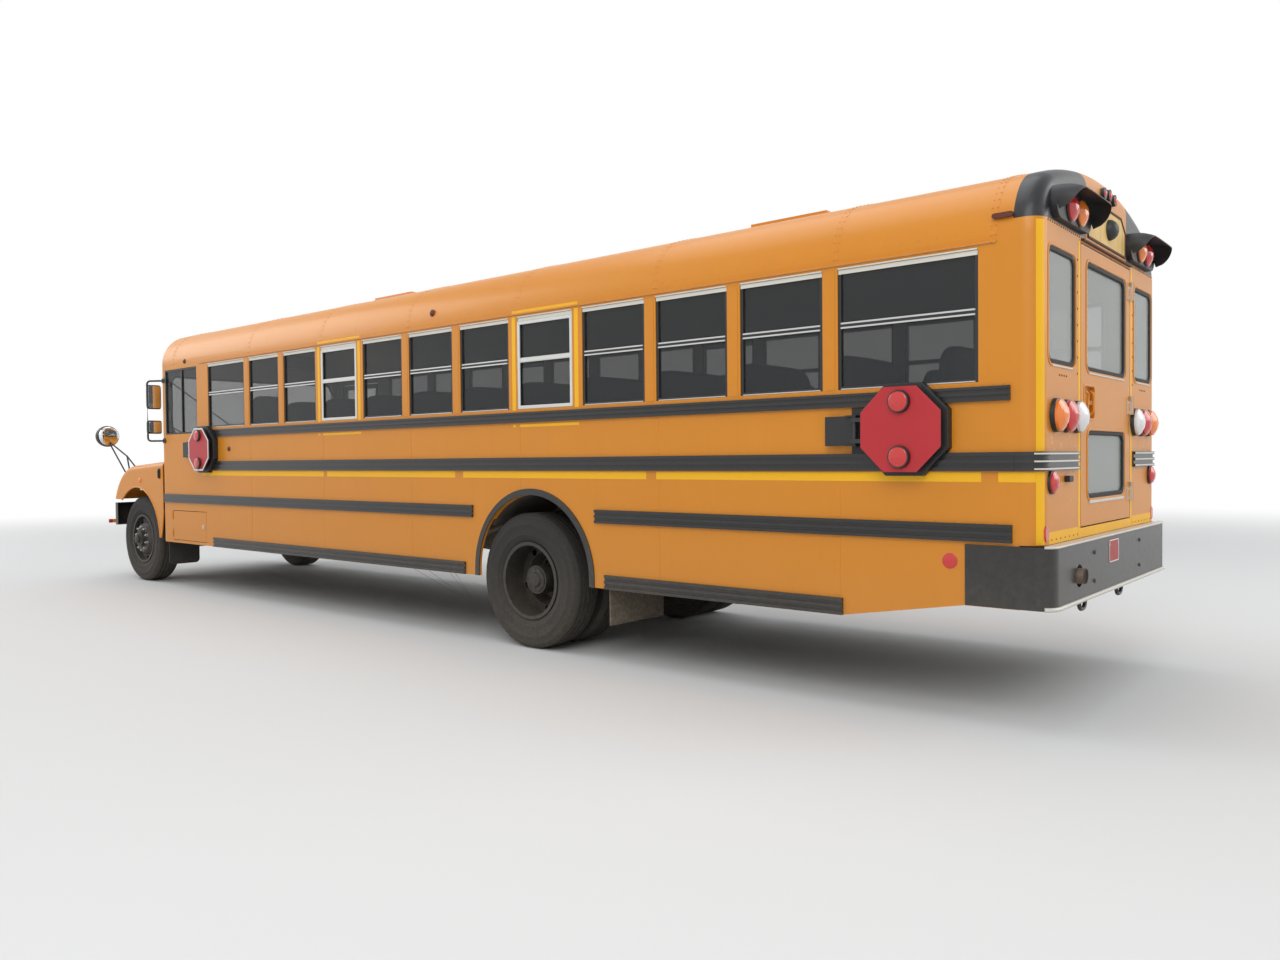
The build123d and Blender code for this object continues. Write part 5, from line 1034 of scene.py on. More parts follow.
@dataclass
class RoofTrim(Dress):
    """Straps with two rows of rivets over the roof joints and the end caps, and hatch covers."""

    straps: tuple[float, ...] = SEAMS + (-3.590, 5.920)
    width: float = 0.046
    proud: float = 0.0016
    hatches: tuple[float, ...] = (-1.800, 2.900)
    rivet: Pair = (0.0062, 0.0026)
    rivet_count: int = 58

    def build(self) -> None:
        """Fits straps, rivets and hatch details."""
        self.fit("roof_straps", [self._strap(x) for x in self.straps], Coat.PANEL, sharp=30.0)
        self.fit("roof_rivets", self._rivets(), Coat.PANEL)
        self.fit("hatch_covers", [self._hatch(along(x)) for x in self.hatches], Coat.PANEL, bevel=0.004)

    @staticmethod
    def _row(x: float, line: np.ndarray) -> np.ndarray:
        """The roof line's points at a distance x ahead of the rear axle."""
        return np.concatenate([np.full((len(line), 1), along(x)), line], axis=1)

    def _strap(self, x: float) -> Shape:
        """Flat band laid over the roof section: a thin rectangle carried along the roof line.

        Args:
            x: the joint's distance ahead of the rear axle.

        Returns:
            The band.
        """
        outer, inner, half = roof_line(48, self.proud)[0], roof_line(48, -0.001)[0], self.width / 2
        rings = [self._row(x + shift, line) for line, shift in (
            (inner, -half), (outer, -half + 0.003), (outer, half - 0.003), (inner, half))]
        return capped(np.array(rings).transpose(1, 0, 2))

    def _rivets(self) -> Shape:
        """Two rows of rivets on each strap, evenly spread by length over the roof line.

        Returns:
            The rivets.
        """
        line, normal = roof_line(self.rivet_count, self.proud - 0.0003)
        rows = [x + shift for x in self.straps for shift in (-0.013, 0.013)]
        normals = np.concatenate([np.zeros((self.rivet_count, 1)), normal], axis=1)
        return rivets(np.concatenate([self._row(x, line) for x in rows]), np.tile(normals, (len(rows), 1)),
                      *self.rivet)

    @staticmethod
    def _hatch(x: float) -> Shape:
        """Lid over a roof hatch with five ribs.

        Args:
            x: of its middle.

        Returns:
            The lid and its ribs.
        """
        plates = [(0.0, 0.600, 0.600, 0.07, 8, 0.051, 0.006)]
        plates += [(y, 0.46, 0.030, 0.012, 6, 0.056, 0.005) for y in (-0.18, -0.09, 0.0, 0.09, 0.18)]
        return join([slab(rounded(wide, high, r, steps), (x, y, ROOF_Z + up), LEVEL, thick)
                     for y, wide, high, r, steps, up, thick in plates])


@dataclass
class TailDress(Dress):
    """Lamps, gaskets, tape and fittings on the rear face."""

    lamps: tuple[tuple[float, float, float, str], ...] = (
        (0.985, 1.660, 0.084, "amber"), (0.805, 1.660, 0.084, "red"), (0.625, 1.660, 0.084, "clear"),
        (1.045, 1.310, 0.058, "red"))
    markers: Pairs = ((-0.110, 2.990), (0.0, 3.000), (0.110, 2.990))
    warning_height: float = 2.7665
    warning_r: float = 0.070
    pods: tuple[tuple[float, int], ...] = ((TAIL - 0.030, -1), (NOSE + 0.170, 1))
    marker_r: float = 0.028
    marker_base: Pairs = ((0.0, -0.006), (0.034, -0.006), (0.034, 0.02), (0.0, 0.02))
    reflector: Pair = (1.118, 1.045)
    pane_corner: float = 0.055
    tape_arc: Pair = (42.0, 72.0)
    corner_tapes: tuple[tuple[float, ...], ...] = ((0.990, 1.366), (1.473, 2.655), (1.312, 1.364, 0.0, 41.5))
    foot: float = 0.987
    foot_tapes: tuple[Triple, ...] = ((0.585, 1.085, 1.050), (0.540, 0.578, 2.640))
    threshold: Triple = (-0.5395, 0.5395, 1.040)
    drip_z: float = 2.648
    handle: Pair = (0.365, 1.750)
    grip: tuple[Triple, ...] = (
        (0.016, 0.300, 1.680), (-0.006, 0.300, 1.700), (-0.006, 0.300, 1.800), (0.016, 0.300, 1.820))
    lever: tuple[Triple, ...] = (
        (0.010, 0.440, 1.700), (-0.002, 0.400, 1.690), (-0.002, 0.385, 1.800), (0.010, 0.420, 1.815))
    hinge_z: tuple[float, ...] = (1.200, 1.750, 2.480)
    hinge_y: tuple[float, ...] = (-0.470, -0.500)
    bolt_up: float = 0.030
    rivet: Pair = (0.0070, 0.0030)
    drip_rivets: Triple = (1.10, 0.036, 2.662)
    foot_rivets: Triple = (1.06, 0.075, 1.008)
    sign_z: float = 2.795
    sign: Pairs = ((-0.400, -0.105), (0.400, -0.105), (0.400, 0.045), (0.300, 0.120), (-0.300, 0.120),
                   (-0.400, 0.045))
    dome_spot: Triple = (TAIL - 0.0015, -0.035, 2.800)
    dome: Pairs = ((0.0, 0.0), (0.062, 0.0), (0.062, 0.010), (0.056, 0.026), (0.042, 0.042), (0.022, 0.052),
                   (0.0, 0.055))
    warning: tuple[tuple[float, str], ...] = ((0.820, "red"), (0.650, "amber"))
    panes: tuple[Quad, ...] = tuple((y, 2.235, 0.440, 0.590) for y in (0.860, -0.860))
    door_panes: tuple[Quad, ...] = tuple(
        (0.0, (low + high) / 2, 2 * half - 0.020, high - low - 0.020)
        for half, low, high in ((0.420, 1.930, 2.550), (0.400, 1.200, 1.590)))

    def build(self) -> None:
        """Fits everything on the tail, the door's own pieces on the door."""
        self._lamps()
        self._gaskets()
        self._tape()
        self._fittings()
        self._sign_place()

    def _lamps(self) -> None:
        """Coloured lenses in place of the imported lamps, with dark bases and bezels."""
        coats = {"amber": Coat.AMBER_LENS, "red": Coat.RED_LENS, "clear": Coat.WHITE_LENS}
        shapes: dict[str, list[Shape]] = {name: [] for name in coats}
        bases, rims = [], []
        for y, z, r, colour in self.lamps:
            deep, bulge = (0.020, 0.050) if r > 0.07 else (0.010, 0.030)
            for side, _ in SIDES:
                out = (TAIL - deep, side * y, z)
                bases.append(turned([(0.0, 0.0), (r + 0.006, 0.0), (r + 0.004, deep), (0.0, deep)],
                                    (TAIL, side * y, z), "x", -1, 40))
                shapes[colour].append(lens(out, "x", -1, r - 0.001, bulge, 40))
                rims.append(bezel(out, "x", -1, r - 0.004, r + 0.005, 0.004, 40))
        for y, z in self.markers:
            shapes["red"].append(lens((TAIL - 0.004, y, z), "x", -1, self.marker_r, 0.024, 24))
            bases.append(turned(self.marker_base, (TAIL, y, z), "x", -1, 24))
        for y, colour in self.warning:
            for side, _ in SIDES:
                for x, way in self.pods:
                    spot = (x, side * y, self.warning_height)
                    shapes[colour].append(lens(spot, "x", way, self.warning_r, 0.044, 40))
                    rims.append(bezel(spot, "x", way, self.warning_r - 0.002, self.warning_r + 0.008, 0.010, 40))
        for colour, coat in coats.items():
            piece = self.fit(f"lenses_{colour}", shapes[colour], coat, slot="lens_plastic")
            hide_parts("lamps")
        self.fit("lamp_bases", bases, Coat.MOULDED)
        self.fit("lamp_rims", rims, Coat.ENAMEL)
        # The tail reflectors glow with the red lens coat: painted light, as they are no lamps.
        oval, (y, z) = rounded(0.050, 0.085, 0.0249, 8), self.reflector
        self.fit("tail_reflectors", [slab(oval, (TAIL + 0.012, side * y, z), REAR, 0.016) for side, _ in SIDES],
                 Coat.RED_LENS, bevel=0.002)

    def _rings(self, panes: Sequence[Vec], lip: bool = False) -> list[Shape]:
        """Rings round panes of the rear face.

        Args:
            panes: y, z, width and height of each.
            lip: True for the painted lip outside the rubber.

        Returns:
            One ring for each pane.
        """
        more, x, width, proud = (0.036, TAIL, 0.014, 0.005) if lip else (0.0, TAIL + 0.014, 0.030, 0.012)
        return [hoop(rounded(wide + more, high + more, self.pane_corner, 8), (x, y, z), REAR, width, proud, 0.006)
                for y, z, wide, high in panes]

    def _gaskets(self) -> None:
        """Rubber round the rear panes, a painted lip outside it and a pale sill under each."""
        self.fit("rear_gaskets", self._rings(self.panes), Coat.RUBBER)
        films = [slab(rounded(wide - 0.015, high - 0.015, 0.050), (TAIL + 0.0125, y, z), REAR, 0.001)
                 for y, z, wide, high in self.panes]
        self.fit("rear_pane_films", films, Coat.CLEAR, smooth=False, slot="clear_glass")
        self.fit("rear_window_lips", self._rings(self.panes, lip=True), Coat.PANEL)
        sills = blocks([((TAIL - 0.006, y - 0.17, 1.915), (TAIL, y + 0.17, 1.923)) for y, *_ in self.panes])
        self.fit("rear_sills", sills, Coat.PALE_TRIM, smooth=False, bevel=0.001)
        self.fit("door_gaskets", self._rings(self.door_panes), Coat.RUBBER, "rear_door")
        self.fit("door_window_lips", self._rings(self.door_panes, lip=True), Coat.PANEL, "rear_door")
        sills = blocks([((TAIL - 0.008, -0.36, 1.172), (TAIL, 0.37, 1.188)),
                        ((TAIL - 0.006, -0.38, 1.912), (TAIL, 0.38, 1.920))])
        self.fit("door_sills", sills, Coat.PALE_TRIM, "rear_door", smooth=False, bevel=0.0015)

    @staticmethod
    def _corner_strip(side: int, z0: float, z1: float, *ends: float) -> Shape:
        """Tape on the rounded corner: a thin band between two angles of the corner arc.

        Args:
            side: 1 for the left corner, -1 for the right one.
            z0: its foot.
            z1: its top.
            ends: both angles, in degrees from the side wall.

        Returns:
            The band.
        """
        turn = np.radians(np.linspace(*ends, 8))
        inner, outer = (np.stack([TAIL + TAIL_R - r * np.sin(turn), side * (SKIN - TAIL_R + r * np.cos(turn)),
                                  np.zeros_like(turn)], axis=-1) for r in (TAIL_R - 0.0005, TAIL_R + 0.0012))
        ring = np.concatenate([inner, outer[::-1]])
        return capped(np.array([ring + (0, 0, z) for z in (z0, z1)]))

    def _tape(self) -> None:
        """Bright strips on the corners, beside the doorway and along the foot of the rear face."""
        corners = [self._corner_strip(side, low, high, *(ends or self.tape_arc)) for side, _ in SIDES
                   for low, high, *ends in self.corner_tapes]
        self.fit("corner_tape", corners, Coat.TAPE, sharp=60.0)
        spans = [(*sorted((side * a, side * b)), high) for side, _ in SIDES
                 for a, b, high in self.foot_tapes] + [self.threshold]
        strips = [((TAIL - 0.0012, y0, self.foot), (TAIL + 0.0005, y1, high)) for y0, y1, high in spans]
        self.fit("foot_tape", blocks(strips), Coat.TAPE, smooth=False)

    def _fittings(self) -> None:
        """Drip moulding, handle, hinge bolts, plate lamp and rivets."""
        drip = slab([(-0.525, 0.0), (0.525, 0.0), (0.510, 0.012), (-0.510, 0.012)],
                    (TAIL + 0.001, 0.0, self.drip_z), REAR, 0.016)
        self.fit("drip_moulding", drip, Coat.RUST_AND_SHADE, smooth=False, bevel=0.002)
        recess = hoop(rounded(0.206, 0.196, 0.030), (TAIL, *self.handle), REAR, 0.012, 0.004)
        bars = [tube(arc_path([(TAIL + x, y, z) for x, y, z in path], bend), radius)
                for path, bend, radius in ((self.grip, 0.014, 0.007), (self.lever, 0.012, 0.006))]
        self.fit("handle_rim", recess, Coat.PANEL, "rear_door")
        self.fit("door_handle", bars, Coat.PANEL, "rear_door")
        bolts = [(TAIL - 0.006, y, z + up) for z in self.hinge_z for y in self.hinge_y
                 for up in (-self.bolt_up, self.bolt_up)]
        self.fit("hinge_bolts", heads(bolts, (-1, 0, 0), 0.006, 0.004, 10), Coat.STEEL, "rear_door")
        plate_lamp = slab(rounded(0.070, 0.034, 0.010), (TAIL + 0.001, 0.790, 1.322), REAR, 0.030)
        self.fit("plate_lamp", plate_lamp, Coat.MOULDED, bevel=0.004)
        spots = [(y, z) for half, pitch, z in (self.drip_rivets, self.foot_rivets)
                 for y in np.arange(-half, half, pitch) if z > 2.0 or abs(y) > 0.56]
        for side, _ in SIDES:
            spots += [(side * 0.592, z) for z in np.arange(1.90, 2.60, 0.09)]
            spots += [(side * y, 1.875) for y in (0.79, 0.83, 0.87, 0.91)]
        places = [(TAIL, y, z) for y, z in spots]
        # The rivets take the dark rust brown as painted shade: it stands for the shadows round their heads.
        self.fit("tail_rivets", heads(places, (-1, 0, 0), *self.rivet, 6), Coat.RUST_AND_SHADE)

    def _sign_place(self) -> None:
        """Bare place between the pods: a weathered panel in a pressed frame, and the dark dome on it."""
        outline = np.array(self.sign)
        frame = hoop(outline, (TAIL, 0.0, self.sign_z), REAR, 0.016, 0.007, 0.002)
        self.fit("sign_frame", frame, Coat.RUST_AND_SHADE, sharp=20.0)
        panel = slab(outline * 0.985, (TAIL + 0.0005, 0.0, self.sign_z), REAR, 0.0022)
        self.fit("sign_panel", panel, Coat.SIGN_PLACE, smooth=False)
        self.fit("sign_dome", turned(self.dome, self.dome_spot, "x", -1, 36), Coat.MOULDED)


@dataclass
class BumperDress(Dress):
    """Edges, bolts, blank plate, tail pipe end and tow rings of the rear bumper."""

    back: float = along(-3.895)
    half: float = SKIN + 0.012
    low: float = 0.655
    high: float = 0.980
    bend: float = 0.090
    pipe: Triple = (along(-3.925), 0.780, 0.800)
    plate: Pair = (0.205, 0.135)
    plate_y: float = 0.100
    plate_z: float = 0.885
    bolts: Pairs = ((-0.50, 0.745), (-0.50, 0.905), (0.50, 0.745), (0.50, 0.905))
    screw_out: float = 0.089
    ring: Pair = (along(-3.800), 0.395)

    def _edge(self, z: float, radius: float, out: float) -> Shape:
        """Round bar along the bumper's plan: straight across the back and part way round both corners.

        Args:
            z: its height.
            radius: of the bar.
            out: how far outside the bumper it lies.

        Returns:
            The bar.
        """
        turn = np.radians(np.linspace(28.0, 90.0, 9))
        x = self.back + self.bend - (self.bend + out) * np.sin(turn)
        y = self.half - self.bend + (self.bend + out) * np.cos(turn)
        half = np.stack([x, y, np.full_like(x, z)], axis=-1)
        return tube(np.concatenate([half, (half * (1.0, -1.0, 1.0))[::-1]]), radius)

    def build(self) -> None:
        """Fits the bumper pieces."""
        self.fit("bumper_lower_edge", self._edge(self.low + 0.008, 0.012, 0.002), Coat.BARE_STEEL)
        self.fit("bumper_upper_edge", self._edge(self.high - 0.001, 0.006, 0.000), Coat.BARE_STEEL)
        ledge = slab(rounded(2.350, TAIL - self.back, 0.020, 5), ((TAIL + self.back) / 2, 0.0, self.high - 0.001),
                     ((0, -1, 0), (1, 0, 0)), 0.004)
        self.fit("bumper_ledge", ledge, Coat.BARE_STEEL, smooth=False)
        self.fit("tail_pipe_lip", bezel(self.pipe, "x", -1, 0.037, 0.0425, 0.004), Coat.RUST_AND_SHADE)
        # A thin black disc across the pipe's mouth is painted shade, standing for the dark hollow bore.
        bore = [(0.0, 0.0), (0.0385, 0.0), (0.0385, 0.0012), (0.0, 0.0012)]
        self.fit("tail_pipe_bore_shade", turned(bore, self.pipe, "x", -1), Coat.BORE, smooth=False)
        self._tow_rings()
        bolts = [(self.back, *spot) for spot in self.bolts]
        self.fit("bumper_bolts", heads(bolts, (-1, 0, 0), 0.014, 0.010, 12), Coat.ENAMEL)
        wide, tall = self.plate
        plate = slab(rounded(wide, tall, 0.010, 5), (self.back, self.plate_y, self.plate_z), REAR, 0.0018)
        rim = hoop(rounded(wide - 0.010, tall - 0.010, 0.008, 5), (self.back - 0.0016, self.plate_y, self.plate_z),
                   REAR, 0.006, 0.0014)
        self.fit("blank_plate", plate, Coat.PLATE_RED, smooth=False)
        self.fit("blank_plate_rim", rim, Coat.SIGN_WHITE)
        screws = [(self.back - 0.0018, self.plate_y + dy, self.plate_z + 0.040)
                  for dy in (-self.screw_out, self.screw_out)]
        self.fit("plate_screws", heads(screws, (-1, 0, 0), 0.006, 0.003, 10), Coat.STEEL)

    def _tow_rings(self) -> None:
        """Plate under each frame rail with a ring and two stubs that show below the bumper."""
        parts, (x, out) = [], self.ring
        for side, _ in SIDES:
            y = side * out
            parts.append(blocks([((x - 0.035, y - 0.130, 0.670), (x + 0.035, y + 0.130, 0.681)),
                                 ((x - 0.012, y - 0.120, 0.625), (x + 0.012, y - 0.100, 0.671)),
                                 ((x - 0.012, y + 0.100, 0.625), (x + 0.012, y + 0.120, 0.671))]))
            parts.append(tube(arc_path([(x, y - 0.058, 0.675), (x, y - 0.058, 0.565), (x, y + 0.058, 0.565),
                                        (x, y + 0.058, 0.675)], 0.050, 8), 0.012))
        self.fit("tow_rings", parts, Coat.ENAMEL, sharp=40.0)


@dataclass
class StopSigns(Dress):
    """Blank stop signs: red faces, border, lamp rims and domes, and the black shells they fold against."""

    signs: tuple[tuple[str, float, bool], ...] = (("stop_sign_front", 5.120, True), ("stop_sign_rear", -3.110, False))
    shell_half: float = 0.256
    shell_base: float = 1.2055
    shell_out: float = 1.2605
    hinge_plate: Quad = (0.200, 0.338, 0.134, 0.007)
    plate: float = 1.300
    half_thick: float = 0.004
    height: float = 1.600
    half: float = 0.235
    border: float = 0.020
    lamp_up: float = 0.152
    lamp_r: float = 0.054

    def _shell(self, octagon: np.ndarray, x: float) -> list[Shape]:
        """Black shell on the wall and the plate behind the sign's hinge.

        Args:
            octagon: outline of the sign.
            x: middle of the sign.

        Returns:
            The shell and the plate.
        """
        near, far, up, thick = self.hinge_plate
        shell = slab(octagon * (self.shell_half / self.half), (x, self.shell_base, self.height), side_plane(1),
                     self.shell_out - self.shell_base)
        return [shell, blocks([((x + near, self.shell_base, self.height - up),
                                (x + far, self.shell_base + thick, self.height + up))])]

    def build(self) -> None:
        """Fits faces, borders and lamps on each sign's body, and the shells on the wall."""
        angle = np.radians(22.5 + 45.0 * np.arange(8))
        octagon = np.stack([np.cos(angle), np.sin(angle)], axis=-1) * (self.half / math.cos(math.pi / 8))
        shells = []
        for body, middle, bordered in self.signs:
            rims, domes, edges, faces, x = [], [], [], [], along(middle)
            shells += self._shell(octagon, x)
            for way in (1, -1):
                face = self.plate + way * self.half_thick
                faces.append(slab(octagon * 0.998, (x, face - way * 0.0005, self.height), side_plane(way), 0.0012))
                edges.append(hoop(octagon * ((self.half - self.border / 2) / self.half), (x, face, self.height),
                                  side_plane(way), self.border, 0.0020, 0.001))
                for lift in (-self.lamp_up, self.lamp_up):
                    z = self.height + lift
                    rims.append(bezel((x, face, z), "y", way, self.lamp_r, self.lamp_r + 0.010, 0.024))
                    domes.append(lens((x, face + way * 0.021, z), "y", way, self.lamp_r, 0.012))
            self.fit(f"{body}_faces", faces, Coat.SIGN_RED, body, sharp=20.0)
            if bordered:
                self.fit(f"{body}_border", edges, Coat.SIGN_WHITE, body, sharp=20.0)
            self.fit(f"{body}_lamp_rims", rims, Coat.ENAMEL, body)
            self.fit(f"{body}_lamps", domes, Coat.RED_LENS, body)
        self.fit("stop_sign_shells", shells, Coat.MOULDED, bevel=0.004, sharp=30.0)


@dataclass
class FrontFlap(Dress):
    """Mud flap behind the left front wheel; on the right the entrance well closes this place."""

    ahead: float = 6.200
    inner: float = 0.805
    outer: float = 1.165
    low: float = 0.250
    high: float = 0.960
    thick: float = 0.010
    corner: float = 0.050

    def build(self) -> None:
        """Fits the flap below the cab floor."""
        outline = rounded(self.outer - self.inner, self.high - self.low, self.corner)
        middle = (along(self.ahead), (self.inner + self.outer) / 2, (self.low + self.high) / 2)
        self.fit("front_mud_flap", slab(outline, middle, ((0, 1, 0), (0, 0, 1)), self.thick), Coat.MOULDED,
                 bevel=0.002, sharp=30.0)


@dataclass
class Tyres(Dress):
    """Tyres with worn rib tread, shoulder notches and moulded rings on the walls."""

    radius: float = HUB_Z
    wall: Pairs = (
        (0.2875, 0.086), (0.293, 0.092), (0.300, 0.104), (0.306, 0.106), (0.312, 0.113), (0.330, 0.1225),
        (0.350, 0.1290), (0.353, 0.1315), (0.359, 0.1315), (0.362, 0.1310), (0.400, 0.1350), (0.425, 0.1362),
        (0.429, 0.1375), (0.437, 0.1375), (0.441, 0.1350), (0.465, 0.1315), (0.482, 0.1275), (0.485, 0.1280),
        (0.492, 0.1262), (0.499, 0.1200))
    shoulder: tuple[Triple, ...] = (
        (0.506, 0.1140, 0.004), (0.513, 0.1080, 0.006), (0.5185, 0.1010, 0.005), (0.5205, 0.0960, 0.0))
    crown_drop: float = 0.0012
    crown_half: float = 0.09
    groove: float = 0.011
    grooves: tuple[float, ...] = (-0.066, -0.024, 0.024, 0.066)
    groove_half: float = 0.0065
    zigzag: float = 0.0035
    steps: int = 240
    notches: int = 60
    front: float = 1.010
    outer: float = 1.047
    inner: float = 0.717

    def _profile(self) -> np.ndarray:
        """Columns from one bead to the other.

        Returns:
            Four rows: radius, distance from the middle, how far each column follows the zigzag,
            and how deep the shoulder notches cut it.
        """
        side = [(r, out, 0.0, 0.0) for r, out in self.wall] + [(r, out, 0.0, cut) for r, out, cut in self.shoulder]
        tread = [(self.radius - self.crown_drop * (middle / self.crown_half) ** 2 - down,
                  middle + shift * self.groove_half, 1.0, 0.0) for middle in self.grooves
                 for shift, down in ((-1.0, 0.0), (-0.72, self.groove), (0.72, self.groove), (1.0, 0.0))]
        return np.array([(r, -out, zig, cut) for r, out, zig, cut in side] + tread + side[::-1]).T

    def _tyre(self, x: float, y: float) -> Shape:
        """One tyre: radius less the notch depth where a notch lies, zigzag added to the distance.

        Args:
            x: of its middle.
            y: of its middle.

        Returns:
            The closed tyre.
        """
        r, s, follow, cut = self._profile()
        step = np.arange(self.steps)
        turn = step * 2 * math.pi / self.steps
        wave = self.zigzag * (np.abs((step % 8) / 4.0 - 1.0) * 2.0 - 1.0)
        notch = ((step % (self.steps // self.notches)) < 1).astype(float)
        rad = r[:, None] - cut[:, None] * notch[None, :]
        out = s[:, None] + follow[:, None] * wave[None, :]
        points = np.stack([rad * np.sin(turn), out, rad * np.cos(turn)], axis=-1) + np.array([x, y, self.radius])
        return grid(points, wrap_u=True, wrap_v=True)

    def build(self) -> None:
        """Puts a tyre over each packed one."""
        for side, word in SIDES:
            piece = self.fit(f"front_tread_{word}", self._tyre(FRONT_AXLE, side * self.front), Coat.TYRE,
                             f"front_wheel_{word}", slot="tyre_rubber", sharp=38.0)
            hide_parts(f"front_tyre_{word}")
            pair = [self._tyre(REAR_AXLE, side * y) for y in (self.outer, self.inner)]
            piece = self.fit(f"rear_tread_{word}", pair, Coat.TYRE, f"rear_wheels_{word}", slot="tyre_rubber",
                             sharp=38.0)
            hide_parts(f"rear_tyres_{word}")


@dataclass
class WheelFaces(Dress):
    """Nuts, hub caps and axle flanges on the steel wheels."""

    circle: float = 0.143
    count: int = 10
    start: float = 0.31
    flange_circle: float = 0.078
    front_disc: float = 1.133
    front_hub: float = 1.1745
    rear_disc: float = 0.893
    rear_hub: float = 1.0895
    flange_top: float = 1.0975
    nut: tuple[tuple[int, Pairs], ...] = (
        (16, ((0.0, 0.0), (0.019, 0.0), (0.018, 0.004), (0.0, 0.004))),
        (6, ((0.0, 0.003), (0.0155, 0.003), (0.0155, 0.020), (0.012, 0.024), (0.0, 0.024))),
        (12, ((0.0, 0.020), (0.0085, 0.020), (0.0085, 0.031), (0.007, 0.033), (0.0, 0.033))))
    cap: Pairs = ((0.0, 0.0), (0.066, 0.0), (0.066, 0.006), (0.052, 0.010), (0.050, 0.034), (0.040, 0.040),
                  (0.0, 0.042))
    flange: Pairs = ((0.0, 0.0), (0.092, 0.0), (0.092, 0.008), (0.060, 0.012), (0.052, 0.026), (0.0, 0.028))

    def _set(self, x: float, y: float, way: int) -> Shape:
        """Ten nuts round a hub, each a washer, a hexagon and a stud.

        Args:
            x: of the hub.
            y: of the disc's face.
            way: 1 or -1, the way the nuts stand.

        Returns:
            All nuts as one shape.
        """
        turn = np.arange(self.count) * 2 * math.pi / self.count + self.start
        return join([turned(profile, (x + self.circle * math.cos(t), y, HUB_Z + self.circle * math.sin(t)), "y",
                            way, steps) for t in turn for steps, profile in self.nut])

    def build(self) -> None:
        """Fits nuts and caps on all four sides."""
        turn = np.arange(8) * math.pi / 4
        for side, word in SIDES:
            front, rear = f"front_wheel_{word}", f"rear_wheels_{word}"
            cap = turned(self.cap, (FRONT_AXLE, side * self.front_hub, HUB_Z), "y", side, 36)
            flange = turned(self.flange, (REAR_AXLE, side * self.rear_hub, HUB_Z), "y", side, 36)
            self.fit(f"front_nuts_{word}", self._set(FRONT_AXLE, side * self.front_disc, side), Coat.STEEL, front)
            self.fit(f"front_cap_{word}", cap, Coat.WHEEL, front)
            self.fit(f"rear_nuts_{word}", self._set(REAR_AXLE, side * self.rear_disc, side), Coat.WHEEL, rear)
            self.fit(f"rear_flange_{word}", flange, Coat.WHEEL, rear)
            spots = np.stack([REAR_AXLE + self.flange_circle * np.cos(turn), np.full(8, side * self.flange_top),
                              HUB_Z + self.flange_circle * np.sin(turn)], axis=-1)
            self.fit(f"rear_flange_bolts_{word}", heads(spots, (0, side, 0), 0.009, 0.007), Coat.WHEEL, rear)


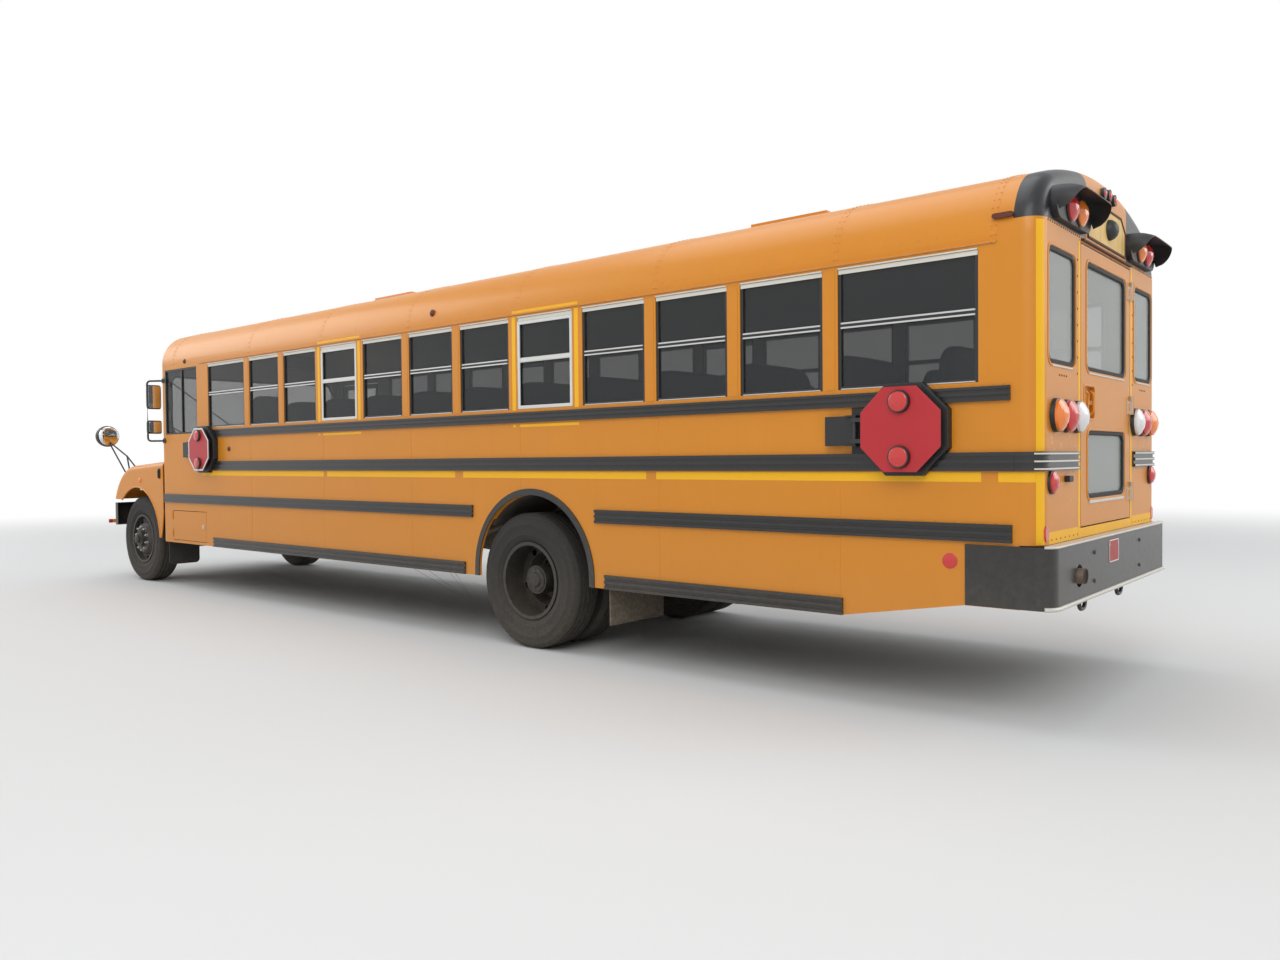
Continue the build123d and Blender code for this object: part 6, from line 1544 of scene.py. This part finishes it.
@dataclass
class Seats(Dress):
    """Vinyl benches with crowned backs and cushions on tube legs, and the driver's seat."""

    rows: int = 12
    first: float = -3.330
    pitch: float = 0.690
    inner: float = 0.185
    outer: float = 1.150
    floor: float = 1.030
    rail_low: float = 1.332
    rail_top: float = 1.350
    back: Quad = (0.0475, 1.715, 0.093, 0.725)
    seat: Quad = (0.300, 1.402, 0.392, 0.108)
    legs: Pair = (0.047, 0.430)
    rail: Pair = (0.06, 0.46)
    tube_half: float = 0.014
    driver: Pair = (along(5.330), 0.480)
    pedestal: Pairs = ((0.0, 0.0), (0.150, 0.0), (0.150, 0.012), (0.070, 0.050), (0.062, 0.220), (0.120, 0.270),
                       (0.120, 0.300), (0.0, 0.300))

    def _leg(self, x: float, y: float) -> Shape:
        """Square tube leg with a foot plate.

        Args:
            x: of its middle.
            y: of its middle.

        Returns:
            The leg.
        """
        half = self.tube_half
        return blocks([((x - half, y - half, self.floor), (x + half, y + half, self.rail_top)),
                       ((x - 0.040, y - 0.030, self.floor), (x + 0.040, y + 0.030, self.floor + 0.005))])

    def build(self) -> None:
        """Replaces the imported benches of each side."""
        wide, half = self.outer - self.inner, self.tube_half
        (back_x, back_z, deep, tall), (seat_x, seat_z, long, thick) = self.back, self.seat
        for side, word in SIDES:
            middle, leg_y = side * (self.inner + self.outer) / 2, side * (self.inner + 0.060)
            backs, pads, legs = [], [], []
            for row in range(self.rows):
                x = along(self.first + row * self.pitch)
                backs.append(cushion((x + back_x, middle, back_z), (deep, wide - 0.006, tall), 5.5, 3.4))
                pads.append(self._pad((x + seat_x, middle, seat_z), (long, wide - 0.010, thick)))
                legs += [self._leg(x + ahead, leg_y) for ahead in self.legs]
                legs.append(blocks([((x + self.rail[0], leg_y - half, self.rail_low),
                                     (x + self.rail[1], leg_y + half, self.rail_top))]))
            backrest = self.fit(f"seat_backs_{word}", backs, Coat.VINYL, slot="seat_vinyl", sharp=70.0)
            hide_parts(f"seats_{word}")
            pad = self.fit(f"seat_cushions_{word}", pads, Coat.VINYL, slot="seat_vinyl", sharp=70.0)
            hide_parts(f"seats_{word}")
            frames = self.fit(f"seat_legs_{word}", legs, Coat.ENAMEL, smooth=False, bevel=0.002)
            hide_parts(f"seats_{word}")
        self._driver()

    @staticmethod
    def _pad(centre: Vec, size: Vec) -> Shape:
        """Seat cushion that lies flat: the upright pad with its axes turned round.

        Args:
            centre: middle of the cushion.
            size: length, width and thickness.

        Returns:
            The closed pad.
        """
        upright = cushion((0, 0, 0), (size[2], size[1], size[0]), 5.0, 3.4)
        points = np.stack([upright.points[:, 2], upright.points[:, 1], -upright.points[:, 0]], axis=-1)
        return Shape(points + np.asarray(centre, float), upright.faces)

    def _driver(self) -> None:
        """Driver's seat: back, cushion and a pedestal with a waisted profile."""
        x, y = self.driver
        back = self.fit("driver_back", cushion((x - 0.235, y, 1.780), (0.108, 0.466, 0.890), 4.6, 3.0),
                        Coat.VINYL, slot="seat_vinyl", sharp=70.0)
        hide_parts("driver_seat")
        pad = self.fit("driver_cushion", self._pad((x, y, 1.390), (0.476, 0.476, 0.118)), Coat.VINYL,
                       slot="seat_vinyl", sharp=70.0)
        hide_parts("driver_seat")
        stand = self.fit("driver_pedestal", turned(self.pedestal, (x, y, self.floor), "z", 1), Coat.ENAMEL)
        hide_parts("driver_seat")


@dataclass
class NoseDress(Dress):
    """Headlamps, wing mirrors' faces, arch lips, bonnet catches and marker lamps."""

    brow_centre: Pair = (7.115, 0.808)
    brow_radius: float = 0.618
    lamp: Quad = (0.640, 1.180, 0.250, 0.150)
    lamp_back: float = along(7.490)
    cover: Pairs = ((0.0045, 1.0), (0.0030, 0.985), (0.0030, 0.6), (0.0030, 0.0), (0.0080, 0.0), (0.0080, 0.6),
                    (0.0080, 0.985))
    bowl_out: float = 0.060
    mirror_spot: Triple = (along(7.850) - 0.0470, 1.200, 1.805)
    marker: Pair = (along(6.900), 1.245)
    catch_x: float = along(6.360)
    catches: tuple[tuple[float, ...], ...] = (
        (0.050, 0.120, 0.016, -0.001, 1.330, 0.010), (0.026, 0.090, 0.012, 0.008, 1.325, 0.012))
    arch: float = 0.640
    wing: float = 1.195
    mirror: Pairs = ((0.0, 0.0), (0.121, 0.0), (0.121, 0.003), (0.112, 0.008), (0.090, 0.014), (0.060, 0.019),
                     (0.030, 0.022), (0.0, 0.023))
    bowl: Pairs = ((0.0, 0.002), (0.020, 0.004), (0.036, 0.012), (0.048, 0.024), (0.054, 0.036), (0.058, 0.036),
                   (0.056, 0.006), (0.0, -0.002))
    bulb: Pairs = ((0.0, 0.0), (0.012, 0.0), (0.012, 0.016), (0.008, 0.024), (0.0, 0.027))

    def _face(self, z: np.ndarray, inset: float) -> np.ndarray:
        """X of the wing's brow at height z, drawn in by inset: a circle about brow_centre."""
        cx, cz = self.brow_centre
        return along(0) + cx + np.sqrt((self.brow_radius - inset) ** 2 - (z - cz) ** 2)

    def build(self) -> None:
        """Fits everything that tilts with the nose."""
        self._headlamps()
        x, y, z = self.mirror_spot
        faces = [turned(self.mirror, (x, side * y, z), "x", -1, 40) for side, _ in SIDES]
        self.fit("wing_mirror_faces", faces, Coat.MIRROR, "nose", slot="mirror_black")
        self.fit("arch_lips", [self._lip(side) for side, _ in SIDES], Coat.PANEL, "nose")
        catches = [slab(rounded(wide, high, r), (self.catch_x, side * (self.wing + out), z), side_plane(side), deep)
                   for side, _ in SIDES for wide, high, r, out, z, deep in self.catches]
        self.fit("bonnet_catches", catches, Coat.RUBBER, "nose", bevel=0.003)
        x, z = self.marker
        lamps = [lens((x, side * (self.wing - 0.001), z), "y", side, 0.030, 0.018, 24) for side, _ in SIDES]
        self.fit("wing_markers", lamps, Coat.AMBER_LENS, "nose")

    def _lip(self, side: int) -> Shape:
        """Rolled edge of the wheel arch: a bar along the arc from the foot to the bumper.

        Args:
            side: 1 for the left wing, -1 for the right one.

        Returns:
            The bar.
        """
        turn = np.radians(np.linspace(49.0, 176.0, 44))
        x = FRONT_AXLE + self.arch * np.cos(turn)
        path = np.stack([x, np.full_like(x, side * (self.wing - 0.002)), HUB_Z + self.arch * np.sin(turn)], axis=-1)
        return tube(path, 0.010, 10)

    def _headlamps(self) -> None:
        """Lens that follows the brow, reflector tray and two bowls behind it, on each side."""
        inner, height, wide, high = self.lamp
        back = self.lamp_back
        edge = rounded(wide - 0.006, high - 0.006, 0.016, 5)
        covers, trays, bowls, bulbs = [], [], [], []
        for side, _ in SIDES:
            middle = side * (inner + wide / 2)

            def ring(share: float, x: np.ndarray | float) -> np.ndarray:
                """The lamp's outline drawn in to a share of its size, at x."""
                spot = edge * share + (middle, height)
                return np.stack([x + np.zeros(len(edge)), spot[:, 0], spot[:, 1]], axis=-1)

            covers.append(grid(np.array([ring(share, self._face(height + edge[:, 1] * share, inset))
                                         for inset, share in self.cover]), wrap_u=True, wrap_v=True))
            brow = self._face(height + edge[:, 1], 0.010)
            trays.append(grid(np.array([ring(share, x) for share, x in (
                (0.0, back), (0.90, back), (0.97, brow), (0.995, brow), (0.995, back - 0.006),
                (0.0, back - 0.006))]), wrap_v=True))
            for dy in (-self.bowl_out, self.bowl_out):
                bowls.append(turned(self.bowl, (back + 0.002, middle + dy, height), "x", 1, 28))
                bulbs.append(turned(self.bulb, (back + 0.004, middle + dy, height), "x", 1, 16))
        for name, shapes, coat in (("headlamp_covers", covers, Coat.HEADLAMP), ("headlamp_trays", trays, Coat.STEEL),
                                   ("headlamp_bowls", bowls, Coat.MIRROR), ("headlamp_bulbs", bulbs, Coat.WHITE_LENS)):
            piece = self.fit(name, shapes, coat, "nose", slot="headlamp_lens")
            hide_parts("headlamps")


@dataclass
class ScreenDress(Dress):
    """Rubber round the windscreen, wipers on their pivots and the rear-view mirrors beside it."""

    bow: float = 0.190
    low: float = 1.790
    top: float = 2.500
    half: float = 1.075
    corner: float = 0.090
    mirror_x: float = along(6.330)
    mirror_y: float = 1.255
    foot_x: float = along(6.166)
    loop_z: Pair = (2.420, 1.715)
    shells: tuple[Triple, ...] = ((2.235, 0.290, 0.050), (1.880, 0.160, 0.060))
    arm: tuple[Triple, ...] = (
        (0.760, 0.0, -0.050), (0.660, -0.030, 0.010), (0.330, -0.022, 0.075))
    blade: Pair = (0.620, 0.040)
    cap: Pairs = ((0.0, -0.004), (0.022, -0.004), (0.022, 0.014), (0.012, 0.022), (0.0, 0.024))

    def _front(self, y: np.ndarray | float, inset: float = 0.0) -> np.ndarray:
        """X of the bowed front at width y: an arc through both corners and bow ahead of them."""
        radius = (SKIN ** 2 + self.bow ** 2) / (2 * self.bow)
        return NOSE - inset + self.bow - (radius - np.sqrt(radius ** 2 - np.square(y)))

    def build(self) -> None:
        """Fits rubber, wipers and mirrors."""
        outline = rounded(2 * self.half - 0.024, self.top - self.low - 0.024, self.corner - 0.012, 8)
        dense = np.concatenate([np.linspace(a, b, 8, endpoint=False)
                                for a, b in zip(outline, np.roll(outline, -1, axis=0))])
        middle = (self.low + self.top) / 2
        path = np.stack([self._front(dense[:, 0], 0.014), dense[:, 0], middle + dense[:, 1]], axis=-1)
        self.fit("screen_rubber", tube(path, 0.014, 8, closed=True), Coat.RUBBER)
        self._wipers()
        self._mirrors()

    def _wipers(self) -> None:
        """Arm, blade and pivot cap of each wiper, lying along the glass."""
        arms, blades = [], []
        reach, _, rise = self.arm[-1]
        for side, _ in SIDES:
            pivot, elbow, tip = (np.array([float(self._front(side * y, inset)), side * y, self.low + up])
                                 for y, inset, up in self.arm)
            arms.append(tube(arc_path([pivot + (0.004, 0, 0), elbow, tip], 0.03, 5), 0.006, 8))
            arms.append(turned(self.cap, pivot, "x", 1, 20))
            y = np.linspace(side * self.blade[0], side * self.blade[1], 14)
            z = self.low + rise + 0.10 * side * (side * reach - y)
            blades.append(tube(np.stack([self._front(y, -0.004), y, z], axis=-1), 0.007, 6))
        self.fit("wiper_arms", arms, Coat.ENAMEL)
        self.fit("wiper_blades", blades, Coat.RUBBER)

    def _mirrors(self) -> None:
        """Loop bracket, two rounded shells and their glasses on each side."""
        loops, shells, glasses = [], [], []
        x, foot, (high, low) = self.mirror_x, self.foot_x, self.loop_z
        for side, _ in SIDES:
            out, wall = side * (self.mirror_y + 0.074), side * (SKIN + 0.010)
            loops.append(tube(arc_path([(foot, wall, high), (x, out, high), (x, out, low), (foot, wall, low)],
                                       0.045, 8), 0.011, 14))
            loops += [slab(rounded(0.056, 0.056, 0.012), (foot, side * (SKIN + 0.0002), z), side_plane(side), 0.012)
                      for z in self.loop_z]
            for z, tall, deep in self.shells:
                y = side * self.mirror_y
                shells.append(cushion((x, y, z), (deep, 0.170, tall), 8.0, 3.0, 40))
                glasses.append(slab(rounded(0.140, tall - 0.030, 0.022), (x - deep / 2 + 0.0035, y, z), REAR, 0.0042))
        for name, shapes, coat in (("mirror_loops", loops, Coat.ENAMEL), ("mirror_shells", shells, Coat.MOULDED)):
            piece = self.fit(name, shapes, coat, slot="mirror_black")
            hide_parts("side_mirrors")
        piece = self.fit("mirror_glasses", glasses, Coat.MIRROR, slot="mirror_black", bevel=0.001)
        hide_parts("side_mirrors")


@dataclass
class DoorDress(Dress):
    """Rubber edges and push plates of the entrance, catches of the small doors, tip of the crossing gate."""

    leaf_y: float = -1.188
    low: float = 0.430
    top: float = 2.470
    meeting: float = along(5.725)
    plate: Pair = (1.262, 1.318)
    catch: Pairs = ((0.0, -0.001), (0.026, -0.001), (0.026, 0.004), (0.018, 0.006), (0.0, 0.006))
    catches: tuple[tuple[str, float, float, int], ...] = (
        ("battery", along(5.235), 0.7325, 1), ("fuel", along(-2.180), 0.785, -1))
    gate_tip: Triple = (along(7.810), 1.195, 0.715)

    def build(self) -> None:
        """Fits each piece on the door it moves with."""
        y = np.array([-0.017, -0.010, 0.0, 0.010, 0.017])
        for body, way in (("entrance_front", 1), ("entrance_rear", -1)):
            x = self.meeting + way * 0.004
            bulge = x - way * 0.0035 * np.array([0.0, 0.7, 1.0, 0.7, 0.0])
            section = np.stack([np.concatenate([bulge, np.full(5, x + way * 0.006)]),
                                self.leaf_y + np.concatenate([y, y[::-1]]), np.zeros(10)], axis=-1)
            self.fit(f"{body}_edge", capped(np.array([section + (0, 0, z) for z in (self.low, self.top)])),
                     Coat.RUBBER, body)
            rail_x, (low, high) = x + way * 0.180, self.plate
            bar = blocks([((rail_x - 0.130, self.leaf_y - 0.0185, low), (rail_x + 0.130, self.leaf_y - 0.0165, high))])
            self.fit(f"{body}_plate", bar, Coat.ENAMEL, body, smooth=False, bevel=0.001)
        for word, x, z, side in self.catches:
            disc = turned(self.catch, (x, side * SKIN, z), "y", side, 28)
            self.fit(f"{word}_catch", disc, Coat.STEEL, f"{word}_door")
        tip = cushion(self.gate_tip, (0.026, 0.048, 0.049), 6.0, 4.0, 28, 12)
        self.fit("gate_tip", tip, Coat.SIGN_RED, "crossing_gate")


@dataclass
class WearAndHighlight(Dress):
    """Pale strips on the ridges at the ends of the second rail, partly bare worn steel and partly a painted highlight
    on each rib's crest, and chips where the paint has gone round the tail lamps.
    """

    ridges: tuple[float, ...] = (1.3800, 1.4196, 1.4592)
    ridge_high: float = 0.0085
    proud: float = 0.018
    inner: float = 0.604
    seed: int = 7
    spots: tuple[Triple, ...] = (
        (1.040, 1.545, 0.016), (1.028, 1.515, 0.013), (0.905, 1.540, 0.012), (0.885, 1.505, 0.015),
        (0.870, 1.487, 0.010), (0.740, 1.552, 0.013), (0.728, 1.520, 0.012), (0.640, 1.500, 0.011),
        (0.660, 1.352, 0.012), (0.800, 1.357, 0.009), (0.960, 1.354, 0.011), (0.700, 1.205, 0.008),
        (0.770, 1.185, 0.009), (1.000, 1.480, 0.010))

    def build(self) -> None:
        """Fits the ridge strips, worn steel with a painted highlight, and the chips."""
        # Pale strips on the rib crests: partly worn bare steel, partly a painted highlight where light catches the
        # crests.
        self.fit("rail_wear_and_highlight", [self._ridge(side, z) for side, _ in SIDES for z in self.ridges], Coat.BARE_STEEL,
                 smooth=False)
        draw, chips = np.random.default_rng(self.seed), []
        for side, _ in SIDES:
            for y, z, size in self.spots:
                turn = np.sort(draw.uniform(0.0, 2 * math.pi, 3))
                angles = np.sort(np.concatenate([turn, np.arange(4) * math.pi / 2 + 0.4]))
                reach = size * draw.uniform(0.35, 0.75, len(angles))
                outline = np.stack([np.cos(angles) * reach * 0.55, np.sin(angles) * reach * 1.5], axis=-1)
                chips.append(slab(outline, (TAIL, side * y, z), REAR, 0.0007))
        self.fit("paint_chips", chips, Coat.PALE_TRIM, smooth=False)

    def _ridge(self, side: int, z: float) -> Shape:
        """Thin pale strip on one ridge, bare worn steel and a painted highlight: across the rear face and part way
        round the corner.

        Args:
            side: 1 for the left end, -1 for the right one.
            z: the ridge's height.

        Returns:
            The strip.
        """
        turn, half = np.radians(np.linspace(90.0, 34.0, 9)), self.ridge_high / 2
        rings = []
        for r in (TAIL_R + self.proud - 0.0004, TAIL_R + self.proud + 0.0006):
            x = np.concatenate([[TAIL + TAIL_R - r] * 2, TAIL + TAIL_R - r * np.sin(turn[1:])])
            y = np.concatenate([[self.inner, SKIN - TAIL_R], SKIN - TAIL_R + r * np.cos(turn[1:])])
            rings.append(np.stack([x, side * y, np.zeros_like(x)], axis=-1))
        under, over = (0, 0, z - half), (0, 0, z + half)
        return capped(np.array([rings[0] + under, rings[1] + under, rings[1] + over, rings[0] + over]
                               ).transpose(1, 0, 2))


@dataclass
class PodDress(Dress):
    """Warning lamp housings: a boxed base on the wall and a hood that juts out over both lenses."""

    inner: float = 0.430
    outer: float = 1.050
    low: float = 2.685
    top: float = 2.860
    corner: float = 0.080
    base: float = 0.030
    sheet: float = 0.006
    droop: float = 0.034
    places: tuple[tuple[float, int, float, float], ...] = ((TAIL, -1, 0.110, 0.130), (NOSE + 0.140, 1, 0.120, 0.120))

    def build(self) -> None:
        """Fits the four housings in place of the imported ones."""
        bases, hoods = [], []
        outline = rounded(self.outer - self.inner, self.top - self.low, self.corner, 8)
        for side, _ in SIDES:
            middle = side * (self.inner + self.outer) / 2
            for face, way, root, reach in self.places:
                start = (face - way * root, middle, (self.low + self.top) / 2)
                bases.append(slab(outline, start, ((0, way, 0), (0, 0, 1)), root + self.base))
                hoods.append(self._hood(face + way * (self.base - 0.004), way, middle, reach))
        for name, shapes, bevel in (("pod_bases", bases, 0.003), ("pod_hoods", hoods, 0.0)):
            piece = self.fit(name, shapes, Coat.MOULDED, bevel=bevel)
            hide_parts("warning_pods")

    def _hood(self, x: float, way: int, middle: float, reach: float) -> Shape:
        """Shell over the upper half of the base, longest in the middle and rounded to both sides.

        With t from -1 to 1 across it, its length is reach (0.1 + 0.9 (1 - |t| ^ 3) ^ 0.6), and it
        droops with the square of the distance from the wall.

        Args:
            x: where it starts.
            way: 1 or -1, the way it juts out.
            middle: y of its middle.
            reach: its greatest length.

        Returns:
            The closed shell.
        """
        half, r = (self.outer - self.inner) / 2, self.corner
        turn = np.linspace(-0.35, math.pi / 2, 12)
        arc = np.stack([half - r + r * np.cos(turn), self.top - r + r * np.sin(turn)], axis=-1)
        flat = np.stack([np.linspace(half - r, r - half, 14)[1:-1], np.full(12, self.top)], axis=-1)
        line = np.concatenate([arc, flat, (arc * (-1.0, 1.0))[::-1]])
        inward = np.array([0.0, self.top - r]) - line
        beyond = np.abs(line[:, 0]) - half + r
        inward[:, 0] = np.where(beyond < 0, 0.0, -np.sign(line[:, 0]) * beyond)
        inward /= np.linalg.norm(inward, axis=1)[:, None]
        share = np.linspace(0.0, 1.0, 7)
        length = reach * (0.10 + 0.90 * (1.0 - np.abs(np.linspace(-1.0, 1.0, len(line))) ** 3.0) ** 0.60)
        rows = []
        for shift, order in ((0.0, share), (self.sheet, share[::-1])):
            spot = line + inward * shift
            rows += [np.stack([x + way * (length * v), middle + spot[:, 0], spot[:, 1] - self.droop * v * v], axis=-1)
                     for v in order]
        return capped(np.array(rows).transpose(1, 0, 2))


@dataclass
class Studio:
    """Pale cyclorama, soft lights and the camera of the photograph."""

    eye: Triple = (REAR_AXLE - 5.436, 6.249, 1.453)
    yaw: float = -49.717
    pitch: float = -1.273
    roll: float = -0.547
    lens: float = 27.08
    wall_radius: float = 34.0
    bend: float = 9.0
    wall_height: float = 26.0
    white_from: float = 9.0
    lights: tuple[tuple[str, Vec, float, float], ...] = (
        ("key", (-10.0, 13.0, 11.0), 10.0, 1050.0), ("fill", (-15.0, -9.0, 8.0), 9.0, 650.0),
        ("front", (14.0, 6.0, 9.0), 9.0, 600.0), ("top", (0.0, 0.0, 15.0), 14.0, 850.0))

    def build(self) -> None:
        """Makes the backdrop, the lights, the world and the camera."""
        self._backdrop()
        self._lights()
        self._world()
        self._camera()
        bpy.context.scene.view_settings.view_transform = "Standard"
        log.info("studio is up")

    def _backdrop(self) -> None:
        """Round floor that bends up into a wall: a profile of a disc, a quarter arc and a cylinder."""
        r0 = self.wall_radius - self.bend
        profile = [(0.0, 0.0), (r0 * 0.5, 0.0)]
        profile += [(r0 + self.bend * math.sin(t), self.bend * (1 - math.cos(t)))
                    for t in np.linspace(0, math.pi / 2, 14)]
        profile += [(self.wall_radius, self.wall_height)]
        shape = lathe(profile, (0, 0, -0.0005), "z", 96)
        mesh = bpy.data.meshes.new("studio_floor")
        mesh.from_pydata(shape.points.tolist(), [], shape.faces)
        mesh.validate()
        floor = bpy.data.objects.new("studio_floor", mesh)
        bpy.context.scene.collection.objects.link(floor)
        mesh.polygons.foreach_set("use_smooth", np.ones(len(mesh.polygons), bool))
        material = bpy.data.materials.new("studio_pale")
        material.use_nodes = True
        self._whiten(Wiring(material.node_tree))
        mesh.materials.append(material)

    def _whiten(self, wire: Wiring) -> None:
        """Pale floor that turns plain white far out, to the eye, in mirrors and through glass.

        Args:
            wire: the floor material's wiring.
        """
        skin, out = (wire.tree.nodes[name] for name in ("Principled BSDF", "Material Output"))
        wire.feed(skin, {"Base Color": (0.72, 0.72, 0.71, 1), "Roughness": 0.9, "Specular IOR Level": 0.1})
        flat = wire.add("ShaderNodeVectorMath", {0: wire.place()[0], 1: (1.0, 1.0, 0.0)}, operation="MULTIPLY")
        far = wire.add("ShaderNodeVectorMath", {0: flat.outputs[0]}, operation="LENGTH")
        rise = wire.add("ShaderNodeMapRange", {"Value": far.outputs["Value"], "From Min": self.white_from,
                                               "From Max": self.wall_radius - self.bend - 1.0},
                        interpolation_type="SMOOTHSTEP")
        path = wire.add("ShaderNodeLightPath").outputs
        seen = wire.calc("MAXIMUM", path["Is Camera Ray"], path["Is Glossy Ray"])
        seen = wire.calc("MAXIMUM", seen, path["Is Transmission Ray"])
        glow = wire.add("ShaderNodeEmission", {"Color": (1, 1, 1, 1), "Strength": 1.0})
        mix = wire.add("ShaderNodeMixShader", {"Fac": wire.calc("MULTIPLY", seen, rise.outputs["Result"]),
                                               1: skin.outputs[0], 2: glow.outputs[0]})
        wire.feed(out, {"Surface": mix.outputs[0]})

    def _lights(self) -> None:
        """Four soft panels: a high key on the driver's side, one behind, one ahead and one above."""
        for name, place, size, watts in self.lights:
            data = bpy.data.lights.new(name, "AREA")
            data.shape = "SQUARE"
            data.size = size
            data.energy = watts
            lamp = bpy.data.objects.new(name, data)
            lamp.location = place
            aim = Vector((0.0, 0.0, 1.2)) - Vector(place)
            lamp.rotation_euler = aim.to_track_quat("-Z", "Y").to_euler()
            bpy.context.scene.collection.objects.link(lamp)

    def _world(self) -> None:
        """Even pale sky, the same in every direction."""
        world = bpy.data.worlds.new("studio_sky")
        world.use_nodes = True
        Wiring(world.node_tree).feed(world.node_tree.nodes["Background"],
                                     {"Color": (0.92, 0.95, 1.0, 1), "Strength": 0.62})
        bpy.context.scene.world = world

    def _camera(self) -> None:
        """Camera where the photograph was taken, turned by yaw, pitch and roll."""
        yaw, pitch, roll = (math.radians(v) for v in (self.yaw, self.pitch, self.roll))
        ahead = Vector((math.cos(pitch) * math.cos(yaw), math.cos(pitch) * math.sin(yaw), math.sin(pitch)))
        side = Vector((math.sin(yaw), -math.cos(yaw), 0.0))
        top = side.cross(ahead)
        level = math.cos(roll) * side + math.sin(roll) * top
        upright = -math.sin(roll) * side + math.cos(roll) * top
        data = bpy.data.cameras.new("photo_view")
        data.lens = self.lens
        data.sensor_width = 36.0
        data.clip_end = 400.0
        camera = bpy.data.objects.new("photo_view", data)
        camera.matrix_world = Matrix.Translation(self.eye) @ Matrix((level, upright, -ahead)).transposed().to_4x4()
        bpy.context.scene.collection.objects.link(camera)
        bpy.context.scene.camera = camera


def main() -> None:
    """Builds every part of the dressed bus in order."""
    logging.basicConfig(level=logging.INFO, format="%(name)s: %(message)s")
    for thing in list(bpy.data.objects):
        bpy.data.objects.remove(thing)
    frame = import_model()
    shop = Paintshop()
    shop.dress(frame["nodes"])
    Studio().build()
    for part in (SideTrim, RoofTrim, TailDress, BumperDress, StopSigns, FrontFlap, Tyres, WheelFaces, Seats,
                 NoseDress, ScreenDress, DoorDress, WearAndHighlight, PodDress):
        part(shop).build()


if __name__ == "__main__":
    main()
